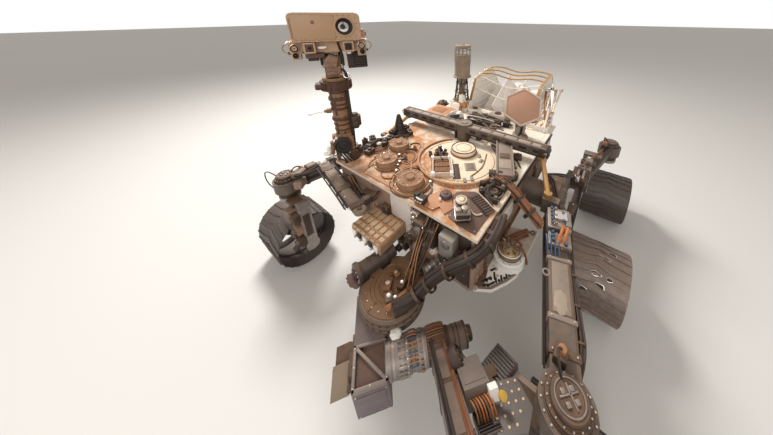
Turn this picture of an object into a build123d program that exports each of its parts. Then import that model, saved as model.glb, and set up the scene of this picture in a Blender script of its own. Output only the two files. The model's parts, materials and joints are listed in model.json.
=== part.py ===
from build123d import *
import math
import os

# Six-wheeled planetary rover with a camera mast and a jointed tool arm.
# Every size is in millimetres. x points forward, y to port, z up.
# Sizes and places below count from the ground midway between the two middle wheels.
# The finished pieces are then moved so that the origin lies on the ground, below the
# middle of the whole outline.
origin_x = 326.0
origin_y = 30.0

# Wheels
wheel_radius = 250.0        # to the tips of the lugs
wheel_width = 400.0
lug_height = 8.0
lug_width = 12.0
lug_count = 24
rim_wall = 5.0
spoke_count = 6
spoke_thickness = 8.0
spoke_width = 70.0
spoke_ring_wall = 12.0
spoke_bend = 18.0           # how far a spoke's middle leads its straight line
spoke_lead = 32.0           # degrees by which a spoke's outer end leads its root
hub_radius = 78.0
hub_sides = 8
web_sides = 12              # flats of the ring that the spokes end in
spindle_radius = 20.0
spindle_length = 30.0
running_gap = 0.3           # between faces that turn on each other
bore_gap = 0.05             # radial, shaft in its bore

# Where the wheels stand
wheel_reach_x = 1100.0      # front and rear axles from the middle axle
track_half = 1150.0         # wheel centre from the middle plane
steer_half = 1080.0         # steering axis from the middle plane

# Warm body
body_front_x = 880.0
body_rear_x = -660.0
body_half_width = 580.0
body_floor_z = 660.0
body_top_z = 1080.0
body_edge = 30.0
deck_thickness = 20.0
deck_lip = 20.0
belly_thickness = 22.0
belly_inset = 60.0
deck_z = body_top_z + deck_thickness
payload_x = -400.0          # centre of the four payload holes in the rear deck
payload_span_x = 160.0
payload_span_y = 200.0
payload_hole_radius = 4.2

# Rocker and bogie on each side
rocker_pivot = (100.0, 800.0, 880.0)
rocker_hub_radius = 95.0
rocker_hub_half = 60.0
rocker_tube_width = 110.0
rocker_tube_height = 100.0
rocker_rear_width = 60.0
link_lug_length = 60.0
link_lug_rise = 110.0
link_lug_in = 60.0          # inner face of the lug beyond the beam's end
link_lug_out = 50.0         # outer face beyond the pivot plane
steer_drive_z = 800.0
bogie_pivot = (-500.0, 862.0, 690.0)
bogie_hub_radius = 80.0
bogie_plane_y = 912.0
bogie_thickness = 44.0
bogie_depth = 90.0

# Steering drives and knuckles
steer_drive_radius = 78.0
steer_drive_low_z = 702.0
steer_drive_top_z = 872.0
steer_cap_radius = 64.0
steer_cap_height = 20.0
socket_wall = 20.0
socket_height = 96.0
knuckle_flange_radius = 82.0
knuckle_flange_height = 26.0
knuckle_leg_y = 890.0
knuckle_leg_thickness = 40.0
knuckle_leg_width = 92.0
wheel_drive_radius = 56.0

# Differential across the deck
beam_x = 50.0
beam_width = 84.0
beam_height = 64.0
beam_low_z = 1172.0
beam_half_length = 690.0
beam_post_radius = 62.0
beam_cap_height = 14.0
link_radius = 17.0
link_eye_wall = 9.0
link_head_in = 24.0         # from the beam's end
link_foot_out = 85.0        # beyond the beam's end
link_foot_x = 250.0
link_drop = 22.0

# Mast
mast_x = 800.0
mast_y = -590.0
mast_foot_radius = 82.0
mast_foot_height = 78.0
mast_tube_radius = 56.0
mast_drum_radius = 96.0
mast_drum_low_z = 1640.0
mast_drum_top_z = 1700.0
head_turn = 60.0            # degrees to port of straight ahead
tilt_axis_z = 1840.0
neck_depth = 64.0
neck_width = 104.0
neck_flange_radius = 80.0
tilt_drive_radius = 44.0
ear_thickness = 16.0
head_bar_low = 56.0         # above the tilt axis
head_bar_height = 68.0
head_bar_depth = 150.0
head_bar_width = 440.0
head_box_depth = 221.0
head_box_width = 388.0
head_box_height = 160.0
head_box_edge = 26.0
laser_window_radius = 50.0
laser_window_offset = 100.0
laser_window_depth = 46.0
navigation_camera_offset = 188.0
navigation_camera_radius = 20.0
navigation_camera_reach = 34.0
colour_camera_offset = 108.0
colour_camera_side = 62.0
colour_camera_reach = 52.0
colour_camera_wall = 9.0
ear_half = 38.0
cooler_half = 40.0
cooler_inner = 96.0
cooler_width = 120.0
cooler_drop = 62.0          # below the tilt axis
mast_side_drive_radius = 38.0
mast_side_drive_half = 110.0
neck_flange_height = 24.0

# Generator and its heat exchangers at the tail
generator_x = -850.0
generator_z = 880.0
generator_lift = 30.0       # degrees up towards the rear
generator_core_radius = 132.0
generator_length = 600.0
fin_radius = 300.0
fin_thickness = 10.0
fin_count = 8
fin_end = 30.0              # bare core beyond the fins at each end
exchanger_y = 372.0
exchanger_thickness = 24.0
tail_gap = 24.0             # between the body's rear face and the exchanger plates
exchanger_low_z = 790.0
exchanger_knee_z = 1150.0
exchanger_top_z = 1420.0
exchanger_peak_z = 1480.0
exchanger_back_z = 1180.0
exchanger_top_back = 116.0  # from the plate's front edge
exchanger_peak_back = 516.0
exchanger_back = 816.0
exchanger_low_back = 556.0
tail_rail_low_z = 800.0
tail_rail_height = 40.0
tail_rail_length = 460.0
tail_cross_height = 100.0
tail_cross_depth = 30.0
tail_stub_length = 230.0
tail_stub_radius = 84.0

# High-gain antenna
dish_x = -280.0
dish_y = 380.0
dish_post_radius = 45.0
dish_post_top_z = 1240.0
dish_axis_z = 1350.0
dish_turn = 18.0
dish_lift = 35.0
dish_across = 330.0
dish_thickness = 24.0
dish_offset = 82.0          # middle of the plate in front of its lift axis
dish_neck_radius = 26.0
dish_drum_radius = 56.0
dish_drum_height = 36.0
yoke_inner_half = 40.0
yoke_thickness = 14.0
yoke_depth = 48.0

# Relay antenna, low antenna and box on the rear deck
relay_in_x = 70.0           # from the body's rear face
relay_in_y = 150.0          # from the body's starboard side
relay_base_x = 140.0
relay_base_y = 160.0
relay_base_height = 110.0
relay_column_radius = 34.0
relay_column_height = 380.0
relay_can_radius = 86.0
relay_can_height = 216.0
relay_plate_radius = 100.0
relay_plate_height = 16.0
low_antenna_in_x = 100.0
low_antenna_y = 160.0
low_antenna_radius = 22.0
low_antenna_height = 150.0
low_antenna_head_radius = 40.0
low_antenna_head_height = 40.0
deck_box_x = -120.0
deck_box_in_y = 205.0       # its middle from the body's starboard side
deck_box_length = 220.0
deck_box_width = 250.0
deck_box_height = 130.0

# Cameras low on the body, front and side fittings
hazard_front_y = 80.0
hazard_rear_in_y = 140.0    # from the body's side
hazard_low_z = 700.0
hazard_side = 68.0
hazard_reach = 46.0
hazard_lens_radius = 22.0
hazard_lens_reach = 30.0
rail_width = 76.0
rail_thickness = 26.0
rail_low_z = 1000.0
rail_start = (35.0, -775.0) # x from the body's front face, y
rail_end = (175.0, -115.0)
rail_bracket_y = (-520.0, -180.0)
rail_bracket_width = 40.0
rail_bracket_drop = 40.0
tray_from_y = -170.0
tray_to_y = 90.0
tray_reach = 215.0
tray_low_z = 820.0
tray_height = 74.0
crate_from_y = 190.0
crate_to_y = 380.0
crate_reach = 60.0
crate_low_z = 800.0
crate_height = 90.0
shelf_low_z = 690.0
shelf_thickness = 24.0
shelf_corners = (
    # x from the body's front face, y from its port side
    (-4.0, 13.0),
    (-50.0, 89.0),
    (-136.0, 142.0),
    (-211.0, 175.0),
    (-588.0, 185.0),
    (-510.0, 0.0),
    (-4.0, 0.0),
)
side_drum_back = 265.0      # from the body's front face
side_drum_out = 96.0        # from the body's port side
side_drum_radius = 90.0
side_drum_height = 70.0
side_cap_radius = 68.0
side_cap_height = 40.0

# Arm: the shoulder drum stands in front of the body
shoulder_reach = 240.0      # shoulder axis from the body's front face
shoulder_y = 200.0
shoulder_drum_radius = 175.0
shoulder_drum_low_z = 600.0
shoulder_drum_top_z = 700.0
shoulder_bracket_half = 72.0
shoulder_bracket_height = 50.0
shoulder_plate_thickness = 26.0
shoulder_plate_height = 136.0
arm_turn = 50.7             # degrees to port of straight ahead
shoulder_flange_radius = 120.0
shoulder_flange_height = 32.0
bracket_back = 60.0         # behind the shoulder axis
bracket_front = 345.0
bracket_outer = -205.0      # across the arm, from the shoulder axis
bracket_inner = -45.0
bracket_low_z = 360.0
lift_axis_out = 262.0       # from the shoulder axis, along the arm
lift_axis_z = 575.0
lift_drive_radius = 76.0
lift_motor_radius = 56.0
lift_motor_length = 110.0
lift_root_radius = 72.0
upper_length = 950.0
upper_angle = 36.0
upper_plane = 190.0         # across the arm, from the shoulder axis
arm_section = 90.0
fore_section = 72.0
fore_length = 836.0
fore_angle = 79.3
fore_plane = -22.0
elbow_radius = 64.0
elbow_cap = 60.0
wrist_radius = 50.0

# Turret and its tools
fork_thickness = 16.0
fork_half = 40.0
wrist_cap_radius = 84.0
wrist_cap_height = 24.0
hub_low = 84.0              # turret hub above the wrist axis
hub_height = 170.0
hub_disc_radius = 104.0
sensor_turn = 78.0          # degrees round the turret from the drill
brush_turn = 122.0
hand_camera_turn = 165.0
sample_turn = -90.0
tools = (
    # name, turn, half width, low, high, housing reach, nose reach, nose radius, nose height
    ("drill", 0.0, 55.0, 10.0, 160.0, 190.0, 300.0, 50.0, 85.0),
    ("contact_sensor", sensor_turn, 44.0, 30.0, 130.0, 170.0, 232.0, 40.0, 80.0),
    ("brush", brush_turn, 26.0, 50.0, 130.0, 160.0, 214.0, 24.0, 90.0),
    ("hand_camera", hand_camera_turn, 44.0, 20.0, 120.0, 176.0, 214.0, 32.0, 70.0),
)
tool_root = 80.0            # inner end of a housing, cut to the hub's curve
drill_bit_radius = 14.0
drill_bit_reach = 72.0      # beyond the drill's nose
drill_prong_radius = 9.0
drill_prong_side = 44.0
drill_prong_reach = 52.0
sample_half = 78.0
sample_reach = 250.0
sample_low = -10.0
sample_high = 180.0


def box_between(x0, x1, y0, y1, z0, z1):
    """A block between two corners."""
    block = Box(x1 - x0, y1 - y0, z1 - z0)
    return Pos((x0 + x1) / 2, (y0 + y1) / 2, (z0 + z1) / 2) * block


def rod(start, end, radius):
    """A round bar from one point to another."""
    start, end = Vector(*start), Vector(*end)
    run = end - start
    place = Plane(origin=start, z_dir=run)
    return place * Pos(0, 0, run.length / 2) * Cylinder(radius, run.length)


def upright(x, y, z0, z1, radius):
    """A round bar along z."""
    return Pos(x, y, (z0 + z1) / 2) * Cylinder(radius, z1 - z0)


def cross_bar(x, y0, y1, z, radius):
    """A round bar along y."""
    return Pos(x, (y0 + y1) / 2, z) * Rot(90, 0, 0) * Cylinder(radius, abs(y1 - y0))


def fore_bar(x0, x1, y, z, radius):
    """A round bar along x."""
    return Pos((x0 + x1) / 2, y, z) * Rot(0, 90, 0) * Cylinder(radius, abs(x1 - x0))


def beam(start, end, across, depth):
    """A square-cut beam; across is its level width, depth its upright size."""
    start, end = Vector(*start), Vector(*end)
    run = end - start
    level = Vector(-run.Y, run.X, 0).normalized()
    place = Plane(origin=start, x_dir=level, z_dir=run)
    return place * Pos(0, 0, run.length / 2) * Box(across, depth, run.length)


def port_and_starboard(solid):
    """The starboard twin of a port-side solid."""
    return mirror(solid, about=Plane.XZ)


def fused(first, *others):
    """One solid of several that touch."""
    whole = first
    for other in others:
        whole = whole + other
    return whole


# Wheel, with its own axis along y and its outer face towards +y
def ring_of_points(radius, count, turn=0.0):
    steps = [math.radians(turn + 360 * step / count) for step in range(count)]
    return [(radius * math.cos(step), radius * math.sin(step)) for step in steps]


def polygon(points):
    return make_face(Polyline(*points, close=True))


def slice_along_axis(face, length):
    return extrude(face, length / 2, both=True)


def make_wheel():
    """The tread is flat between its lugs, so that each lug stands on a corner of the tread."""
    rim_radius = wheel_radius - lug_height
    inner_radius = rim_radius - rim_wall
    half_lug = math.degrees(lug_width / 2 / wheel_radius)
    outline = []
    for step in range(lug_count):
        middle = step * 360 / lug_count
        for radius, turn in ((rim_radius, -half_lug), (wheel_radius, -half_lug),
                             (wheel_radius, half_lug), (rim_radius, half_lug)):
            angle = math.radians(middle + turn)
            outline.append((radius * math.cos(angle), radius * math.sin(angle)))
    inner = polygon(ring_of_points(inner_radius, lug_count))
    rim = slice_along_axis(polygon(outline) - inner, wheel_width)
    ring_inner = inner_radius - spoke_ring_wall
    web = polygon(ring_of_points(inner_radius + 1, lug_count)) - polygon(ring_of_points(ring_inner, web_sides))
    web += polygon(ring_of_points(hub_radius, hub_sides, 180 / hub_sides))
    root = hub_radius * 0.9
    reach = (ring_inner + inner_radius) / 2
    lead = math.radians(spoke_lead)
    tip = (reach * math.cos(lead), reach * math.sin(lead))
    middle = ((root + tip[0]) / 2 + spoke_bend * math.sin(lead), tip[1] / 2 - spoke_bend * math.cos(lead))
    blade = trace(Polyline((root, 0), middle, tip), spoke_thickness)
    for step in range(spoke_count):
        web += Rot(0, 0, step * 360 / spoke_count) * blade
    bore_z = -spoke_width / 2 + spindle_length / 2
    bore = Pos(0, 0, bore_z) * Cylinder(spindle_radius + bore_gap, spindle_length + running_gap * 2)
    return Rot(-90, 0, 0) * (rim + slice_along_axis(web, spoke_width) - bore)


wheel_inner_end = track_half - spoke_width / 2   # where the hub meets its drive


def wheel_at(x, side):
    placed = Pos(x, track_half, wheel_radius) * make_wheel()
    return placed if side > 0 else port_and_starboard(placed)


def wheel_drive(x):
    """The drive housing inside a wheel, with the spindle that the hub turns on."""
    low_y = knuckle_leg_y - knuckle_leg_thickness / 2
    end_y = wheel_inner_end - running_gap
    housing = cross_bar(x, low_y, end_y, wheel_radius, wheel_drive_radius)
    spindle = cross_bar(x, end_y, end_y + spindle_length, wheel_radius, spindle_radius)
    return housing + spindle


def make_knuckle(x, side):
    top_z = steer_drive_low_z - running_gap
    flange = upright(x, steer_half, top_z - knuckle_flange_height, top_z, knuckle_flange_radius)
    half_width = knuckle_leg_width / 2
    leg_in = knuckle_leg_y - knuckle_leg_thickness / 2
    leg_out = knuckle_leg_y + knuckle_leg_thickness / 2
    shelf = box_between(x - half_width, x + half_width, leg_in, steer_half,
                        top_z - knuckle_flange_height, top_z)
    leg = box_between(x - half_width, x + half_width, leg_in, leg_out,
                      wheel_radius - half_width, top_z)
    whole = fused(leg, shelf, flange, wheel_drive(x))
    return whole if side > 0 else port_and_starboard(whole)


def steer_drive(x):
    body = upright(x, steer_half, steer_drive_low_z, steer_drive_top_z, steer_drive_radius)
    cap_top = steer_drive_top_z + steer_cap_height
    return body + upright(x, steer_half, steer_drive_top_z, cap_top, steer_cap_radius)


def drive_socket(x):
    """The ring at the end of a suspension tube that clasps a steering drive."""
    low = steer_drive_z - socket_height / 2
    high = steer_drive_z + socket_height / 2
    return upright(x, steer_half, low, high, steer_drive_radius + socket_wall)


def drive_bore(x):
    return upright(x, steer_half, 0, 2 * steer_drive_z, steer_drive_radius + running_gap)


def make_rocker():
    px, py, pz = rocker_pivot
    bx, by, bz = bogie_pivot
    hub = cross_bar(px, body_half_width + running_gap, py + rocker_hub_half, pz, rocker_hub_radius)
    front = beam((px, py, pz), (wheel_reach_x, steer_half, steer_drive_z),
                 rocker_tube_width, rocker_tube_height)
    rear_end = (bx, by - rocker_rear_width * 0.6, bz)
    rear = beam((px, py, pz), rear_end, rocker_rear_width, rocker_tube_height)
    rear_eye = cross_bar(bx, by - rocker_rear_width, by, bz, bogie_hub_radius)
    lug = box_between(link_foot_x - link_lug_length / 2, link_foot_x + link_lug_length / 2,
                      beam_half_length + link_lug_in, py + link_lug_out, pz, pz + link_lug_rise)
    whole = fused(hub, front, rear, rear_eye, lug, drive_socket(wheel_reach_x))
    return whole - drive_bore(wheel_reach_x)


def make_bogie():
    bx, by, bz = bogie_pivot
    low_y = bogie_plane_y - bogie_thickness / 2
    high_y = bogie_plane_y + bogie_thickness / 2
    hub = cross_bar(bx, by + running_gap, high_y + bogie_thickness * 0.7, bz, bogie_hub_radius)
    foot = (0, bogie_plane_y, wheel_radius)
    front = beam((bx, bogie_plane_y, bz), foot, bogie_thickness, bogie_depth)
    rear = beam((bx, bogie_plane_y, bz), (-wheel_reach_x, steer_half, steer_drive_z),
                bogie_thickness * 1.6, bogie_depth)
    eye = cross_bar(0, low_y, high_y, wheel_radius, bogie_depth * 0.7)
    whole = fused(front, hub, rear, eye, wheel_drive(0), drive_socket(-wheel_reach_x))
    return whole - drive_bore(-wheel_reach_x)


# Body, deck and belly
def make_body():
    block = box_between(body_rear_x, body_front_x, -body_half_width, body_half_width,
                        body_floor_z, body_top_z)
    return chamfer(block.edges().filter_by(Axis.X).group_by(Axis.Z)[0], body_edge)


def make_deck():
    plate = box_between(body_rear_x - deck_lip, body_front_x + deck_lip,
                        -body_half_width - deck_lip, body_half_width + deck_lip, body_top_z, deck_z)
    for dx in (-payload_span_x / 2, payload_span_x / 2):
        for dy in (-payload_span_y / 2, payload_span_y / 2):
            plate -= upright(payload_x + dx, dy, body_top_z, deck_z, payload_hole_radius)
    return plate


def make_belly():
    half = body_half_width - belly_inset
    pan = box_between(body_rear_x + belly_inset, body_front_x - belly_inset, -half, half,
                      body_floor_z - belly_thickness, body_floor_z)
    return chamfer(pan.edges().group_by(Axis.Z)[0], belly_thickness * 0.6)


# Deck fittings
inlet_places = (
    # name, x, y, radius
    ("inlet_cover_front", 775.0, 45.0, 88.0),
    ("inlet_cover_left", 710.0, -250.0, 78.0),
    ("inlet_cover_right", 500.0, -340.0, 78.0),
)
inlet_height = 34.0
inlet_cover_height = 16.0
inlet_hinge_radius = 9.0
inlet_hinge_out = 8.0       # hinge axis beyond the rim of the funnel


def make_inlets():
    """The raised funnels under the hinged covers; each is open at the top."""
    seats = []
    for name, x, y, radius in inlet_places:
        seat = upright(x, y, deck_z, deck_z + inlet_height, radius)
        mouth = upright(x, y, deck_z + 6, deck_z + inlet_height, radius * 0.55)
        hinge_y = y - radius - inlet_hinge_out
        foot = box_between(x - radius * 0.2, x + radius * 0.2, hinge_y - inlet_hinge_radius, y - radius * 0.9,
                           deck_z, deck_z + inlet_height)
        seats.append(fused(seat, foot) - mouth)
    return Compound(seats)


def make_inlet_cover(x, y, radius):
    low = deck_z + inlet_height + running_gap
    disc = upright(x, y, low, low + inlet_cover_height, radius * 0.96)
    hinge_y = y - radius - inlet_hinge_out
    hinge_z = low + inlet_hinge_radius + 1
    hinge = fore_bar(x - radius * 0.5, x + radius * 0.5, hinge_y, hinge_z, inlet_hinge_radius)
    knob = upright(x, y, low + inlet_cover_height, low + inlet_cover_height + 14, radius * 0.3)
    whole = fused(disc, hinge, knob)
    for side in (1, -1):
        middle = x + side * radius * 0.35
        whole += box_between(middle - 8, middle + 8, hinge_y, y - radius * 0.8, low + 2, low + 14)
    return whole


# Differential
def make_beam():
    top = beam_low_z + beam_height
    bar = box_between(beam_x - beam_width / 2, beam_x + beam_width / 2,
                      -beam_half_length, beam_half_length, beam_low_z, top)
    post = upright(beam_x, 0, deck_z, top + beam_cap_height, beam_post_radius)
    return bar + post


def make_links():
    links = []
    lug_top = rocker_pivot[2] + link_lug_rise
    eye_radius = link_radius + link_eye_wall
    for side in (1, -1):
        head = (beam_x, side * (beam_half_length - link_head_in), beam_low_z - link_drop)
        foot = (link_foot_x, side * (beam_half_length + link_foot_out), lug_top + link_radius + running_gap)
        link = rod(head, foot, link_radius)
        eye = upright(foot[0], foot[1], lug_top + running_gap, foot[2] + link_radius, eye_radius)
        head_eye = upright(head[0], head[1], head[2] - link_radius, beam_low_z - running_gap, eye_radius)
        links.append(fused(link, eye, head_eye))
    return Compound(links)


# Mast
def at_head(solid):
    return Pos(mast_x, mast_y, 0) * Rot(0, 0, head_turn) * solid


def make_mast_foot():
    foot = upright(mast_x, mast_y, deck_z, deck_z + mast_foot_height, mast_foot_radius)
    side = cross_bar(mast_x, mast_y - mast_side_drive_half, mast_y + mast_side_drive_half,
                     deck_z + mast_side_drive_radius, mast_side_drive_radius)
    return foot + side


def make_mast_tube():
    low = deck_z + mast_foot_height
    tube = upright(mast_x, mast_y, low, mast_drum_low_z, mast_tube_radius)
    drum = upright(mast_x, mast_y, mast_drum_low_z, mast_drum_top_z, mast_drum_radius)
    return tube + drum


def make_neck():
    low = mast_drum_top_z + running_gap
    flange = upright(0, 0, low, low + neck_flange_height, neck_flange_radius)
    column = box_between(-neck_depth / 2, neck_depth / 2, -neck_width / 2, neck_width / 2, low, tilt_axis_z)
    drive = cross_bar(0, -neck_width / 2, neck_width / 2, tilt_axis_z, tilt_drive_radius)
    return at_head(fused(flange, column, drive))


def make_head_bar():
    low = tilt_axis_z + head_bar_low
    high = low + head_bar_height
    front = head_bar_depth / 2
    lens_z = low + head_bar_height / 2
    half = colour_camera_side / 2
    clear = half - colour_camera_wall
    whole = box_between(-front, front, -head_bar_width / 2, head_bar_width / 2, low, high)
    for side in (1, -1):
        inner = side * (neck_width / 2 + running_gap)
        outer = inner + side * ear_thickness
        ear = box_between(-ear_half, ear_half, min(inner, outer), max(inner, outer), tilt_axis_z, low)
        boss = cross_bar(0, inner, outer, tilt_axis_z, ear_half)
        lens = fore_bar(0, front + navigation_camera_reach, side * navigation_camera_offset, lens_z,
                        navigation_camera_radius)
        middle = side * colour_camera_offset
        hood = box_between(0, front + colour_camera_reach, middle - half, middle + half,
                           lens_z - half, lens_z + half)
        opening = box_between(front + colour_camera_wall, front + 2 * colour_camera_reach,
                              middle - clear, middle + clear, lens_z - clear, lens_z + clear)
        whole = fused(whole, ear, boss, lens, hood) - opening
    cooler = box_between(-cooler_half, cooler_half, cooler_inner, cooler_inner + cooler_width,
                         tilt_axis_z - cooler_drop, low)
    return at_head(whole + cooler)


def make_head_box():
    low = tilt_axis_z + head_bar_low + head_bar_height
    front = head_box_depth / 2 + 10
    block = box_between(front - head_box_depth, front, -head_box_width / 2, head_box_width / 2,
                        low, low + head_box_height)
    block = fillet(block.edges().filter_by(Axis.X), head_box_edge)
    window = fore_bar(front - laser_window_depth, front + laser_window_depth, laser_window_offset,
                      low + head_box_height * 0.52, laser_window_radius)
    return at_head(block - window)


# Tail
def at_generator(solid):
    return Pos(generator_x, 0, generator_z) * Rot(0, generator_lift - 90, 0) * solid


def make_generator():
    return at_generator(Pos(0, 0, generator_length / 2) * Cylinder(generator_core_radius, generator_length))


def make_fins():
    root = generator_core_radius + running_gap
    fins = []
    for step in range(fin_count):
        fin = box_between(root, fin_radius, -fin_thickness / 2, fin_thickness / 2,
                          fin_end, generator_length - fin_end)
        fins.append(at_generator(Rot(0, 0, (step + 0.5) * 360 / fin_count) * fin))
    return Compound(fins)


exchanger_front_x = body_rear_x - tail_gap
exchanger_corners = (
    # x from the plate's front edge, z
    (0.0, exchanger_low_z),
    (0.0, exchanger_knee_z),
    (-exchanger_top_back, exchanger_top_z),
    (-exchanger_peak_back, exchanger_peak_z),
    (-exchanger_back, exchanger_back_z),
    (-exchanger_low_back, exchanger_low_z),
)


def make_exchangers():
    outline = [(exchanger_front_x + x, z) for x, z in exchanger_corners]
    plates = []
    for side in (1, -1):
        face = Plane.XZ * make_face(Polyline(*outline, close=True))
        plate = extrude(face, exchanger_thickness / 2, both=True)
        plates.append(Pos(0, side * exchanger_y, 0) * plate)
    return Compound(plates)


def make_tail_frame():
    back = body_rear_x - running_gap
    half = exchanger_y - exchanger_thickness / 2 - running_gap
    whole = box_between(back - tail_cross_depth, back, -half, half,
                        tail_rail_low_z, tail_rail_low_z + tail_cross_height)
    for side in (1, -1):
        near, far = sorted((side * half, side * (half - tail_rail_height)))
        whole += box_between(back - tail_rail_length, back, near, far,
                             tail_rail_low_z, tail_rail_low_z + tail_rail_height)
    lift = math.radians(generator_lift)
    reach = Vector(-math.cos(lift), 0, math.sin(lift))
    seat = Vector(generator_x, 0, generator_z)
    start = seat - reach * tail_stub_length
    end = seat - reach * running_gap
    stub = rod((start.X, start.Y, start.Z), (end.X, end.Y, end.Z), tail_stub_radius)
    stub -= box_between(back, back + generator_length, -half, half, 0, 2 * generator_z)
    return whole + stub


# Antennas
def at_dish(solid):
    return Pos(dish_x, dish_y, 0) * Rot(0, 0, dish_turn) * solid


def make_dish_post():
    return upright(dish_x, dish_y, deck_z, dish_post_top_z, dish_post_radius)


def make_dish_yoke():
    low = dish_post_top_z + running_gap
    whole = upright(0, 0, low, low + dish_drum_height, dish_drum_radius)
    for side in (1, -1):
        near, far = sorted((side * yoke_inner_half, side * (yoke_inner_half + yoke_thickness)))
        whole += box_between(-yoke_depth / 2, yoke_depth / 2, near, far, low, dish_axis_z + yoke_depth / 2)
    return at_dish(whole)


def make_dish():
    hexagon = extrude(RegularPolygon(dish_across / 2, 6), dish_thickness / 2, both=True)
    plate = Pos(dish_offset, 0, 0) * Rot(0, 90, 0) * hexagon
    neck = fore_bar(0, dish_offset, 0, 0, dish_neck_radius)
    hub = cross_bar(0, running_gap - yoke_inner_half, yoke_inner_half - running_gap, 0, dish_neck_radius)
    return at_dish(Pos(0, 0, dish_axis_z) * Rot(0, -dish_lift, 0) * fused(plate, neck, hub))


def make_relay_antenna():
    x = body_rear_x + relay_in_x
    y = relay_in_y - body_half_width
    foot = box_between(x - relay_base_x / 2, x + relay_base_x / 2, y - relay_base_y / 2, y + relay_base_y / 2,
                       deck_z, deck_z + relay_base_height)
    top = deck_z + relay_column_height
    column = upright(x, y, deck_z, top, relay_column_radius)
    rim = upright(x, y, top - relay_plate_height, top, relay_plate_radius)
    can = upright(x, y, top, top + relay_can_height, relay_can_radius)
    return fused(foot, column, rim, can)


def make_low_antenna():
    x = body_rear_x + low_antenna_in_x
    top = deck_z + low_antenna_height
    rod_part = upright(x, low_antenna_y, deck_z, top, low_antenna_radius)
    return rod_part + upright(x, low_antenna_y, top, top + low_antenna_head_height, low_antenna_head_radius)


def make_deck_box():
    y = deck_box_in_y - body_half_width
    return box_between(deck_box_x - deck_box_length / 2, deck_box_x + deck_box_length / 2,
                       y - deck_box_width / 2, y + deck_box_width / 2, deck_z, deck_z + deck_box_height)


# Cameras low on the body
def make_hazard_cameras():
    eyes = []
    middle_z = hazard_low_z + hazard_side / 2
    for face_x, out, spread in ((body_front_x, 1, hazard_front_y),
                                (body_rear_x, -1, body_half_width - hazard_rear_in_y)):
        for side in (1, -1):
            y = side * spread
            near, far = sorted((face_x, face_x + out * hazard_reach))
            base = box_between(near, far, y - hazard_side / 2, y + hazard_side / 2,
                               hazard_low_z, hazard_low_z + hazard_side)
            near, far = sorted((face_x, face_x + out * (hazard_reach + hazard_lens_reach)))
            eyes.append(base + fore_bar(near, far, y, middle_z, hazard_lens_radius))
    return Compound(eyes)


# Front and side fittings
def make_front_rail():
    """The broad flat bar across the starboard front with its two brackets."""
    middle_z = rail_low_z + rail_thickness / 2
    ends = [(body_front_x + x, y, middle_z) for x, y in (rail_start, rail_end)]
    whole = beam(ends[0], ends[1], rail_width, rail_thickness)
    slope = (rail_end[0] - rail_start[0]) / (rail_end[1] - rail_start[1])
    for y in rail_bracket_y:
        reach = rail_start[0] + slope * (y - rail_start[1])
        whole += box_between(body_front_x, body_front_x + reach, y - rail_bracket_width / 2,
                             y + rail_bracket_width / 2, rail_low_z - rail_bracket_drop, middle_z)
    return whole


def make_front_boxes():
    tray = box_between(body_front_x, body_front_x + tray_reach, tray_from_y, tray_to_y,
                       tray_low_z, tray_low_z + tray_height)
    crate = box_between(body_front_x, body_front_x + crate_reach, crate_from_y, crate_to_y,
                        crate_low_z, crate_low_z + crate_height)
    return Compound([tray, crate])


def make_side_shelf():
    """The long pointed shelf on the port side that carries the white drum."""
    outline = [(body_front_x + x, body_half_width + y) for x, y in shelf_corners]
    return Pos(0, 0, shelf_low_z) * extrude(polygon(outline), shelf_thickness)


def make_side_drum():
    x = body_front_x - side_drum_back
    y = body_half_width + side_drum_out
    low = shelf_low_z + shelf_thickness
    top = low + side_drum_height
    return fused(upright(x, y, low, top, side_drum_radius),
                 upright(x, y, top, top + side_cap_height, side_cap_radius))


# Arm; in its own frame x runs out along the arm and y across it to port
shoulder_x = body_front_x + shoulder_reach


def at_arm(solid):
    return Pos(shoulder_x, shoulder_y, 0) * Rot(0, 0, arm_turn) * solid


def along(start, angle, length):
    turn = math.radians(angle)
    return (start[0] + length * math.cos(turn), start[1] + length * math.sin(turn))


lift_axis = (lift_axis_out, lift_axis_z)
elbow_axis = along(lift_axis, upper_angle, upper_length)
wrist_axis = along(elbow_axis, fore_angle, fore_length)


def make_arm_base():
    drum = upright(shoulder_x, shoulder_y, shoulder_drum_low_z, shoulder_drum_top_z, shoulder_drum_radius)
    low, high = shoulder_y - shoulder_bracket_half, shoulder_y + shoulder_bracket_half
    top = shoulder_drum_top_z
    bracket = box_between(body_front_x, shoulder_x, low, high, top - shoulder_bracket_height, top)
    plate = box_between(body_front_x, body_front_x + shoulder_plate_thickness, low, high,
                        top - shoulder_bracket_height, top - shoulder_bracket_height + shoulder_plate_height)
    return fused(drum, bracket, plate)


def make_arm_shoulder():
    """Turning flange under the drum, bracket and the lift drive."""
    high = shoulder_drum_low_z - running_gap
    flange = Pos(0, 0, high - shoulder_flange_height / 2) * Cylinder(shoulder_flange_radius, shoulder_flange_height)
    bracket = box_between(-bracket_back, bracket_front, bracket_outer, bracket_inner, bracket_low_z, high)
    bracket = chamfer(bracket.edges().filter_by(Axis.Y).group_by(Axis.Z)[0].sort_by(Axis.X)[0],
                      (high - bracket_low_z) * 0.6)
    end = upper_plane - arm_section / 2 - running_gap
    drive = cross_bar(lift_axis_out, bracket_outer, end, lift_axis_z, lift_drive_radius)
    return at_arm(fused(flange, bracket, drive))


def plane_beam(start, end, plane_y, across, depth):
    return beam((start[0], plane_y, start[1]), (end[0], plane_y, end[1]), across, depth)


def plane_bar(centre, y0, y1, radius):
    return cross_bar(centre[0], y0, y1, centre[1], radius)


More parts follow.
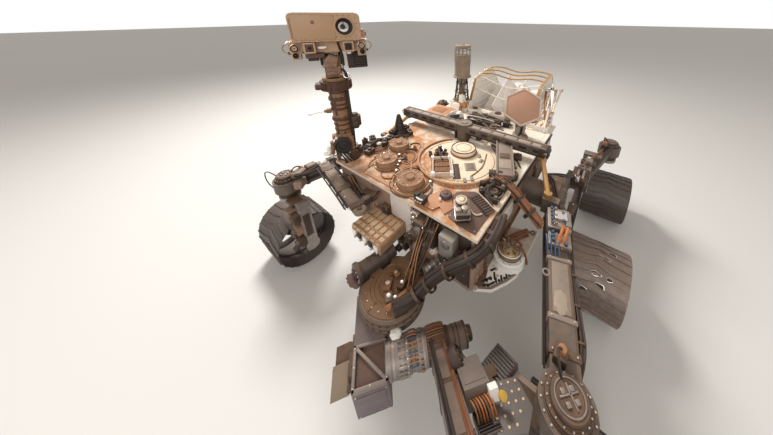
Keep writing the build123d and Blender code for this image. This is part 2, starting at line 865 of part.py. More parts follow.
def make_arm_upper():
    half = arm_section / 2
    root = plane_bar(lift_axis, upper_plane - half, upper_plane + half, lift_root_radius)
    motor = plane_bar(lift_axis, upper_plane + half, upper_plane + half + lift_motor_length, lift_motor_radius)
    tube = plane_beam(lift_axis, elbow_axis, upper_plane, arm_section * 0.86, arm_section)
    elbow = plane_bar(elbow_axis, upper_plane - half, upper_plane + half + elbow_cap, elbow_radius)
    return at_arm(fused(tube, root, motor, elbow))


def make_arm_fore():
    inner = upper_plane - arm_section / 2 - running_gap
    elbow = plane_bar(elbow_axis, fore_plane - arm_section / 2, inner, elbow_radius)
    tube = plane_beam(elbow_axis, wrist_axis, fore_plane, fore_section, fore_section)
    wrist = plane_bar(wrist_axis, fore_plane - arm_section / 2, fore_plane + arm_section / 2, wrist_radius)
    return at_arm(fused(tube, elbow, wrist))


def make_wrist():
    """Fork astride the end of the forearm, with the turret bearing on top."""
    half = arm_section / 2 + running_gap
    x, z = wrist_axis
    top = z + hub_low - running_gap
    whole = Pos(x, fore_plane, top - wrist_cap_height / 2) * Cylinder(wrist_cap_radius, wrist_cap_height)
    for side in (1, -1):
        inner = fore_plane + side * half
        outer = inner + side * fork_thickness
        whole += box_between(x - fork_half, x + fork_half, min(inner, outer), max(inner, outer),
                             z, top - wrist_cap_height / 2)
        whole += cross_bar(x, inner, outer, z, fork_half)
    return at_arm(whole)


def at_turret(solid):
    x, z = wrist_axis
    return at_arm(Pos(x, fore_plane, z + hub_low) * solid)


def make_turret_hub():
    return at_turret(Pos(0, 0, hub_height / 2) * Cylinder(hub_disc_radius, hub_height))


def tool_block(far, half, low, high):
    """A tool housing on the hub's side, cut to the hub's curve."""
    block = box_between(tool_root, far, -half, half, low, high)
    clear = Pos(0, 0, hub_height / 2) * Cylinder(hub_disc_radius + running_gap, 3 * hub_height)
    return block - clear


def make_tool(turn, half, low, high, reach, nose_reach, nose_radius, nose_z):
    housing = tool_block(reach, half, low, high)
    nose = fore_bar(reach - drill_bit_radius, nose_reach, 0, nose_z, nose_radius)
    return at_turret(Rot(0, 0, turn) * (housing + nose))


def make_drill_bit(turn, reach, nose_reach, nose_z):
    bit = fore_bar(nose_reach - drill_bit_radius, nose_reach + drill_bit_reach, 0, nose_z, drill_bit_radius)
    for side in (1, -1):
        bit += fore_bar(reach - drill_bit_radius, nose_reach + drill_prong_reach, side * drill_prong_side,
                        nose_z, drill_prong_radius)
    return at_turret(Rot(0, 0, turn) * bit)


def make_sample_box():
    return at_turret(Rot(0, 0, sample_turn) * tool_block(sample_reach, sample_half, sample_low, sample_high))


def turned_twins(solid):
    return (("l", solid), ("r", port_and_starboard(solid)))


pieces = {}
pieces["body"] = make_body()
pieces["deck"] = make_deck()
pieces["belly_pan"] = make_belly()
pieces["inlet_funnels"] = make_inlets()
for cover_name, cover_x, cover_y, cover_radius in inlet_places:
    pieces[cover_name] = make_inlet_cover(cover_x, cover_y, cover_radius)
pieces["differential_beam"] = make_beam()
pieces["differential_links"] = make_links()
for side_name, twin in turned_twins(make_rocker()):
    pieces["rocker_" + side_name] = twin
for side_name, twin in turned_twins(make_bogie()):
    pieces["bogie_" + side_name] = twin
drives = []
for corner_x in (wheel_reach_x, -wheel_reach_x):
    drives.append(steer_drive(corner_x))
    drives.append(port_and_starboard(steer_drive(corner_x)))
pieces["steering_drives"] = Compound(drives)
for axle_name, axle_x in (("front", wheel_reach_x), ("middle", 0.0), ("rear", -wheel_reach_x)):
    for side_name, side in (("l", 1), ("r", -1)):
        pieces["wheel_" + axle_name + "_" + side_name] = wheel_at(axle_x, side)
        if axle_name != "middle":
            pieces["knuckle_" + axle_name + "_" + side_name] = make_knuckle(axle_x, side)
pieces["mast_foot"] = make_mast_foot()
pieces["mast_tube"] = make_mast_tube()
pieces["mast_neck"] = make_neck()
pieces["head_bar"] = make_head_bar()
pieces["head_box"] = make_head_box()
pieces["generator"] = make_generator()
pieces["generator_fins"] = make_fins()
pieces["exchanger_plates"] = make_exchangers()
pieces["tail_frame"] = make_tail_frame()
pieces["dish_post"] = make_dish_post()
pieces["dish_yoke"] = make_dish_yoke()
pieces["dish_plate"] = make_dish()
pieces["relay_antenna"] = make_relay_antenna()
pieces["low_antenna"] = make_low_antenna()
pieces["deck_box"] = make_deck_box()
pieces["hazard_cameras"] = make_hazard_cameras()
pieces["front_rail"] = make_front_rail()
pieces["front_boxes"] = make_front_boxes()
pieces["side_shelf"] = make_side_shelf()
pieces["side_drum"] = make_side_drum()
pieces["arm_base"] = make_arm_base()
pieces["arm_shoulder"] = make_arm_shoulder()
pieces["arm_upper"] = make_arm_upper()
pieces["arm_fore"] = make_arm_fore()
pieces["wrist"] = make_wrist()
pieces["turret_hub"] = make_turret_hub()
for tool, turn, half, low, high, reach, nose_reach, nose_radius, nose_z in tools:
    pieces[tool] = make_tool(turn, half, low, high, reach, nose_reach, nose_radius, nose_z)
    if tool == "drill":
        pieces[tool] += make_drill_bit(turn, reach, nose_reach, nose_z)
pieces["sample_box"] = make_sample_box()

os.makedirs("parts", exist_ok=True)
outline_low = [math.inf, math.inf, math.inf]
outline_high = [-math.inf, -math.inf, -math.inf]
for piece_name, piece in pieces.items():
    placed = Pos(-origin_x, -origin_y, 0) * piece
    export_step(placed, os.path.join("parts", piece_name + ".step"))
    box = placed.bounding_box()
    outline_low = [min(a, b) for a, b in zip(outline_low, box.min)]
    outline_high = [max(a, b) for a, b in zip(outline_high, box.max)]

print("outline", [round(v, 1) for v in outline_low], [round(v, 1) for v in outline_high])
print("elbow axis", [round(v, 2) for v in elbow_axis], "wrist axis", [round(v, 2) for v in wrist_axis])
print(len(pieces), "nodes")
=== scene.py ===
# %% [markdown]
# # A six-wheeled planetary rover
# The construction comes from the CAD model: every piece, its size and its joints. This script
# gives the pieces their finish, rounds their edges, and adds what is too small for the CAD:
# screws, wiring, lenses, lugs and the dust that covers a machine that works in a desert.
# One unit is one metre. X points forward, Y to port and Z up.

import json
import math
import random

import bmesh
import bpy
from mathutils import Matrix, Vector


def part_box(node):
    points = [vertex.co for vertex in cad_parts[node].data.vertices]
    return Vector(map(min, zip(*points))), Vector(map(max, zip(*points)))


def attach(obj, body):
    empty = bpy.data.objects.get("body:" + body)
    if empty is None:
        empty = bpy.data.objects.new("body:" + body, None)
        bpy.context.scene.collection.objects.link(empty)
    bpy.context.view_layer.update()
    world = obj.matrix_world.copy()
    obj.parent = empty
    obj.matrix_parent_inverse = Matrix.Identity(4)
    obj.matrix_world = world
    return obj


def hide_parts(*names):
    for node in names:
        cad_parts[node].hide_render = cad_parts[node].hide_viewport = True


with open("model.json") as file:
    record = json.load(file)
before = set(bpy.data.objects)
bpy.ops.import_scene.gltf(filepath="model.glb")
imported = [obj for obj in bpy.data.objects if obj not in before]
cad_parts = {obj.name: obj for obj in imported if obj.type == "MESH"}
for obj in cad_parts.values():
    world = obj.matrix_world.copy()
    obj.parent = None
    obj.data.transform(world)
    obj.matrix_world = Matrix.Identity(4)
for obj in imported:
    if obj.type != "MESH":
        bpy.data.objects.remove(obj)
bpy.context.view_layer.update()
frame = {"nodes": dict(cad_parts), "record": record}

# Places below count from the ground midway between the two middle wheels.
middle_port, middle_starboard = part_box("wheel_middle_l"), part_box("wheel_middle_r")
home = Vector((sum(corner.x for corner in middle_port) / 2,
               (middle_port[1].y + middle_starboard[0].y) / 2, 0.0))

# %% [markdown]
# ## Shapes
# Most pieces of such a machine are turned, milled or bent from sheet. So a few helpers make one
# simple shape each: a milled block, a turned body, a flat plate cut to an outline, a wire. Each
# shape is a small bmesh. It is moved to its place and joined to the mesh of its piece, so that a
# hundred screws are still one object.

# %% Helpers that place and join shapes
scratch = bpy.data.meshes.new("scratch")


def join(target, shape, place=None, finish=0):
    """Moves a small shape to its place and adds it to a piece's mesh."""
    if place is not None:
        bmesh.ops.transform(shape, matrix=place, verts=shape.verts)
    for face in shape.faces:
        face.material_index = finish
    shape.to_mesh(scratch)
    target.from_mesh(scratch)
    shape.free()


def at(x, y, z, turn_x=0.0, turn_y=0.0, turn_z=0.0):
    """A place, with turns in degrees."""
    turns = Matrix.Rotation(math.radians(turn_z), 4, "Z")
    turns = turns @ Matrix.Rotation(math.radians(turn_y), 4, "Y")
    turns = turns @ Matrix.Rotation(math.radians(turn_x), 4, "X")
    return Matrix.Translation((x, y, z)) @ turns


def between(start, end):
    """A place in the middle of a run, with z along the run."""
    start, end = Vector(start), Vector(end)
    turn = (end - start).to_track_quat("Z", "Y").to_matrix().to_4x4()
    return Matrix.Translation((start + end) / 2) @ turn


def moved(place, points):
    """The points of a run, seen from a place."""
    return [place @ Vector(p) for p in points]


def polar(radius, angle):
    """The x and y of a point on a circle about the origin."""
    return radius * math.cos(angle), radius * math.sin(angle)


def four_corners(x, y):
    """The four corners of a rectangle, from its half sides."""
    return [(a, b) for a in (-x, x) for b in (-y, y)]


def mirrored(point, side):
    """A point on the port side, or with side = -1 its image to starboard."""
    return point[0], side * point[1], point[2]


def block(length, width, height, edge=0.002):
    """A milled block about its centre, with its edges broken."""
    shape = bmesh.new()
    bmesh.ops.create_cube(shape, size=1.0)
    bmesh.ops.scale(shape, vec=(length, width, height), verts=shape.verts)
    if edge:
        bmesh.ops.bevel(shape, geom=shape.edges[:], offset=edge, segments=2, profile=0.5,
                        affect="EDGES", material=-1)
    return shape


def drum(radius, height, edge=0.002, sides=32, top=None):
    """A turned body about its centre; top is its upper radius where it tapers."""
    shape = bmesh.new()
    bmesh.ops.create_cone(shape, cap_ends=True, segments=sides, radius1=radius,
                          radius2=radius if top is None else top, depth=height)
    if edge:
        rims = [e for e in shape.edges if any(len(f.verts) > 4 for f in e.link_faces)]
        bmesh.ops.bevel(shape, geom=rims, offset=edge, segments=2, profile=0.5,
                        affect="EDGES", material=-1)
    return shape


def turned(profile, sides=48):
    """A body turned from a profile of (radius, height) points round the z axis."""
    shape = bmesh.new()
    corners = [shape.verts.new((radius, 0.0, height)) for radius, height in profile]
    line = [shape.edges.new(pair) for pair in zip(corners, corners[1:])]
    bmesh.ops.spin(shape, geom=corners + line, cent=(0, 0, 0), axis=(0, 0, 1),
                   angle=2 * math.pi, steps=sides, use_merge=True)
    bmesh.ops.remove_doubles(shape, verts=shape.verts[:], dist=1e-6)
    bmesh.ops.recalc_face_normals(shape, faces=shape.faces[:])
    return shape


def ring(radius, wall, height, sides=40):
    """A plain ring about its centre."""
    low, high, inner = -height / 2, height / 2, radius - wall
    return turned([(inner, low), (radius, low), (radius, high), (inner, high), (inner, low)], sides)


def plate(outline, thickness, edge=0.0015):
    """A flat plate cut to an outline of (x, y) points, its top at z = 0."""
    shape = bmesh.new()
    corners = [shape.verts.new((x, y, 0.0)) for x, y in outline]
    face = shape.faces.new(corners)
    face.normal_update()
    if face.normal.z < 0:
        bmesh.ops.reverse_faces(shape, faces=[face])
    grown = bmesh.ops.extrude_face_region(shape, geom=[face])
    lower = [v for v in grown["geom"] if isinstance(v, bmesh.types.BMVert)]
    bmesh.ops.translate(shape, vec=(0, 0, -thickness), verts=lower)
    bmesh.ops.recalc_face_normals(shape, faces=shape.faces[:])
    if edge:
        bmesh.ops.bevel(shape, geom=shape.edges[:], offset=edge, segments=2, profile=0.5,
                        affect="EDGES", material=-1)
    return shape


def screw(radius=0.005, height=0.004):
    """A six-sided screw head standing on z = 0."""
    shape = bmesh.new()
    place = Matrix.Translation((0, 0, height / 2))
    bmesh.ops.create_cone(shape, cap_ends=True, segments=6, radius1=radius, radius2=radius * 0.85,
                          depth=height, matrix=place)
    return shape


def screws_round(target, place, radius, count, size=0.005, finish=0):
    """A circle of screw heads on a flange."""
    for step in range(count):
        angle = 2 * math.pi * step / count
        spot = Matrix.Translation((*polar(radius, angle), 0))
        join(target, screw(size, size * 0.8), place @ spot, finish)


def wire(target, points, radius=0.004, finish=0, detail=3):
    """A harness or pipe that is clipped down along its whole run."""
    line = bpy.data.curves.new("run", "CURVE")
    line.dimensions = "3D"
    line.bevel_depth = radius
    line.bevel_resolution = 2
    line.resolution_u = detail
    line.use_fill_caps = True
    spline = line.splines.new("NURBS")
    spline.points.add(len(points) - 1)
    for point, spot in zip(spline.points, points):
        point.co = (*spot, 1.0)
    spline.order_u = 3
    spline.use_endpoint_u = True
    holder = bpy.data.objects.new("run", line)
    bpy.context.scene.collection.objects.link(holder)
    bpy.context.view_layer.update()
    mesh = bpy.data.meshes.new_from_object(holder.evaluated_get(bpy.context.evaluated_depsgraph_get()))
    shape = bmesh.new()
    shape.from_mesh(mesh)
    bpy.data.objects.remove(holder)
    bpy.data.curves.remove(line)
    bpy.data.meshes.remove(mesh)
    join(target, shape, None, finish)


owner = {}
for body_name, members in frame["record"]["behaviour"]["bodies"].items():
    for member in members:
        owner[member] = body_name


def piece(name, node, shape, finishes, replaces=(), crease=32.0, origin=home):
    """Makes an object of a finished mesh that rides with a CAD node's body and hides the nodes it replaces.
    """
    bmesh.ops.translate(shape, vec=origin, verts=shape.verts)
    mesh = bpy.data.meshes.new(name)
    shape.to_mesh(mesh)
    shape.free()
    for finish in finishes:
        mesh.materials.append(finish)
    mesh.shade_smooth()
    mesh.set_sharp_from_angle(angle=math.radians(crease))
    thing = bpy.data.objects.new(name, mesh)
    bpy.context.scene.collection.objects.link(thing)
    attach(thing, owner[node])
    if replaces:
        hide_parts(*replaces)
    return thing


# %% [markdown]
# ## Finishes
# The machine is bare and anodised aluminium, titanium, white thermal paint and dark coatings,
# and after years in a desert a fine rusty dust lies on whatever faces up. So each finish is a
# metal or a paint with two extra layers: blotches a few centimetres wide, and dust that grows
# with the upward slope of the surface and breaks up at its border.

# %% Colour and node helpers
def linear(code):
    """The linear colour of an sRGB hex value."""
    parts = [int(code[i:i + 2], 16) / 255 for i in (0, 2, 4)]
    parts = [c / 12.92 if c <= 0.04045 else ((c + 0.055) / 1.055) ** 2.4 for c in parts]
    return (*parts, 1.0)


def add(tree, kind, values=None, links=None, **settings):
    """Adds a node with its settings, its socket values and what feeds it."""
    node = tree.nodes.new(kind)
    for key, value in settings.items():
        setattr(node, key, value)
    for socket, value in (values or {}).items():
        node.inputs[socket].default_value = value
    for socket, source in (links or {}).items():
        tree.links.new(source, node.inputs[socket])
    return node


def per_metre(millimetres):
    """The scale of a pattern whose features are this wide."""
    return 1000.0 / millimetres


def dusty(name, colour, dust="B07A52", metallic=0.0, rough=0.55, slope=(0.45, 0.95), cover=0.75,
          blotch=55, grain=2.5, shade=0.22, bump=0.12, drift=None):
    """A coated or bare metal with blotches, fine grain and settled dust.

    drift is (x, y, low, high): the dust grows along that direction of the plan, from nothing
    where x * X + y * Y is low to its full cover where it is high.
    """
    material = bpy.data.materials.new(name)
    material.use_nodes = True
    tree = material.node_tree
    shader = tree.nodes["Principled BSDF"]
    place = add(tree, "ShaderNodeTexCoord").outputs["Object"]
    wide = add(tree, "ShaderNodeTexNoise", {"Scale": per_metre(blotch), "Detail": 6.0, "Roughness": 0.62},
               {"Vector": place})
    fine = add(tree, "ShaderNodeTexNoise", {"Scale": per_metre(grain), "Detail": 3.0}, {"Vector": place})
    tone = add(tree, "ShaderNodeMapRange", {1: 0.3, 2: 0.7, 3: 1.0 - shade, 4: 1.0 + shade * 0.4},
               {0: wide.outputs["Fac"]})
    paint = add(tree, "ShaderNodeMix", data_type="RGBA", blend_type="MULTIPLY")
    paint.inputs[0].default_value = 1.0
    paint.inputs[6].default_value = linear(colour)
    tree.links.new(tone.outputs[0], paint.inputs[7])
    normal = add(tree, "ShaderNodeNewGeometry").outputs["Normal"]
    height = add(tree, "ShaderNodeSeparateXYZ", links={0: normal}).outputs["Z"]
    lying = add(tree, "ShaderNodeMapRange", {1: slope[0], 2: slope[1], 3: 0.0, 4: cover}, {0: height})
    broken = add(tree, "ShaderNodeMapRange", {1: 0.36, 2: 0.56, 3: 0.35, 4: 1.0}, {0: wide.outputs["Fac"]})
    amount = add(tree, "ShaderNodeMath", None, {0: lying.outputs[0], 1: broken.outputs[0]},
                 operation="MULTIPLY")
    if drift:
        along = add(tree, "ShaderNodeVectorMath", {1: (drift[0], drift[1], 0.0)}, {0: place},
                    operation="DOT_PRODUCT")
        start = drift[0] * home.x + drift[1] * home.y
        ragged = add(tree, "ShaderNodeMath", {1: 0.5}, {0: wide.outputs["Fac"], 2: along.outputs["Value"]},
                     operation="MULTIPLY_ADD")
        blown = add(tree, "ShaderNodeMapRange", {1: start + drift[2] + 0.25, 2: start + drift[3] + 0.25,
                                                 3: 0.06, 4: 1.0}, {0: ragged.outputs[0]})
        amount = add(tree, "ShaderNodeMath", None, {0: amount.outputs[0], 1: blown.outputs[0]},
                     operation="MULTIPLY")
    colours = add(tree, "ShaderNodeMix", data_type="RGBA")
    tree.links.new(amount.outputs[0], colours.inputs[0])
    tree.links.new(paint.outputs[2], colours.inputs[6])
    colours.inputs[7].default_value = linear(dust)
    tree.links.new(colours.outputs[2], shader.inputs["Base Color"])
    if metallic:
        bright = add(tree, "ShaderNodeMapRange", {1: 0.0, 2: 1.0, 3: metallic, 4: 0.0},
                     {0: amount.outputs[0]})
        tree.links.new(bright.outputs[0], shader.inputs["Metallic"])
    matt = add(tree, "ShaderNodeMapRange", {1: 0.3, 2: 0.7, 3: rough - 0.08, 4: rough + 0.12},
               {0: fine.outputs["Fac"]})
    dull = add(tree, "ShaderNodeMath", {1: 0.35}, {0: amount.outputs[0], 2: matt.outputs[0]},
               operation="MULTIPLY_ADD", use_clamp=True)
    tree.links.new(dull.outputs[0], shader.inputs["Roughness"])
    relief = add(tree, "ShaderNodeBump", {"Strength": bump, "Distance": 0.001},
                 {"Height": fine.outputs["Fac"]})
    tree.links.new(relief.outputs["Normal"], shader.inputs["Normal"])
    return material


# %% [markdown]
# Each finish is named for the real one. Thermal paint is white and chalky; the suspension is
# grey anodised; drives and cameras are black anodised; wheels are machined from one block of
# aluminium and scratched by rock.

# %% The finishes
head_paint = dusty("thermal paint, tan with dust", "B49274", cover=0.6, blotch=90, shade=0.1, rough=0.6)
white_paint = dusty("white thermal paint", "F4EEE4", dust="D2A27A", cover=0.6, shade=0.12)
deck_paint = dusty("deck paint under dust", "EFE3D0", dust="BE8357", cover=1.0, blotch=90, rough=0.7,
                   slope=(-0.2, 0.4), shade=0.10, drift=(1.0, -0.6, 0.0, 0.5))
ring_paint = dusty("round panel paint", "F2DDBE", dust="BC8156", cover=1.0, blotch=60, rough=0.65,
                   slope=(-0.2, 0.4), shade=0.08, drift=(1.0, -0.9, 0.22, 0.62))
body_paint = dusty("body panel paint", "A58770", dust="B07A52", cover=0.7, blotch=80)
grey_tube = dusty("grey anodised titanium tube", "665A50", dust="80644E", metallic=0.25, rough=0.48,
                  cover=0.5, blotch=70)
mast_paint = dusty("mast tube paint", "8F6A4C", dust="A87E5C", cover=0.5, blotch=35, shade=0.4)
dark_drive = dusty("dark drive housing", "4A3A2F", dust="7C5C44", metallic=0.3, rough=0.5, cover=0.6)
black_coat = dusty("black anodised aluminium", "2C241F", dust="6B4D38", metallic=0.2, rough=0.5, cover=0.55)
bare_metal = dusty("machined aluminium", "A0978F", dust="9A7558", metallic=0.85, rough=0.36, cover=0.5)
bright_metal = dusty("polished steel", "D6D0CA", dust="A07C60", metallic=1.0, rough=0.22, cover=0.3)
wheel_metal = dusty("worn wheel aluminium", "85766C", dust="8A6A54", metallic=0.45, rough=0.46, cover=0.4,
                    blotch=40, shade=0.3, bump=0.3)
# A darker copy of the wheel aluminium: painted shade for the wheels that lie in shadow.
shaded_wheel_metal = dusty("wheel aluminium darkened as painted shade", "59504A", dust="735E50", metallic=0.35, rough=0.5, cover=0.4,
                   blotch=14, shade=0.3)
arm_metal = dusty("arm titanium", "7C6D62", dust="94745B", metallic=0.35, rough=0.46, cover=0.5)
lavender_coat = dusty("lavender grey coating", "6F6262", dust="8C7261", rough=0.5, cover=0.35)
brown_plate = dusty("brown coated plate", "5F4538", dust="6E4F3D", rough=0.55, cover=0.35)
gold_film = dusty("gold coated edge", "B98D55", dust="B58458", metallic=0.6, rough=0.35, cover=0.3)
copper_wire = dusty("copper coloured harness", "8E5B3C", dust="7F5840", metallic=0.3, rough=0.5, cover=0.3)
black_wire = dusty("black harness", "2A211C", dust="5E4534", rough=0.6, cover=0.4)
orange_sleeve = dusty("orange heater sleeve", "C4702F", dust="A56A40", rough=0.5, cover=0.3)
blue_shell = dusty("blue connector shell", "3F5E78", dust="6E6258", metallic=0.5, rough=0.4, cover=0.3)
yellow_shell = dusty("yellow connector cap", "D6A93C", dust="B98E4C", rough=0.45, cover=0.3)
cream_paint = dusty("cream paint", "F6DFC2", dust="DDB48C", rough=0.6, cover=0.35, shade=0.06)
dish_paint = dusty("antenna face", "BE9478", dust="B0846A", rough=0.6, cover=0.3, shade=0.08)
fin_paint = dusty("white radiator fin", "F1EAE2", dust="D9B79A", rough=0.55, cover=0.35, shade=0.08)
antenna_grey = dusty("grey antenna cover", "97836F", dust="A98468", rough=0.6, cover=0.4)
head_panel = dusty("smooth panel of the head", "AE8A6A", dust="B08C6C", cover=0.2, blotch=120, shade=0.06,
                   rough=0.5, bump=0.05)
head_edge = dusty("worn edge of the head", "B69878", dust="9A7656", cover=0.3, blotch=18, shade=0.35)
head_shadow = dusty("brown fittings of the head", "7E6048", dust="8A684C", cover=0.3, blotch=14, shade=0.3)
bar_brown = dusty("brown dusty casting", "5C4130", dust="7A5840", cover=0.35, blotch=16, shade=0.5)
neck_paint = dusty("dusty grey neck", "8C6C52", dust="9A785A", cover=0.4, blotch=20, shade=0.4)
cooler_rib = dusty("cooling rib", "4A382C", dust="6A4E3A", metallic=0.2, cover=0.4, blotch=12, shade=0.4)
# Blackened bores, and painted shade in openings, recesses and holes.
dark_bore_and_shade = dusty("blackened bore and painted shade", "35241A", dust="4C3424", cover=0.3, blotch=20, rough=0.7)
mast_rust = dusty("dark brown band", "4E2F1C", dust="6E482E", cover=0.35, blotch=14, shade=0.5)
strut_grey = dusty("grey strut", "8E8074", dust="94755A", metallic=0.2, cover=0.3, blotch=40, shade=0.15)
dust_grey = dusty("pale grey plate", "A09080", dust="A88A70", cover=0.3, blotch=30, shade=0.12)
silver_grey = dusty("silver grey casting", "8A827C", dust="94785E", metallic=0.6, rough=0.38, cover=0.35,
                    blotch=18, shade=0.3)
frame_silver = dusty("milled frame edge", "8D8079", dust="9A7E68", metallic=0.4, rough=0.4, cover=0.3,
                     blotch=20, shade=0.2)
pocket_floor = dusty("pocket floor", "6E5244", dust="7A5A48", cover=0.4, blotch=20, shade=0.25)
green_black = dusty("green black casting", "35302A", dust="5A4A3A", metallic=0.3, cover=0.35, blotch=12,
                    shade=0.5)
fin_rib = dusty("thin radiator rib", "D9CFC8", dust="CDB09A", rough=0.5, cover=0.25, shade=0.1)
dish_face = dusty("antenna face, rosy tan", "B88A6E", dust="B58A70", rough=0.55, cover=0.15, shade=0.05,
                  bump=0.04)
dish_rim = dusty("pale antenna rim", "D2BFAE", dust="B89278", rough=0.5, cover=0.3, shade=0.1)
cover_paint = dusty("dust covered inlet, gold brown", "A67F60", dust="96694A", cover=0.6, blotch=45,
                    shade=0.3)
white_front = dusty("white front panel", "DCCFC6", dust="B99478", cover=0.4, blotch=40, shade=0.1)
tan_front = dusty("tan front panel", "8E7260", dust="8A664E", cover=0.4, blotch=50, shade=0.15)
slat_cream = dusty("cream slat", "E2C29E", dust="CFA27A", cover=0.35, blotch=30, shade=0.15)
rail_grey = dusty("grey rail", "867464", dust="8E7058", metallic=0.2, cover=0.4, blotch=40, shade=0.2)
glassy_cap = dusty("smooth cap, yellow grey", "A08A5E", dust="B09468", metallic=0.3, rough=0.2, cover=0.3,
                   blotch=20, shade=0.3, bump=0.02)
band_brown = dusty("banded drum side", "6E5B4B", dust="7A5C48", cover=0.4, blotch=25, shade=0.25)
drum_top = dusty("dusty drum top", "93704F", dust="8A664C", cover=0.6, blotch=35, shade=0.3)
beige_plate = dusty("beige grey plate", "85735F", dust="8C7460", cover=0.3, blotch=50, shade=0.1)
grey_box_paint = dusty("smooth grey box", "786A60", dust="846C5C", cover=0.3, blotch=60, shade=0.08,
                       bump=0.04)
striped_grey = dusty("slotted grey casting", "5C4C44", dust="6E5848", cover=0.3, blotch=20, shade=0.25)
dotted_grey = dusty("blue grey dotted plate", "6B635E", dust="75645A", cover=0.2, blotch=40, shade=0.12)
edge_tan = dusty("raised rim, tan", "BC9068", dust="B07A50", cover=0.4, blotch=25, shade=0.3)
edge_brown = dusty("raised rim, brown", "84593A", dust="9C6C48", cover=0.5, blotch=20, shade=0.35)
edge_dark = dusty("dark groove", "4A3426", dust="6A4A34", cover=0.45, blotch=20, shade=0.3)
edge_pale = dusty("pale strip", "D9C6B0", dust="B98E68", cover=0.5, blotch=25, shade=0.25)
dust_brown = dusty("settled brown dust", "A87450", dust="B07C54", cover=0.5, blotch=30, shade=0.25,
                   rough=0.8)
orange_patch = dusty("orange coated plate", "BE8660", dust="C08A62", cover=0.4, blotch=60, shade=0.1)
# Painted shade: a dark brown for parts that lie in shadow or in a recess.
painted_shade_area = dusty("dark brown painted shade", "3C2A1F", dust="553C2C", cover=0.4, blotch=18, shade=0.4)
fitting_grey = dusty("grey fitting", "7B6A5C", dust="94745B", metallic=0.4, cover=0.5, blotch=16, shade=0.3)
plate_grey = dusty("blank grey plate", "8E877E", dust="A88C72", cover=0.3, blotch=20, shade=0.1)
plum_cap = dusty("plum coloured cap", "54403E", dust="7A5A48", cover=0.4, blotch=20, shade=0.3)
copper_light = dusty("light copper wire", "B07B52", dust="9A6C4C", metallic=0.4, cover=0.3, blotch=15,
                     shade=0.3)
tray_paint = dusty("tray paint", "D8C4B0", dust="A8805E", cover=0.7, blotch=20, shade=0.2)
dark_sleeve = dusty("dark braided sleeve", "3A291E", dust="5E4534", cover=0.45, blotch=12, shade=0.4,
                    bump=0.4)
dark_tube = dusty("dark grey motor tube", "50443C", dust="7A5F4B", metallic=0.3, rough=0.45, cover=0.5)
white_film = dusty("white film and tape", "FBF6EE", dust="E8D2BC", cover=0.2, blotch=30, shade=0.06)


def lens_glass():
    """Coated lens glass is nearly black, with a sharp reflection."""
    material = bpy.data.materials.new("coated lens glass")
    material.use_nodes = True
    tree = material.node_tree
    shader = tree.nodes["Principled BSDF"]
    place = add(tree, "ShaderNodeTexCoord").outputs["Object"]
    speck = add(tree, "ShaderNodeTexNoise", {"Scale": per_metre(4), "Detail": 4.0}, {"Vector": place})
    tone = add(tree, "ShaderNodeMix", None, {0: speck.outputs["Fac"]}, data_type="RGBA")
    tone.inputs[6].default_value = linear("120C0A")
    tone.inputs[7].default_value = linear("2A1C16")
    tree.links.new(tone.outputs[2], shader.inputs["Base Color"])
    shader.inputs["Roughness"].default_value = 0.08
    shader.inputs["IOR"].default_value = 1.6
    return material


glass = lens_glass()
print(len(bpy.data.materials), "finishes")

# %% [markdown]
# ## The CAD pieces
# A real edge is never sharp: it is broken by a file or a cutter, and it catches the light. So
# each CAD piece gets a copy whose loose triangles are merged, whose flat sides become whole
# faces again, and whose edges carry a Bevel modifier a millimetre or two wide.

# %% A copy with broken edges
def broken_edges(node, finish, edge=0.002, zones=(), keep_flat=1.0):
    """A copy of a CAD piece with rounded edges that stands for it.

    A zone is (low corner, high corner, finish): faces whose middle lies in that box take it.
    """
    shape = bmesh.new()
    shape.from_mesh(frame["nodes"][node].data)
    bmesh.ops.remove_doubles(shape, verts=shape.verts[:], dist=1e-5)
    bmesh.ops.dissolve_limit(shape, angle_limit=math.radians(keep_flat), verts=shape.verts[:],
                             edges=shape.edges[:])
    for face in shape.faces:
        face.material_index = 0
        middle = face.calc_center_median() - home
        for number, (low, high, _) in enumerate(zones, 1):
            if all(low[axis] <= middle[axis] <= high[axis] for axis in range(3)):
                face.material_index = number
    finishes = [finish] + [zone[2] for zone in zones]
    thing = piece(node + "_dressed", node, shape, finishes, [node], crease=28.0, origin=Vector())
    bevel = thing.modifiers.new("broken edge", "BEVEL")
    bevel.width = edge
    bevel.segments = 2
    bevel.limit_method = "ANGLE"
    bevel.angle_limit = math.radians(40)
    bevel.use_clamp_overlap = True
    return thing


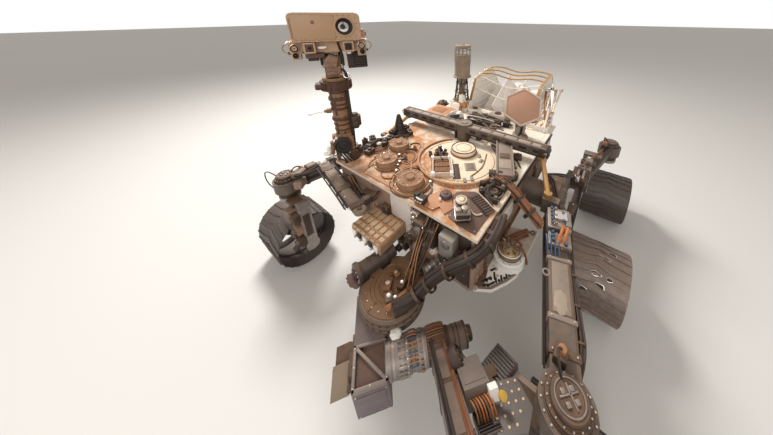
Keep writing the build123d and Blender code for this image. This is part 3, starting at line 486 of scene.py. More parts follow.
node_finishes = (
    # node, finish, edge in metres
    ("body", body_paint, 0.004),
    ("deck", deck_paint, 0.003),
    ("belly_pan", bare_metal, 0.004),
    ("inlet_funnels", cover_paint, 0.003),
    ("inlet_cover_front", cover_paint, 0.003),
    ("inlet_cover_left", cover_paint, 0.003),
    ("inlet_cover_right", cover_paint, 0.003),
    ("differential_beam", grey_tube, 0.006),
    ("differential_links", gold_film, 0.002),
    ("rocker_l", grey_tube, 0.014),
    ("rocker_r", grey_tube, 0.014),
    ("bogie_l", grey_tube, 0.008),
    ("bogie_r", grey_tube, 0.008),
    ("steering_drives", dark_drive, 0.003),
    ("mast_foot", dark_drive, 0.003),
    ("mast_tube", mast_paint, 0.003),
    ("mast_neck", mast_paint, 0.004),
    ("head_bar", head_paint, 0.003),
    ("head_box", head_paint, 0.004),
    ("generator", fin_paint, 0.002),
    ("generator_fins", fin_paint, 0.001),
    ("exchanger_plates", white_paint, 0.003),
    ("tail_frame", bare_metal, 0.003),
    ("dish_post", bare_metal, 0.003),
    ("dish_yoke", bare_metal, 0.003),
    ("dish_plate", dish_paint, 0.003),
    ("relay_antenna", antenna_grey, 0.004),
    ("low_antenna", white_paint, 0.003),
    ("deck_box", white_paint, 0.004),
    ("hazard_cameras", black_coat, 0.002),
    ("front_rail", grey_tube, 0.004),
    ("front_boxes", body_paint, 0.004),
    ("side_shelf", white_paint, 0.003),
    ("side_drum", white_paint, 0.005),
    ("arm_base", arm_metal, 0.004),
    ("arm_upper", arm_metal, 0.006),
    ("arm_fore", arm_metal, 0.006),
    ("wrist", bare_metal, 0.003),
    ("turret_hub", arm_metal, 0.004),
    ("drill", bare_metal, 0.003),
    ("sample_box", bare_metal, 0.004),
    ("contact_sensor", dark_drive, 0.003),
    ("brush", dark_drive, 0.003),
    ("hand_camera", black_coat, 0.003),
    ("knuckle_front_l", bare_metal, 0.004),
    ("knuckle_front_r", bare_metal, 0.004),
    ("knuckle_rear_l", bare_metal, 0.004),
    ("knuckle_rear_r", bare_metal, 0.004),
)
everywhere = 9.0
node_zones = {
    "mast_tube": [((-everywhere, -everywhere, 1.62), (everywhere, everywhere, everywhere), mast_rust)],
    "head_bar": [((-everywhere, -everywhere, 1.70), (everywhere, everywhere, 1.895), black_coat)],
}
for node, finish, edge in node_finishes:
    broken_edges(node, finish, edge, node_zones.get(node, ()))
print(len(node_finishes), "CAD pieces dressed")

# %% [markdown]
# ## Wheels
# Each wheel is one hollow machining: a thin tread with 24 bent lugs, a stiffening ring, and six
# curved spokes that act as springs. The tread is turned from its profile. Each lug is a low bar
# bent to a shallow chevron.

# %% One wheel
wheel_radius = 0.250
lug_height = 0.008
tread_radius = wheel_radius - lug_height
wheel_half = 0.200
lug_count = 24


def lug():
    """A chevron lug: a low bar across the tread, its middle led forward."""
    half = wheel_half - 0.004
    path = ((-half, 0.0), (-0.07, 0.012), (0.0, 0.034), (0.07, 0.012), (half, 0.0))
    width = 0.006
    outline = [(y, x + width) for y, x in path] + [(y, x - width) for y, x in reversed(path)]
    return plate(outline, lug_height + 0.003, 0.001)


def make_wheel():
    """A wheel about its own centre, its axis along y and its outer face towards +y."""
    wheel = bmesh.new()
    half, inner = wheel_half, tread_radius - 0.004
    profile = [(inner, -half), (tread_radius, -half), (tread_radius, half), (inner, half),
               (inner, half - 0.008), (inner - 0.012, half - 0.010), (inner - 0.012, half - 0.014),
               (inner, half - 0.018), (inner, 0.038), (inner - 0.014, 0.034), (inner - 0.014, -0.034),
               (inner, -0.038), (inner, -half)]
    join(wheel, turned(profile, 72), at(0, 0, 0, turn_x=-90))
    for step in range(lug_count):
        place = Matrix.Rotation(2 * math.pi * step / lug_count, 4, "Y")
        lift = Matrix.Translation((0, 0, wheel_radius))
        join(wheel, lug(), place @ lift @ Matrix.Rotation(math.pi / 2, 4, "Z"))
    hub = [(0.020, -0.035), (0.078, -0.035), (0.078, -0.028), (0.066, -0.020), (0.066, 0.010),
           (0.070, 0.016), (0.070, 0.024), (0.030, 0.025), (0.028, 0.018), (0.0, 0.018)]
    join(wheel, turned(hub, 40), at(0, 0, 0, turn_x=-90), 1)
    screws_round(wheel, at(0, 0.025, 0, turn_x=-90), 0.052, 10, 0.005, 2)
    for step in range(6):
        spoke = bmesh.new()
        corners = []
        for turn in range(9):
            share = turn / 8
            reach = 0.070 + share * (inner - 0.012 - 0.070)
            bend = math.radians(4 + 46 * share ** 0.8)
            corners.append(spoke.verts.new((reach * math.cos(bend), -0.035, reach * math.sin(bend))))
        edges = [spoke.edges.new(pair) for pair in zip(corners, corners[1:])]
        grown = bmesh.ops.extrude_edge_only(spoke, edges=edges)
        moved = [v for v in grown["geom"] if isinstance(v, bmesh.types.BMVert)]
        bmesh.ops.translate(spoke, vec=(0, 0.070, 0), verts=moved)
        bmesh.ops.solidify(spoke, geom=spoke.faces[:], thickness=0.006)
        bmesh.ops.recalc_face_normals(spoke, faces=spoke.faces[:])
        join(wheel, spoke, Matrix.Rotation(math.pi / 3 * step, 4, "Y"))
    return wheel


wheels = (
    # name, x, side
    ("wheel_front_l", 1.1, 1), ("wheel_middle_l", 0.0, 1), ("wheel_rear_l", -1.1, 1),
    ("wheel_front_r", 1.1, -1), ("wheel_middle_r", 0.0, -1), ("wheel_rear_r", -1.1, -1),
)
for name, x, side in wheels:
    wheel = make_wheel()
    if side < 0:
        bmesh.ops.scale(wheel, vec=(1, -1, 1), verts=wheel.verts)
        bmesh.ops.reverse_faces(wheel, faces=wheel.faces[:])
    bmesh.ops.translate(wheel, vec=(x, side * 1.150, wheel_radius), verts=wheel.verts)
    # Every wheel but the left middle one takes the darker copy of the wheel finish, which is painted shade.
    tread = wheel_metal if name == "wheel_middle_l" else shaded_wheel_metal
    piece(name + "_machined", name, wheel, [tread, bare_metal, bright_metal], [name])

# %% [markdown]
# ## Small parts that recur
# Lenses, bundles of wire, blankets and chequered straps turn up all over the machine, so each has
# its own helper. A bundle is a few wires that follow one line, each a little off it.

# %% Helpers for lenses, bundles and crumpled film
dice = random.Random(11)
look_along_x = at(0, 0, 0, turn_y=90)


def lens(target, place, radius, rim=0, glass_slot=1):
    """A lens that looks along z: a rim, two dark steps and a curved glass."""
    steps = [(radius, -0.012), (radius, 0.003), (radius * 0.9, 0.005), (radius * 0.82, 0.001),
             (radius * 0.70, -0.001), (radius * 0.66, -0.006), (radius * 0.60, -0.006)]
    join(target, turned(steps, 32), place, rim)
    dome = [(radius * 0.62, -0.007), (radius * 0.45, -0.004), (radius * 0.22, -0.002), (0.0, -0.0015)]
    join(target, turned(dome, 24), place, glass_slot)


def bundle(target, points, count, spread, radius, finish=0):
    """Wires tied side by side along one run."""
    for _ in range(count):
        shift = Vector((dice.uniform(-1, 1), dice.uniform(-1, 1), dice.uniform(-0.6, 0.6))) * spread
        line = []
        for spot in points:
            line.append(Vector(spot) + shift + Vector([dice.uniform(-0.2, 0.2) * spread for _ in range(3)]))
        wire(target, line, radius * dice.uniform(0.75, 1.2), finish)


def crumple(target, place, size, finish=0, detail=3):
    """A piece of crumpled thermal film or tape over something small."""
    shape = bmesh.new()
    bmesh.ops.create_icosphere(shape, subdivisions=detail, radius=0.5)
    for corner in shape.verts:
        corner.co *= dice.uniform(0.82, 1.12)
    bmesh.ops.scale(shape, vec=size, verts=shape.verts)
    join(target, shape, place, finish)


def loop(target, place, radius, thickness, finish=0, sides=28):
    """A round ring of wire or rod that lies in its own xy plane."""
    shape = turned([(radius + thickness * math.cos(a), thickness * math.sin(a))
                    for a in (math.pi / 4 * step for step in range(9))], sides)
    join(target, shape, place, finish)


def ribs(target, place, length, width, count, height, share=0.5, finish=0):
    """Parallel bars across a face: its length is along x and the bars run along y."""
    pitch = length / count
    for step in range(count):
        spot = Matrix.Translation((-length / 2 + pitch * (step + 0.5), 0, height / 2))
        join(target, block(pitch * share, width, height, 0.0006), place @ spot, finish)


def chequered(target, place, length, width, count, light, dark):
    """A strap with light and dark squares in two rows."""
    pitch = length / count
    for step in range(count):
        for row in (0, 1):
            spot = Matrix.Translation((-length / 2 + pitch * (step + 0.5), (row - 0.5) * width / 2, 0.002))
            join(target, block(pitch * 0.96, width * 0.48, 0.004, 0.0004), place @ spot,
                 light if (step + row) % 2 else dark)


# %% [markdown]
# ## Larger fittings
# A few fittings are bigger than trim and still belong to the dressing: the round panel with its
# disc and tray, the sensor and the cone on the deck, the strut under the beam, connector boxes on
# the port leg, the long motor and the braided harness at the arm, and the collars of the mast.

# %% Deck fittings
deck_top = 1.100
panel_top = 1.112
round_x, round_y, round_radius = 0.365, 0.150, 0.310
cut_x = 0.150                  # the round panel ends here, towards the rear
disc_x, disc_y, disc_top = 0.260, 0.125, 1.1495
cone_x, cone_y = 0.330, -0.505
form = bmesh.new()
arc_steps = 56
half_angle = math.acos((cut_x - round_x) / round_radius)
outline = [polar(round_radius, a)
           for a in (-half_angle + 2 * half_angle * k / arc_steps for k in range(arc_steps + 1))]
join(form, plate(outline, 0.013, 0.0015), at(round_x, round_y, panel_top), 0)
wall = turned([(0.296, 0.0), (0.296, 0.010), (0.299, 0.0125), (0.307, 0.0125), (0.310, 0.010),
               (0.310, -0.011), (0.296, -0.011)], 112)
bmesh.ops.bisect_plane(wall, geom=wall.verts[:] + wall.edges[:] + wall.faces[:],
                       plane_co=(cut_x - round_x, 0, 0), plane_no=(1, 0, 0), clear_inner=True)
join(form, wall, at(round_x, round_y, panel_top), 1)
disc = [(0.095, -0.001), (0.095, 0.028), (0.092, 0.034), (0.085, 0.037), (0.0, 0.038)]
join(form, turned(disc, 72), at(disc_x, disc_y, panel_top), 2)
tray_place = at(0.530, 0.112, panel_top, turn_z=39)
for x, y, length, width, height, finish in (
        (0, 0, 0.204, 0.136, 0.010, 4), (0.097, 0, 0.014, 0.140, 0.030, 3),
        (-0.097, 0, 0.014, 0.140, 0.030, 3), (0, 0.063, 0.208, 0.014, 0.030, 3),
        (0, -0.063, 0.208, 0.014, 0.030, 3)):
    join(form, block(length, width, height, 0.002), tray_place @ at(x, y, height / 2 - 0.0005), finish)
sensor_place = at(0.805, 0.450, deck_top, turn_z=39)
join(form, block(0.110, 0.076, 0.062, 0.003), sensor_place @ at(0, 0, 0.030), 5)
join(form, drum(0.030, 0.034, 0.002, 36), sensor_place @ at(-0.022, 0, 0.075), 5)
join(form, drum(0.060, 0.196, 0.003, 32, top=0.012), at(cone_x, cone_y, deck_top + 0.097), 6)
piece("deck_fittings", "deck", form,
      [ring_paint, edge_tan, cream_paint, tray_paint, edge_brown, bare_metal, black_coat])

# %% Strut under the beam
form = bmesh.new()
strut_start, strut_end = Vector((0.050, 0.365, 1.186)), Vector((0.380, 0.520, 1.140))


def run_place(start, end):
    """A place in the middle of a run: x along it, y level across it, z up."""
    start, end = Vector(start), Vector(end)
    forward = (end - start).normalized()
    across = Vector((0, 0, 1)).cross(forward).normalized()
    place = Matrix((forward, across, forward.cross(across))).transposed().to_4x4()
    place.translation = (start + end) / 2
    return place


strut = run_place(strut_start, strut_end)
strut_length = (strut_end - strut_start).length
join(form, block(strut_length + 0.040, 0.112, 0.024, 0.003), strut, 0)
for y in (-0.054, 0.054):
    join(form, block(strut_length + 0.040, 0.010, 0.036, 0.002), strut @ at(0, y, 0.004), 0)
join(form, block(0.052, 0.070, 0.006, 0.001), strut @ at(0.010, 0, 0.014), 1)
join(form, block(0.084, 0.086, 0.005, 0.001), strut @ at(0.100, 0, 0.014), 2)
for x in (-0.150, -0.060, 0.060, 0.150):
    for y in (-0.040, 0.040):
        join(form, screw(0.004, 0.004), strut @ at(x, y, 0.012), 3)
join(form, block(0.090, 0.110, 0.040, 0.004), at(0.372, 0.516, 1.118, turn_z=25), 1)
join(form, drum(0.034, 0.050, 0.004, 28), at(0.345, 0.560, 1.122), 1)
join(form, drum(0.030, 0.090, 0.004, 28), at(0.400, 0.462, 1.126, turn_x=90, turn_z=25), 4)
piece("beam_strut", "differential_beam", form,
      [strut_grey, dark_drive, dust_grey, bright_metal, black_coat])

# %% Connector boxes on the port leg
rocker_start, rocker_end = (0.100, 0.800, 0.880), (1.100, 1.080, 0.800)
leg = run_place(rocker_start, rocker_end)
leg_half = (Vector(rocker_end) - Vector(rocker_start)).length / 2


def on_leg(along, across, up):
    """A place on the port leg: distance from its pivot, then across and up from its axis."""
    return leg @ at(along - leg_half, across, up)


form = bmesh.new()
join(form, block(0.150, 0.126, 0.062, 0.004), on_leg(0.280, 0.0, 0.0815), 0)
join(form, block(0.080, 0.120, 0.044, 0.004), on_leg(0.412, 0.0, 0.072), 0)
join(form, block(0.060, 0.070, 0.020, 0.003), on_leg(0.270, 0.010, 0.122), 1)
join(form, block(0.096, 0.030, 0.014, 0.002), on_leg(0.285, 0.050, 0.118), 2)
for step in range(5):
    for row, finish in ((-0.040, 3), (-0.018, 2), (0.022, 3)):
        if (step + (row > 0)) % 2 == 0 or row < -0.03:
            join(form, drum(0.0085, 0.026, 0.001, 18), on_leg(0.220 + 0.028 * step, row, 0.122), finish)
            join(form, drum(0.0100, 0.006, 0.001, 18), on_leg(0.220 + 0.028 * step, row, 0.118), 1)
for along, across in ((0.380, -0.036), (0.404, -0.036), (0.428, -0.036), (0.440, 0.030)):
    join(form, drum(0.009, 0.022, 0.001, 18), on_leg(along, across, 0.102), 3)
for along in (0.352, 0.362):
    for across in (-0.050, -0.030, -0.010, 0.010, 0.030, 0.050):
        join(form, drum(0.008, 0.024, 0.001, 16), on_leg(along, across, 0.086) @ look_along_x,
             3 if across < 0 else 2)
piece("connector_boxes", "rocker_l", form, [bare_metal, bright_metal, silver_grey, blue_shell])

# %% Motor on the shoulder drum
form = bmesh.new()
motor_start, motor_end = Vector((0.985, 0.077, 0.758)), Vector((1.222, 0.018, 0.758))
motor = between(motor_start, motor_end)
motor_length = (motor_end - motor_start).length
body_line = [(0.0, -motor_length / 2), (0.036, -motor_length / 2), (0.040, -motor_length / 2 + 0.006),
             (0.040, -0.070), (0.045, -0.066), (0.045, 0.085), (0.050, 0.088), (0.050, 0.096),
             (0.058, 0.099), (0.058, motor_length / 2 - 0.004), (0.054, motor_length / 2),
             (0.0, motor_length / 2)]
join(form, turned(body_line, 48), motor, 0)
for low in (-0.060, -0.010, 0.040):
    join(form, ring(0.0470, 0.004, 0.006, 44), motor @ at(0, 0, low), 0)
screws_round(form, motor @ at(0, 0, motor_length / 2), 0.048, 12, 0.004, 2)
end_step = [(0.036, 0.0), (0.034, 0.010), (0.020, 0.012), (0.018, 0.004), (0.0, 0.004)]
join(form, turned(end_step, 36), motor @ at(0, 0, motor_length / 2), 1)
join(form, block(0.060, 0.070, 0.050, 0.004), at(1.060, 0.060, 0.722, turn_z=-13.6), 1)
join(form, block(0.050, 0.080, 0.030, 0.004), at(1.190, 0.028, 0.712, turn_z=-13.6), 1)
crumple(form, at(1.235, 0.016, 0.722), (0.070, 0.110, 0.040), 3)
piece("azimuth_motor", "arm_base", form, [dark_tube, black_coat, bright_metal, brown_plate])

# %% Braided harness from the deck to the arm
form = bmesh.new()
harness = [(0.660, 0.622, 1.060), (0.740, 0.636, 1.052), (0.845, 0.634, 1.042), (0.925, 0.592, 0.995),
           (0.985, 0.480, 0.905), (1.050, 0.400, 0.805), (1.100, 0.365, 0.737), (1.150, 0.350, 0.732),
           (1.200, 0.310, 0.732)]
wire(form, harness, 0.033, 0, 8)
for step in range(3):
    shift = Vector(((-0.010, 0.016, 0.022), (0.018, 0.004, 0.024), (0.006, -0.020, 0.022))[step])
    wire(form, [Vector(p) + shift for p in harness], 0.014, (0, 1, 0)[step], 8)
for x, y, z, turn in ((0.700, 0.602, 1.058, 0), (0.800, 0.606, 1.050, 0)):
    join(form, block(0.030, 0.060, 0.070, 0.004), at(x, y, z, turn_z=turn), 2)
for number in (2, 3, 4, 5, 6):
    place = between(harness[number - 1], harness[number + 1])
    behind, ahead = Vector(harness[number - 1]), Vector(harness[number + 1])
    place.translation = Vector(harness[number]) * 0.5 + (behind + ahead) * 0.25
    join(form, ring(0.046, 0.006, 0.016, 32), place, 2)
join(form, block(0.070, 0.060, 0.040, 0.004), at(1.180, 0.325, 0.716, turn_z=-30), 2)
piece("arm_harness", "arm_base", form, [dark_sleeve, black_wire, dark_drive])

# %% Mast collars and motor
mast_x, mast_y = 0.8, -0.59
form = bmesh.new()
for low, finish in ((1.250, 0), (1.410, 1), (1.560, 1)):
    collar = [(0.056, 0.0), (0.064, 0.002), (0.066, 0.005), (0.066, 0.021), (0.064, 0.024), (0.056, 0.026)]
    join(form, turned(collar, 48), at(mast_x, mast_y, low), finish)
head = at(mast_x, mast_y, 0.0, turn_z=60)
join(form, block(0.050, 0.056, 0.090, 0.006), head @ at(0, 0.080, 1.385), 1)
piece("mast_collars", "mast_tube", form, [mast_paint, mast_rust])

# %% Shoulder bracket with its pockets
drum_x, drum_y = 1.120, 0.200
arm = at(drum_x, drum_y, 0.0, turn_z=50.7)
# an outline's y becomes z, and its depth runs along y
stand = Matrix(((1, 0, 0, 0), (0, 0, 1, 0), (0, 1, 0, 0), (0, 0, 0, 1)))
form = bmesh.new()
back_part = [(-0.060, 0.5997), (-0.060, 0.504), (0.084, 0.360), (0.178, 0.360), (0.178, 0.5997)]
front_part = [(0.176, 0.360), (0.345, 0.360), (0.345, 0.578), (0.176, 0.578)]
for outline in (back_part, front_part):
    join(form, plate(outline, 0.160, 0.004), arm @ at(0, -0.045, 0) @ stand, 0)
for x, y, length, width in (
        (0.338, -0.125, 0.014, 0.160), (0.182, -0.125, 0.014, 0.160), (0.260, -0.198, 0.170, 0.014),
        (0.260, -0.052, 0.170, 0.014)):
    join(form, block(length, width, 0.026, 0.002), arm @ at(x, y, 0.5867), 1)
join(form, block(0.192, 0.014, 0.024, 0.002), arm @ at(0.260, -0.125, 0.5870, turn_z=42.9), 1)
join(form, block(0.140, 0.120, 0.002, 0.0), arm @ at(0.260, -0.125, 0.5790), 2)
join(form, drum(0.120, 0.032, 0.003, 56), arm @ at(0, 0, 0.5837), 0)
lift_drive = [(0.0, -0.052), (0.076, -0.052), (0.076, 0.060), (0.072, 0.064), (0.072, 0.080),
              (0.076, 0.084), (0.076, 0.140), (0.072, 0.1447), (0.0, 0.1447)]
join(form, turned(lift_drive, 56), arm @ at(0.262, 0, 0.575, turn_x=-90), 3)
piece("arm_shoulder_dressed", "arm_shoulder", form,
      [lavender_coat, frame_silver, pocket_floor, silver_grey], ["arm_shoulder"])

# %% [markdown]
# ## Mast head
# The head turns with the mast, so its small parts are placed in a frame of their own: x looks out
# of the cameras, y runs to the head's left, and the origin lies on the mast's axis. The box on top
# has a plain raised panel and a deep round window with a mirror in it. The bar below carries two
# square hoods, two pairs of small lenses, and a black electronics box with cooling ribs.

# %% Mast head
head_front = 0.1205
window_y, window_z, window_radius = 0.100, 2.0472, 0.050
trim = bmesh.new()
join(trim, block(0.004, 0.224, 0.140, 0.0015), head @ at(head_front + 0.002, -0.066, 2.045), 0)
join(trim, drum(0.010, 0.004, 0.001, 20), head @ at(head_front + 0.005, -0.068, 2.074, turn_y=90), 3)
for offset in (-0.1795, -0.1845):
    join(trim, block(0.0022, 0.0016, 0.112, 0.0), head @ at(head_front + 0.001, offset, 2.040), 3)
lip = [(window_radius + 0.010, 0.0), (window_radius + 0.010, 0.004), (window_radius + 0.003, 0.007),
       (window_radius - 0.001, 0.005), (window_radius - 0.001, -0.002)]
join(trim, turned(lip, 56), head @ at(head_front, window_y, window_z) @ look_along_x, 0)
tunnel = [(window_radius - 0.0008, 0.004)]
for depth, inner in ((-0.006, 0.0450), (-0.014, 0.0425), (-0.022, 0.0400), (-0.030, 0.0375)):
    tunnel += [(inner + 0.003, depth + 0.006), (inner + 0.003, depth), (inner, depth - 0.0005)]
tunnel += [(0.034, -0.040), (0.0, -0.0405)]
join(trim, turned(tunnel, 56), head @ at(head_front, window_y, window_z) @ look_along_x, 1)
mirror = [(0.031, -0.0400), (0.030, -0.0372), (0.020, -0.0380), (0.0, -0.0385)]
join(trim, turned(mirror, 40), head @ at(head_front, window_y - 0.003, window_z - 0.003) @ look_along_x, 2)
for reach, radius, slot in ((0.0125, 0.0145, 1), (0.0085, 0.0095, 0), (0.005, 0.0055, 1)):
    join(trim, drum(radius, reach, 0.001, 24),
         head @ at(head_front - 0.036 + reach / 2, window_y - 0.006, window_z - 0.002, turn_y=90), slot)
for step in range(3):
    spread = math.radians(90 + 120 * step)
    vane_y, vane_z = math.cos(spread) * 0.022, math.sin(spread) * 0.022
    join(trim, block(0.002, 0.028, 0.0016, 0.0), head @ at(
            head_front - 0.030, window_y + vane_y, window_z + vane_z)
             @ at(0, 0, 0, turn_x=math.degrees(spread)), 1)
screw_spots = [(0.050, 2.106), (0.050, 2.078), (0.050, 2.050), (0.050, 2.020), (0.050, 1.990),
               (0.072, 2.110), (0.104, 2.112), (0.136, 2.110), (0.166, 2.098), (0.172, 2.064),
               (0.172, 2.030), (0.160, 1.992), (0.128, 1.982), (0.100, 1.980), (0.070, 1.984)]
for y, z in screw_spots:
    join(trim, screw(0.0030, 0.0024), head @ at(head_front, y, z) @ look_along_x, 3)
for y in (-0.168, -0.120, -0.066, -0.012, 0.034):
    for z in (1.981, 2.109):
        join(trim, screw(0.0022, 0.0020), head @ at(head_front + 0.004, y, z) @ look_along_x, 3)
join(trim, block(0.008, 0.376, 0.006, 0.0015), head @ at(head_front + 0.001, 0.0, 1.968), 4)
for y in (-0.150, -0.060, 0.030, 0.052, 0.150):
    join(trim, block(0.010, 0.014, 0.012, 0.0015), head @ at(head_front + 0.001, y, 1.969), 4)
join(trim, block(0.004, 0.005, 0.034, 0.001), head @ at(head_front + 0.001, 0.044, 1.990), 4)
join(trim, block(0.070, 0.024, 0.052, 0.003), head @ at(0.060, 0.205, 2.003), 0)
join(trim, block(0.030, 0.010, 0.026, 0.002), head @ at(0.074, 0.221, 2.000), 3)
for z in (1.988, 2.018):
    join(trim, screw(0.0026, 0.0026), head @ at(0.088, 0.205, z) @ at(0.007, 0, 0) @ look_along_x, 3)
for x in (-0.070, -0.010, 0.050):
    for side in (-1, 1):
        join(trim, screw(0.0030, 0.0030), head @ at(x, side * 0.165, 2.124), 3)
join(trim, block(0.150, 0.300, 0.003, 0.001), head @ at(0.010, 0.0, 2.1250), 0)
piece("head_front", "head_box", trim, [head_panel, dark_bore_and_shade, bright_metal, head_shadow, head_edge])

# %% Camera bar
trim = bmesh.new()
bar_front, lens_z = 0.075, 1.930
for y, opening, frame_wide in ((-0.108, 0.019, 0.044), (0.108, 0.034, 0.044)):
    join(trim, block(0.004, frame_wide, frame_wide, 0.001), head @ at(bar_front + 0.044, y, lens_z), 1)
    join(trim, block(0.003, opening, opening, 0.0), head @ at(bar_front + 0.0456, y, lens_z), 2)
    lens(trim, head @ at(bar_front + 0.049, y, lens_z) @ look_along_x, opening * 0.40, 2, 3)
    for dy, dz in four_corners(0.026, 0.026):
        join(trim, screw(0.0020, 0.0016), head @ at(bar_front + 0.052, y + dy, lens_z + dz) @ look_along_x,
             4)
for y in (-0.188, 0.188):
    lens(trim, head @ at(bar_front + 0.036, y, lens_z) @ look_along_x, 0.0205, 2, 3)
    loop(trim, head @ at(bar_front + 0.020, y, lens_z) @ look_along_x, 0.0215, 0.002, 4)
    drop = 0.034 if y < 0 else 0.030
    join(trim, block(0.060, 0.052, 0.046, 0.004), head @ at(bar_front - 0.030, y, lens_z - drop - 0.014), 0)
    lens(trim, head @ at(bar_front + 0.008, y * 1.02, lens_z - drop - 0.012) @ look_along_x, 0.0150, 2, 3)
    for turn in range(4):
        edge_y = y + 0.019 * (1 if turn % 2 else -1)
        edge_z = lens_z - drop - 0.014 + 0.017 * (1 if turn > 1 else -1)
        join(trim, screw(0.0022, 0.0022), head @ at(bar_front, edge_y, edge_z) @ look_along_x, 4)
for side in (-1, 1):
    arc = []
    for step in range(9):
        angle = math.radians(68 - 17 * step)
        arc.append(head @ Vector(
                (0.050, side * (0.216 + 0.040 * math.cos(angle)), 1.924 + 0.030 * math.sin(angle))))
    wire(trim, arc, 0.0022, 5)
    wire(trim, moved(head, ((0.050, side * 0.200, 1.960), (0.052, side * 0.226, 1.966),
                            (0.056, side * 0.236, 1.952))), 0.0028, 4)
    join(trim, drum(0.007, 0.016, 0.001, 12), head @ at(0.050, side * 0.226, 1.960, turn_x=90), 4)
    join(trim, drum(0.009, 0.014, 0.001, 12), head @ at(0.050, side * 0.224, 1.897, turn_x=90), 2)
join(trim, block(0.030, 0.050, 0.012, 0.003), head @ at(bar_front + 0.004, -0.042, 1.928), 6)
crumple(trim, head @ at(bar_front + 0.010, -0.044, 1.922), (0.016, 0.040, 0.010), 6)
crumple(trim, head @ at(bar_front + 0.012, 0.108, 1.889), (0.022, 0.030, 0.022), 6)
join(trim, block(0.050, 0.105, 0.034, 0.004), head @ at(bar_front - 0.010, -0.088, 1.882), 1)
join(trim, block(0.040, 0.060, 0.022, 0.003), head @ at(bar_front - 0.014, -0.100, 1.858), 2)
bundle(trim, moved(head, (
        (0.080, -0.150, 1.900), (0.086, -0.080, 1.888), (0.080, -0.020, 1.896), (0.070, 0.030, 1.870))), 5,
       0.008, 0.0026, 2)
bundle(trim, moved(head, (
        (0.078, 0.050, 1.955), (0.088, 0.058, 1.905), (0.082, 0.070, 1.860), (0.060, 0.066, 1.800))), 5,
       0.009, 0.0026, 2)
gusset = [(-0.062, 1.800), (0.022, 1.800), (0.040, 1.860), (0.050, 1.957), (0.004, 1.957), (-0.012, 1.880),
          (-0.040, 1.850)]
join(trim, plate(gusset, 0.014),
     head @ at(bar_front - 0.004, 0, 0) @ Matrix(((0, 0, 1, 0), (1, 0, 0, 0), (0, 1, 0, 0), (0, 0, 0, 1))),
     7)
for y, z in ((-0.050, 1.812), (0.012, 1.812), (0.014, 1.944), (0.040, 1.944), (0.024, 1.880)):
    join(trim, screw(0.0032, 0.0028), head @ at(bar_front - 0.004, y, z) @ look_along_x, 4)
cooler_y = 0.156
for step in range(6):
    join(trim, block(0.012, 0.076, 0.0045, 0.001), head @ at(0.044, cooler_y + 0.018, 1.790 + 0.017 * step),
         8)
for step in range(5):
    join(trim, block(0.0035, 0.0035, 0.104, 0.001),
         head @ at(0.047, cooler_y - 0.012 + 0.018 * step, 1.834), 2)
join(trim, block(0.020, 0.040, 0.096, 0.003), head @ at(0.042, 0.114, 1.832), 2)
join(trim, block(0.066, 0.006, 0.100, 0.001), head @ at(0.0, 0.217, 1.836), 8)
for y, z in ((0.150, 1.899), (0.172, 1.902), (0.196, 1.898)):
    join(trim, block(0.020, 0.012, 0.014, 0.001), head @ at(0.046, y, z), 4)
for y, z in ((0.132, 1.888), (0.168, 1.884), (0.206, 1.890)):
    join(trim, drum(0.006, 0.008, 0.001, 10), head @ at(0.052, y, z, turn_y=90), 9)
piece("camera_bar_details", "head_bar", trim, [
        head_edge, bar_brown, dark_bore_and_shade, glass, bright_metal, copper_wire, white_paint, neck_paint,
        cooler_rib, bare_metal])

# %% Neck and mast tube
trim = bmesh.new()
for side in (-1, 1):
    join(trim, plate([(-0.036, 0.0), (0.036, 0.0), (0.030, 0.110), (-0.030, 0.110)], 0.006),
         head @ at(0, side * 0.055 + 0.003, 1.722) @ at(0, 0, 0, turn_x=90), 0)
    for z in (1.735, 1.765, 1.795):
        join(trim, screw(0.003, 0.003), head @ at(0.022, side * 0.058, z) @ at(0, 0, 0, turn_x=-90 * side),
             2)
join(trim, block(0.012, 0.090, 0.060, 0.004), head @ at(0.036, 0, 1.770), 1)
join(trim, block(0.010, 0.050, 0.024, 0.002), head @ at(0.044, -0.008, 1.752), 0)
for y in (-0.036, -0.012, 0.012, 0.036):
    for z in (1.748, 1.792):
        join(trim, screw(0.0028, 0.003), head @ at(0.042, y, z) @ look_along_x, 2)
join(trim, drum(0.030, 0.032, 0.003, 28), head @ at(0.026, 0.0, 1.832, turn_y=90), 1)
screws_round(trim, head @ at(0.042, 0.0, 1.832) @ look_along_x, 0.022, 8, 0.0028, 2)
bundle(trim, moved(head, (
        (0.036, 0.052, 1.776), (0.058, 0.070, 1.752), (0.056, 0.072, 1.722), (0.040, 0.078, 1.706))), 7,
       0.008, 0.0032, 3)
loop(trim, head @ at(0.060, 0.074, 1.738, turn_y=60), 0.019, 0.0042, 2)
crumple(trim, head @ at(0.050, 0.048, 1.742), (0.016, 0.030, 0.020), 4, 2)
piece("neck_details", "mast_neck", trim, [mast_paint, neck_paint, bright_metal, black_wire, head_edge])

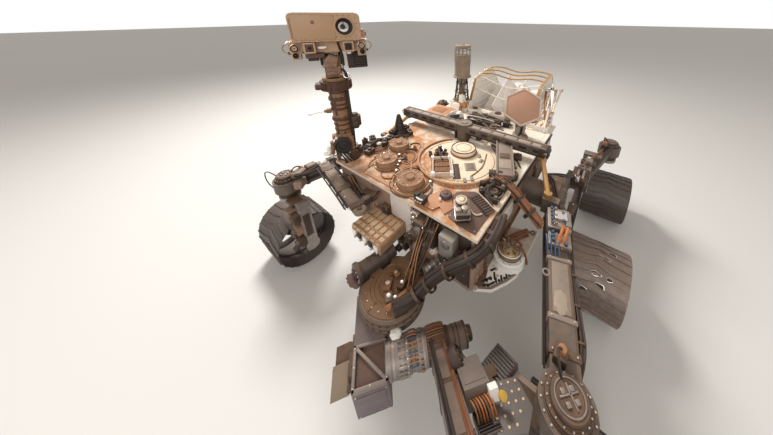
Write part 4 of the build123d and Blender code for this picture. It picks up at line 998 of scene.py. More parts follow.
trim = bmesh.new()
join(trim, block(0.070, 0.046, 0.044, 0.012), head @ at(0.020, -0.104, 1.671), 1)
join(trim, drum(0.018, 0.060, 0.003, 20), head @ at(0.046, -0.098, 1.671, turn_x=90), 1)
for step in range(16):
    angle = math.radians(step * 22.5)
    join(trim, block(0.008, 0.010, 0.050, 0.002),
         head @ at(*polar(0.0985, angle), 1.670, turn_z=math.degrees(angle)), 1)
loop(trim, head @ at(0, 0, 1.643), 0.097, 0.004, 1, 40)
loop(trim, head @ at(0, 0, 1.697), 0.097, 0.004, 1, 40)
bundle(trim, moved(head, (
        (0.030, 0.060, 1.640), (0.030, 0.058, 1.560), (0.032, 0.060, 1.460), (0.034, 0.058, 1.300),
        (0.040, 0.052, 1.190))), 5, 0.008, 0.0060, 3)
for y, z0, z1 in ((-0.046, 1.500, 1.636), (-0.030, 1.452, 1.556), (-0.040, 1.290, 1.400),
                  (0.004, 1.292, 1.330)):
    reach = math.sqrt(0.0575 ** 2 - y ** 2)
    join(trim, block(0.006, 0.014, z1 - z0, 0.002),
         head @ at(reach, y, (z0 + z1) / 2, turn_z=math.degrees(math.asin(y / 0.0575))), 1)
for z, lift in ((1.618, 0.010), (1.532, 0.012), (1.500, 0.018), (1.380, 0.012), (1.340, 0.010),
                (1.290, 0.012)):
    join(trim, ring(0.0585 + dice.uniform(0, 0.002), 0.004, lift), head @ at(0, 0, z), 1)
for z in (1.263, 1.423, 1.573):
    screws_round(trim, head @ at(0, 0, z + 0.013), 0.061, 12, 0.003, 2)
join(trim, block(0.030, 0.034, 0.030, 0.004), head @ at(0.010, -0.074, 1.486), 0)
join(trim, drum(0.011, 0.036, 0.002, 16), head @ at(0.012, -0.088, 1.486, turn_x=90), 0)
boom = moved(head, ((0.012, -0.100, 1.486), (0.014, -0.160, 1.484), (0.016, -0.196, 1.479)))
wire(trim, boom, 0.0055, 4)
join(trim, drum(0.008, 0.024, 0.002, 14), head @ at(0.016, -0.196, 1.479, turn_x=90), 4)
join(trim, drum(0.044, 0.080, 0.006, 28), head @ at(0.004, 0.084, 1.384), 5)
join(trim, drum(0.024, 0.120, 0.004, 24), head @ at(0.010, 0.086, 1.384), 5)
join(trim, drum(0.020, 0.060, 0.003, 20), head @ at(0.040, 0.084, 1.372, turn_y=90), 5)
join(trim, drum(0.058, 0.050, 0.004, 40), head @ at(0.066, -0.025, 1.235, turn_y=90), 6)
face = [(0.058, 0.0), (0.058, 0.006), (0.050, 0.008), (0.048, 0.002), (0.040, 0.001), (0.038, 0.006),
        (0.028, 0.007), (0.026, 0.000), (0.014, -0.002), (0.012, 0.004), (0.0, 0.005)]
join(trim, turned(face, 40), head @ at(0.091, -0.025, 1.235) @ look_along_x, 6)
for step in range(10):
    angle = math.radians(36 * step)
    join(trim, block(0.006, 0.016, 0.004, 0.001),
         head @ at(0.096, -0.025, 1.235) @ Matrix.Rotation(angle, 4, "X") @ at(0, 0.033, 0), 6)
screws_round(trim, head @ at(0.0985, -0.025, 1.235) @ look_along_x, 0.054, 12, 0.0028, 5)
join(trim, block(0.050, 0.130, 0.030, 0.004), head @ at(0.040, -0.020, 1.296), 0)
join(trim, block(0.040, 0.030, 0.110, 0.004), head @ at(0.048, 0.040, 1.230), 0)
join(trim, block(0.036, 0.022, 0.100, 0.004), head @ at(0.052, -0.094, 1.218), 0)
for place, size in (((0.040, -0.132, 1.178), (0.07, 0.060, 0.055)),
                    ((0.052, -0.120, 1.214), (0.04, 0.034, 0.050)),
                    ((0.020, -0.110, 1.150), (0.06, 0.040, 0.040)),
                    ((0.076, -0.012, 1.138), (0.06, 0.080, 0.040)),
                    ((0.070, 0.020, 1.160), (0.03, 0.040, 0.026)),
                    ((0.060, -0.060, 1.292), (0.02, 0.022, 0.030))):
    crumple(trim, head @ at(*place), size, 4)
for step in range(5):
    wire(trim, moved(head, ((0.100 + 0.004 * step, -0.050 + 0.012 * step, 1.180),
                            (0.118, -0.030 + 0.010 * step, 1.150), (0.110, -0.010 + 0.012 * step, 1.105))),
         0.004, 2 if step % 2 else 3)
bundle(trim, moved(head, (
        (0.085, -0.022, 1.180), (0.104, -0.020, 1.140), (0.112, -0.018, 1.100), (0.130, -0.010, 1.050))), 6,
       0.007, 0.004, 3)
screws_round(trim, at(mast_x, mast_y, 1.178), 0.068, 14, 0.004, 2)
piece("mast_details", "mast_tube", trim,
      [mast_paint, mast_rust, bright_metal, black_wire, white_film, dark_drive, green_black])

# %% [markdown]
# ## Deck
# The deck is painted white, and the wind has laid orange dust over its front and starboard side.
# Sample inlets with raised rims stand in the starboard half. A large round panel with a rim
# carries a disc, a framed tray and straps. Toward the front port corner lie a brown plate with
# louvres and a dark equipment area, its darkness painted shade.

# %% Inlets and their rims
def rim(target, x, y, radius, wall, height, squash=1.0, turn=0.0, finish=0, low=None):
    """A raised round or oval rim that stands on the deck."""
    shape = turned([(radius - wall, 0.0), (radius - wall * 0.8, height), (radius - wall * 0.2, height),
                    (radius, 0.0)], 56)
    place = at(x, y, deck_top - 0.001 if low is None else low, turn_z=turn) @ Matrix.Diagonal(
            (1.0, squash, 1.0, 1.0))
    join(target, shape, place, finish)


trim = bmesh.new()
rims = (
    # x, y, radius, wall, height, squash, turn, finish
    (0.775, 0.045, 0.100, 0.010, 0.012, 1.00, 0, 0), (0.770, 0.040, 0.118, 0.009, 0.008, 0.95, 20, 1),
    (0.750, 0.030, 0.146, 0.012, 0.016, 0.88, 30, 0), (0.748, 0.028, 0.162, 0.008, 0.008, 0.88, 30, 2),
    (0.710, -0.250, 0.090, 0.008, 0.012, 1.00, 0, 0), (0.708, -0.246, 0.106, 0.009, 0.008, 0.90, 60, 1),
    (0.500, -0.340, 0.090, 0.008, 0.012, 1.00, 0, 0), (0.505, -0.338, 0.106, 0.009, 0.008, 0.90, 10, 1),
    (0.610, -0.300, 0.052, 0.009, 0.014, 0.80, 60, 0), (0.625, -0.215, 0.064, 0.008, 0.010, 0.70, 40, 1),
    (0.560, -0.180, 0.092, 0.010, 0.012, 0.72, 35, 0), (0.560, -0.180, 0.070, 0.007, 0.008, 0.72, 35, 2),
    (0.660, -0.120, 0.074, 0.009, 0.012, 0.66, 70, 0), (0.790, -0.150, 0.060, 0.008, 0.010, 0.80, 80, 1),
    (0.610, -0.460, 0.070, 0.008, 0.010, 0.75, 20, 1), (0.410, -0.250, 0.060, 0.008, 0.010, 0.85, 50, 2),
)
for x, y, radius, wall, height, squash, turn, finish in rims:
    rim(trim, x, y, radius, wall, height, squash, turn, finish)
for x, y, radius, squash, turn in ((0.750, 0.030, 0.138, 0.88, 30), (0.560, -0.180, 0.084, 0.72, 35),
                                   (0.660, -0.120, 0.067, 0.66, 70), (0.625, -0.215, 0.058, 0.70, 40)):
    flat = drum(radius, 0.003, 0.0, 48)
    join(trim, flat, at(x, y, deck_top + 0.0012, turn_z=turn) @ Matrix.Diagonal((1.0, squash, 1.0, 1.0)), 3)
for number, (x, y) in enumerate(((0.775, 0.045), (0.710, -0.250), (0.500, -0.340))):
    reach = 0.100 if number == 0 else 0.090
    for step in range(12):
        angle = math.radians(30 * step + 15)
        join(trim, screw(0.0036, 0.0035), at(
                x + (reach - 0.004) * math.cos(angle), y + (reach - 0.004) * math.sin(angle),
                deck_top + 0.010), 4)
    arm_turn = (205, 150, 110)[number]
    end = at(x, y, 0, turn_z=arm_turn) @ Vector((reach + 0.045, 0, deck_top + 0.014))
    join(trim, block(0.060, 0.022, 0.012, 0.002),
         at(x, y, deck_top + 0.016, turn_z=arm_turn) @ at(reach + 0.020, 0, 0), 5)
    join(trim, drum(0.016, 0.034, 0.002, 24), at(end.x, end.y, deck_top + 0.016), 5)
    join(trim, drum(0.010, 0.050, 0.002, 18), at(end.x, end.y, deck_top + 0.024), 3)
paths = (((0.590, -0.120, 0.010), (0.660, -0.060, 0.012), (0.700, -0.040, 0.012), (0.720, -0.080, 0.010),
          (0.690, -0.140, 0.010)), (
        (0.510, -0.250, 0.010), (0.560, -0.250, 0.014), (0.610, -0.240, 0.012), (0.650, -0.270, 0.012),
        (0.690, -0.340, 0.010)), (
        (0.430, -0.200, 0.010), (0.460, -0.130, 0.012), (0.510, -0.090, 0.012), (0.570, -0.080, 0.012),
        (0.620, -0.020, 0.010)), (
        (0.830, -0.080, 0.010), (0.850, -0.020, 0.012), (0.860, 0.080, 0.012), (0.850, 0.160, 0.010),
        (0.800, 0.210, 0.010)), (
        (0.690, 0.120, 0.012), (0.730, 0.190, 0.014), (0.780, 0.210, 0.012), (0.820, 0.200, 0.010),
        (0.840, 0.150, 0.010)), (
        (0.820, -0.320, 0.010), (0.780, -0.360, 0.012), (0.720, -0.370, 0.014), (0.650, -0.380, 0.012),
        (0.590, -0.400, 0.010)),)
for number, path in enumerate(paths):
    points = [(x, y, deck_top + z * 0.5) for x, y, z in path]
    wire(trim, points, 0.006, (0, 1, 0, 0, 5, 1)[number])
for x, y, turn in ((0.650, -0.180, 30), (0.585, -0.250, 80), (0.690, -0.160, 110), (0.450, -0.240, 10),
                   (0.740, -0.120, 50), (0.560, -0.290, 130), (0.700, 0.150, 60), (0.640, -0.360, 20)):
    join(trim, block(0.034, 0.016, 0.014, 0.002), at(x, y, deck_top + 0.007, turn_z=turn), 5)
    join(trim, drum(0.009, 0.010, 0.001, 16), at(x, y, deck_top + 0.019), 4)
piece("inlet_rims", "inlet_funnels", trim,
      [edge_tan, edge_brown, edge_dark, dust_brown, bright_metal, fitting_grey])

# %% Inlet covers
for node, x, y, radius in (
        ("inlet_cover_front", 0.775, 0.045, 0.088), ("inlet_cover_left", 0.710, -0.250, 0.078),
        ("inlet_cover_right", 0.500, -0.340, 0.078)):
    trim = bmesh.new()
    cover = frame["nodes"][node]
    high = max((cover.matrix_world @ v.co).z for v in cover.data.vertices) - 0.014
    rim(trim, x, y, radius * 0.97, 0.006, 0.004, 1.0, 0, 0, high)
    rim(trim, x, y, radius * 0.62, 0.006, 0.004, 1.0, 0, 0, high)
    rim(trim, x, y, radius * 0.46, 0.004, 0.003, 1.0, 0, 1, high)
    for step in range(6):
        join(trim, block(radius * 0.30, 0.004, 0.004, 0.0006),
             at(x, y, high + 0.002, turn_z=60 * step) @ at(radius * 0.79, 0, 0), 0)
        spot = at(x, y, high, turn_z=60 * step + 30) @ at(radius * 0.84, 0, 0)
        join(trim, screw(0.003, 0.003), spot, 2)
    piece(node + "_trim", node, trim, [edge_tan, edge_brown, bright_metal])

# %% Round panel, tray and straps
trim = bmesh.new()
for radius, wall, height, finish in (
        (0.306, 0.010, 0.0135, 0), (0.292, 0.005, 0.005, 1), (0.262, 0.003, 0.0025, 1)):
    shape = turned([(radius - wall, 0.0), (radius - wall, height), (radius, height), (radius, 0.0)], 96)
    bmesh.ops.bisect_plane(shape, geom=shape.verts[:] + shape.edges[:] + shape.faces[:],
                           plane_co=(-0.212, 0, 0), plane_no=(1, 0, 0), clear_inner=True)
    join(trim, shape, at(round_x, round_y, panel_top - 0.0005), finish)
for step in range(22):
    angle = math.radians(-132 + 264 / 21 * step)
    join(trim, screw(0.0038, 0.0035),
         at(round_x + 0.301 * math.cos(angle), round_y + 0.301 * math.sin(angle), panel_top + 0.0128), 2)
chequered(trim, at(0.490, 0.172, panel_top, turn_z=38), 0.250, 0.018, 14, 3, 4)
join(trim, block(0.170, 0.052, 0.004, 0.001), at(0.508, 0.216, panel_top + 0.0015, turn_z=38), 4)
join(trim, block(0.088, 0.076, 0.006, 0.001), at(0.408, 0.272, panel_top + 0.003, turn_z=38), 5)
join(trim, block(0.064, 0.050, 0.003, 0.0008), at(0.408, 0.272, panel_top + 0.0070, turn_z=38), 6)
for dx, dy in four_corners(0.036, 0.030):
    join(trim, screw(0.003, 0.003), at(0.408, 0.272, panel_top + 0.006, turn_z=38) @ at(dx, dy, 0), 2)
for dx, dy in four_corners(0.096, 0.062):
    join(trim, block(0.026, 0.024, 0.036, 0.004), tray_place @ at(dx, dy, 0.018), 3)
    join(trim, screw(0.004, 0.004), tray_place @ at(dx, dy, 0.036), 2)
for dy in (-0.036, -0.018, 0.0, 0.018, 0.036):
    join(trim, block(0.172, 0.004, 0.006, 0.001), tray_place @ at(0, dy, 0.013), 1)
for dx in (-0.060, 0.0, 0.060):
    join(trim, block(0.004, 0.108, 0.007, 0.001), tray_place @ at(dx, 0, 0.013), 1)
join(trim, block(0.200, 0.010, 0.008, 0.002), tray_place @ at(0, -0.070, 0.024), 7)
join(trim, block(0.200, 0.010, 0.008, 0.002), tray_place @ at(0, 0.070, 0.024), 3)
rim(trim, disc_x, disc_y, 0.0955, 0.006, 0.005, 1.0, 0, 7, disc_top)
rim(trim, disc_x, disc_y, 0.062, 0.003, 0.002, 1.0, 0, 7, disc_top)
rim(trim, disc_x, disc_y, 0.104, 0.010, 0.012, 1.0, 0, 1, panel_top - 0.0005)
for step in range(8):
    angle = math.radians(45 * step)
    join(trim, screw(0.0035, 0.0035),
         at(disc_x + 0.082 * math.cos(angle), disc_y + 0.082 * math.sin(angle), disc_top), 2)
for x, y, turn, size in ((0.370, 0.020, 20, 0.050), (0.395, -0.030, 60, 0.040), (0.430, -0.010, 10, 0.044),
                         (0.350, -0.030, 80, 0.036), (0.400, 0.060, 30, 0.034), (0.455, -0.050, 50, 0.040)):
    join(trim, block(size, size * 0.6, 0.030, 0.003), at(x, y, panel_top + 0.015, turn_z=turn), 8)
    join(trim, drum(size * 0.24, 0.040, 0.002, 18), at(x, y, panel_top + 0.020), 4)
    join(trim, screw(0.004, 0.004), at(x, y, panel_top + 0.040), 2)
bundle(trim, [(0.350, -0.050, panel_top + 0.030), (0.400, -0.010, panel_top + 0.042),
              (0.440, 0.030, panel_top + 0.034), (0.460, 0.070, panel_top + 0.010)], 5, 0.010, 0.0035, 4)
wire(trim, [(0.310, -0.060, panel_top + 0.010), (0.330, -0.040, panel_top + 0.060),
            (0.372, 0.000, panel_top + 0.062), (0.400, 0.036, panel_top + 0.050)], 0.004, 2)
for x, y, turn in ((0.300, 0.300, 0), (0.250, 0.260, 30), (0.560, 0.320, 40), (0.520, 0.350, 40)):
    join(trim, block(0.040, 0.022, 0.010, 0.002), at(x, y, panel_top + 0.004, turn_z=turn), 5)
    join(trim, screw(0.004, 0.004), at(x, y, panel_top + 0.009), 2)
wire(trim, [(0.190, 0.290, panel_top + 0.003), (0.300, 0.330, panel_top + 0.004),
            (0.400, 0.350, panel_top + 0.004), (0.500, 0.330, panel_top + 0.003)], 0.004, 1)
piece("round_panel_details", "deck", trim, [
        edge_tan, edge_brown, bright_metal, white_film, black_coat, plate_grey, fitting_grey, edge_dark,
        dark_drive])

# %% Sensor, cone and the parts round them
trim = bmesh.new()
join(trim, block(0.114, 0.080, 0.016, 0.002), sensor_place @ at(0, 0, 0.010), 1)
join(trim, block(0.114, 0.080, 0.006, 0.001), sensor_place @ at(0, 0, 0.026), 2)
join(trim, block(0.116, 0.082, 0.008, 0.001), sensor_place @ at(0, 0, 0.054), 0)
for dx, dy in four_corners(0.046, 0.028):
    join(trim, screw(0.0045, 0.005), sensor_place @ at(dx, dy, 0.060), 2)
cap = [(0.0305, 0.082), (0.0305, 0.092), (0.027, 0.094), (0.024, 0.089), (0.016, 0.088), (0.014, 0.094),
       (0.0, 0.096)]
join(trim, turned(cap, 40), sensor_place @ at(-0.022, 0, 0), 3)
loop(trim, sensor_place @ at(-0.022, 0, 0.072), 0.031, 0.002, 1)
loop(trim, sensor_place @ at(-0.022, 0, 0.066), 0.033, 0.003, 0)
join(trim, drum(0.018, 0.030, 0.002, 24), sensor_place @ at(0.034, 0.012, 0.072), 0)
join(trim, block(0.026, 0.030, 0.020, 0.002), sensor_place @ at(0.036, -0.022, 0.070), 0)
join(trim, block(0.010, 0.070, 0.036, 0.001), sensor_place @ at(0.060, 0, 0.030), 1)
join(trim, block(0.004, 0.072, 0.006, 0.001), sensor_place @ at(0.066, 0, 0.032), 2)
skirt = [(0.066, 0.0), (0.068, 0.010), (0.060, 0.018), (0.050, 0.050)]
join(trim, turned(skirt, 36), at(cone_x, cone_y, deck_top), 1)
for level in (0.050, 0.080, 0.110, 0.140, 0.168):
    radius = 0.060 - (0.048 * level / 0.195)
    loop(trim, at(cone_x, cone_y, deck_top + level), radius + 0.001, 0.0022, 4)
for step in range(6):
    angle = math.radians(60 * step)
    foot = Vector((cone_x + 0.060 * math.cos(angle), cone_y + 0.060 * math.sin(angle), deck_top + 0.020))
    tip = Vector((cone_x + 0.014 * math.cos(angle), cone_y + 0.014 * math.sin(angle), deck_top + 0.196))
    wire(trim, [foot, (foot + tip) / 2, tip], 0.0028, 4)
join(trim, drum(0.013, 0.012, 0.003, 18), at(cone_x, cone_y, deck_top + 0.198), 4)
for place, size in (((0.520, -0.560, 0.020), (0.080, 0.044, 0.040)),
                    ((0.465, -0.550, 0.018), (0.050, 0.036, 0.030)),
                    ((0.430, -0.545, 0.022), (0.060, 0.040, 0.040)),
                    ((0.560, -0.520, 0.012), (0.050, 0.040, 0.020)),
                    ((0.385, -0.440, 0.012), (0.050, 0.030, 0.022))):
    crumple(trim, at(place[0], place[1], deck_top + place[2]), size, 5)
clutter = (
    # x, y, turn, length, width, height, finish
    (0.640, -0.520, 20, 0.090, 0.050, 0.060, 4), (0.590, -0.555, 60, 0.060, 0.050, 0.080, 1),
    (0.690, -0.470, 10, 0.070, 0.050, 0.040, 4), (0.540, -0.470, 45, 0.080, 0.040, 0.050, 1),
    (0.470, -0.480, 30, 0.060, 0.050, 0.056, 4), (0.400, -0.520, 15, 0.050, 0.050, 0.070, 1),
    (0.270, -0.440, 60, 0.070, 0.040, 0.044, 4), (0.240, -0.530, 10, 0.060, 0.060, 0.050, 1),
    (0.660, -0.560, 0, 0.040, 0.030, 0.090, 4), (0.370, -0.400, 50, 0.060, 0.030, 0.030, 4),
    (0.720, -0.545, 35, 0.034, 0.034, 0.060, 0),
)
for x, y, turn, length, width, height, finish in clutter:
    join(trim, block(length, width, height, 0.003), at(x, y, deck_top + height / 2 - 0.001, turn_z=turn),
         finish)
    join(trim, drum(min(length, width) * 0.32, 0.014, 0.002, 20), at(x, y, deck_top + height + 0.004), 1)
    for dx in (-0.38, 0.38):
        join(trim, screw(0.0035, 0.004),
             at(x, y, deck_top + height, turn_z=turn) @ at(length * dx, 0, -0.001), 2)
bundle(trim, [(0.730, -0.560, 1.125), (0.660, -0.500, 1.150), (0.580, -0.520, 1.160),
              (0.500, -0.500, 1.140), (0.420, -0.480, 1.130), (0.300, -0.430, 1.110)], 12, 0.016, 0.0040, 4)
bundle(trim,
       [(0.720, -0.500, 1.112), (0.640, -0.440, 1.116), (0.520, -0.420, 1.112), (0.400, -0.380, 1.108)], 6,
       0.010, 0.0035, 6)
piece("deck_parts", "deck", trim,
      [bare_metal, black_coat, bright_metal, cream_paint, dark_drive, white_film, copper_wire])

# %% Plates, patches and louvres of the front port corner
trim = bmesh.new()
plates = (
    # outline, height above the deck, thickness, finish
    (((0.600, 0.425), (0.665, 0.330), (0.745, 0.330), (0.860, 0.400), (0.876, 0.470), (0.876, 0.574),
      (0.690, 0.576), (0.640, 0.520)), 0.0050, 0.004, 0),
    (((0.700, 0.250), (0.790, 0.215), (0.872, 0.236), (0.874, 0.300), (0.830, 0.318), (0.860, 0.372),
      (0.800, 0.392), (0.744, 0.345), (0.690, 0.320)), 0.0085, 0.004, 1),
    # This plate's dark finish is painted shade.
    (((0.440, 0.440), (0.520, 0.400), (0.590, 0.440), (0.630, 0.530), (0.600, 0.576), (0.470, 0.576),
      (0.430, 0.510)), 0.0030, 0.003, 2),
    # This band and the next follow the deck's front edge; their tan is painted highlight of that edge.
    (((0.860, -0.300), (0.876, -0.300), (0.876, 0.200), (0.850, 0.190), (0.838, 0.100), (0.852, -0.100)),
      0.0070, 0.006, 3),
    (((0.640, -0.400), (0.840, -0.330), (0.876, -0.340), (0.876, -0.310), (0.740, -0.330), (0.630, -0.380)),
      0.0065, 0.005, 3),
    (((0.340, -0.260), (0.420, -0.200), (0.500, -0.130), (0.560, -0.090), (0.540, -0.066), (0.460, -0.120),
      (0.380, -0.180), (0.320, -0.230)), 0.0055, 0.005, 3),
)
for outline, lift, thickness, finish in plates:
    join(trim, plate(outline, thickness, 0.001), at(0, 0, deck_top + lift), finish)
    middle_x = sum(p[0] for p in outline) / len(outline)
    middle_y = sum(p[1] for p in outline) / len(outline)
    for x, y in outline:
        join(trim, screw(0.0032, 0.003),
             at(x + (middle_x - x) * 0.09, y + (middle_y - y) * 0.09, deck_top + lift), 4)
comb = at(0.672, 0.505, deck_top + 0.005, turn_z=64)
join(trim, block(0.176, 0.006, 0.008, 0.001), comb @ at(0, 0.034, 0.003), 5)
join(trim, block(0.176, 0.004, 0.006, 0.001), comb @ at(0, -0.034, 0.003), 6)
for step in range(9):
    join(trim, block(0.008, 0.052, 0.005, 0.001), comb @ at(-0.072 + 0.018 * step, 0, 0.0025), 6)
    join(trim, block(0.004, 0.058, 0.009, 0.0008), comb @ at(-0.063 + 0.018 * step, 0, 0.0040), 0)
arc = [(0.742, 0.540, 1.110), (0.766, 0.530, 1.111), (0.772, 0.500, 1.111), (0.752, 0.478, 1.110)]
wire(trim, arc, 0.0045, 5)
rim(trim, 0.545, 0.515, 0.062, 0.007, 0.016, 1.0, 0, 7)
rim(trim, 0.545, 0.515, 0.046, 0.005, 0.022, 1.0, 0, 6)
join(trim, drum(0.034, 0.020, 0.003, 28), at(0.545, 0.515, deck_top + 0.008), 6)
rim(trim, 0.545, 0.515, 0.024, 0.006, 0.022, 1.0, 0, 7)
for x, y, turn, size in (
        (0.470, 0.470, 30, 0.050), (0.495, 0.555, 0, 0.046), (0.585, 0.455, 40, 0.040),
        (0.610, 0.560, 20, 0.040), (0.520, 0.430, 60, 0.036), (0.455, 0.540, 80, 0.034)):
    join(trim, block(size, size * 0.7, 0.034, 0.003), at(x, y, deck_top + 0.016, turn_z=turn), 6)
    join(trim, drum(size * 0.22, 0.044, 0.002, 16), at(x, y, deck_top + 0.021), 7)
bundle(trim, [(0.455, 0.455, 1.118), (0.500, 0.500, 1.130), (0.560, 0.470, 1.128), (0.610, 0.500, 1.116),
              (0.640, 0.560, 1.108)], 9, 0.012, 0.0038, 6)
bundle(trim, [(0.850, 0.575, 1.090), (0.780, 0.590, 1.075), (0.700, 0.592, 1.068), (0.600, 0.592, 1.066)],
       6, 0.007, 0.0040, 6)
join(trim, block(0.040, 0.074, 0.046, 0.003), at(0.858, 0.205, deck_top + 0.024, turn_z=8), 6)
join(trim, block(0.030, 0.030, 0.060, 0.003), at(0.862, 0.180, deck_top + 0.026), 6)
hook = [(0.874, 0.185, 1.140), (0.884, 0.200, 1.146), (0.884, 0.224, 1.146), (0.872, 0.236, 1.140),
        (0.862, 0.224, 1.138)]
wire(trim, hook, 0.005, 8)
for y in (0.186, 0.204, 0.222):
    join(trim, drum(0.007, 0.020, 0.001, 14), at(0.878, y, deck_top + 0.020, turn_y=90), 4)
drum_place = at(0.742, 0.300, deck_top + 0.018)
join(trim, drum(0.040, 0.030, 0.005, 32, top=0.034), drum_place, 9)
join(trim, drum(0.014, 0.040, 0.003, 20), drum_place, 9)
crumple(trim, at(0.790, 0.292, deck_top + 0.018), (0.018, 0.018, 0.022), 8, 2)
copper = [(0.425, 0.470, 1.128), (0.440, 0.560, 1.118), (0.452, 0.650, 1.060), (0.468, 0.725, 1.000),
          (0.480, 0.790, 0.965)]
bundle(trim, copper, 22, 0.026, 0.0052, 10)
bundle(trim, copper, 12, 0.030, 0.0040, 11)
bundle(trim, copper, 6, 0.030, 0.0040, 6)
for share in (1, 2, 3):
    turn_place = between(copper[share - 1], copper[share + 1])
    turn_place.translation = copper[share]
    join(trim, ring(0.046, 0.004, 0.014, 28), turn_place, 6)
piece("deck_front_port", "deck", trim, [
        brown_plate, orange_patch, painted_shade_area, edge_tan, bright_metal, edge_pale, black_wire, fitting_grey,
        white_film, plum_cap, copper_wire, copper_light])

# %% Deck edge, seams and rear deck
trim = bmesh.new()
for step in range(26):
    x = -0.640 + 1.500 / 25 * step
    for y in (-0.566, 0.566):
        if not (0.40 < x < 0.68 and y > 0) and x > -0.62:
            join(trim, screw(0.0042, 0.004), at(x, y, deck_top), 0)
for step in range(18):
    y = -0.52 + 1.04 / 17 * step
    join(trim, screw(0.0042, 0.004), at(-0.645, y, deck_top), 0)
for start, end in (((-0.64, -0.02), (0.0, -0.02)), ((-0.22, 0.56), (-0.22, 0.02)),
                   ((-0.46, 0.56), (-0.46, -0.30)), ((0.14, 0.56), (0.14, -0.56)),
                   ((-0.22, -0.06), (-0.22, -0.54))):
    length = math.dist(start, end)
    place = at((start[0] + end[0]) / 2, (start[1] + end[1]) / 2, deck_top + 0.0008,
               turn_z=math.degrees(math.atan2(end[1] - start[1], end[0] - start[0])))
    join(trim, block(length, 0.010, 0.003, 0.0008), place, 1)
rear_parts = (
    # x, y, turn, length, width, height, finish
    (-0.060, 0.250, 0, 0.120, 0.090, 0.030, 2), (-0.150, 0.180, 20, 0.080, 0.060, 0.090, 3),
    (-0.200, 0.080, 0, 0.110, 0.070, 0.070, 3), (-0.300, 0.020, 30, 0.090, 0.060, 0.110, 4),
    (-0.240, -0.060, 10, 0.100, 0.050, 0.080, 3), (-0.130, 0.040, 45, 0.060, 0.050, 0.120, 4),
    (-0.340, 0.130, 0, 0.070, 0.070, 0.060, 3), (-0.380, -0.120, 60, 0.100, 0.040, 0.070, 3),
    (-0.420, 0.200, 15, 0.120, 0.060, 0.050, 4), (-0.520, 0.060, 0, 0.110, 0.160, 0.060, 2),
    (-0.540, -0.220, 0, 0.100, 0.120, 0.050, 2), (-0.100, -0.140, 15, 0.100, 0.050, 0.100, 3),
    (0.020, 0.130, 0, 0.090, 0.140, 0.020, 2), (-0.080, 0.460, 0, 0.100, 0.080, 0.020, 2),
    (0.090, 0.500, 20, 0.060, 0.060, 0.030, 3), (0.180, 0.480, 35, 0.080, 0.050, 0.024, 4),
    (0.250, 0.540, 0, 0.070, 0.040, 0.020, 2), (-0.560, 0.420, 0, 0.120, 0.120, 0.040, 2),
)
for x, y, turn, length, width, height, finish in rear_parts:
    join(trim, block(length, width, height, 0.003), at(x, y, deck_top + height / 2 - 0.001, turn_z=turn),
         finish)
    join(trim, drum(min(length, width) * 0.3, 0.012, 0.002, 20), at(x, y, deck_top + height + 0.004), 3)
    for dx, dy in four_corners(0.4, 0.36):
        join(trim, screw(0.0035, 0.004),
             at(x, y, deck_top + height - 0.001, turn_z=turn) @ at(length * dx, width * dy, 0), 0)
wedge = plate([(-0.07, 0.0), (0.07, 0.0), (0.02, 0.130), (-0.05, 0.100)], 0.060)
join(trim, wedge, at(-0.090, -0.215, deck_top, turn_z=60) @ at(0, 0, 0, turn_x=90), 4)
for y0, y1, z in ((-0.10, 0.16, 1.205), (-0.06, 0.22, 1.180), (0.00, 0.26, 1.150)):
    wire(trim, [(-0.200, y0, z), (-0.215, (y0 + y1) / 2, z + 0.012), (-0.200, y1, z)], 0.0075, 5)
for path in (((-0.26, 0.22, 1.150), (-0.22, 0.12, 1.190), (-0.26, 0.00, 1.210), (-0.30, -0.10, 1.170),
              (-0.34, -0.20, 1.110)), (
        (-0.10, 0.24, 1.120), (-0.14, 0.12, 1.170), (-0.12, 0.00, 1.210), (-0.14, -0.10, 1.190),
        (-0.12, -0.18, 1.130)),
             ((-0.40, 0.26, 1.120), (-0.38, 0.10, 1.160), (-0.42, -0.02, 1.150), (-0.40, -0.20, 1.120))):
    bundle(trim, path, 7, 0.014, 0.0040, 4)
    bundle(trim, path, 3, 0.018, 0.0046, 5)
wire(trim, [(0.010, 0.240, 1.104), (0.100, 0.300, 1.106), (0.160, 0.420, 1.106), (0.300, 0.500, 1.105)],
     0.005, 6)
wire(trim, [(0.020, 0.260, 1.104), (0.080, 0.380, 1.106), (0.120, 0.520, 1.106), (0.200, 0.560, 1.105)],
     0.006, 4)
orange_spots = ((0.170, 0.400, 0.060), (0.240, 0.470, 0.050), (0.090, 0.440, 0.044))
for x, y, size in orange_spots:
    join(trim, plate([(size * math.cos(a) * dice.uniform(0.7, 1.1),
                       size * 0.6 * math.sin(a) * dice.uniform(0.7, 1.1))
                        for a in (math.radians(36 * k) for k in range(10))], 0.002, 0.0005),
         at(x, y, deck_top + 0.0025, turn_z=30), 7)
piece("deck_rear_parts", "deck", trim,
      [bright_metal, edge_pale, white_paint, dark_drive, black_coat, bare_metal, copper_wire, orange_patch])

# %% [markdown]
# ## Tail
# A finned generator hangs between two heat exchanger plates. Thin pipes run back and forth on the
# plates, and their edges are coated gold. Beside them stand the relay antenna, the white box, the
# small mast and the hexagonal antenna.

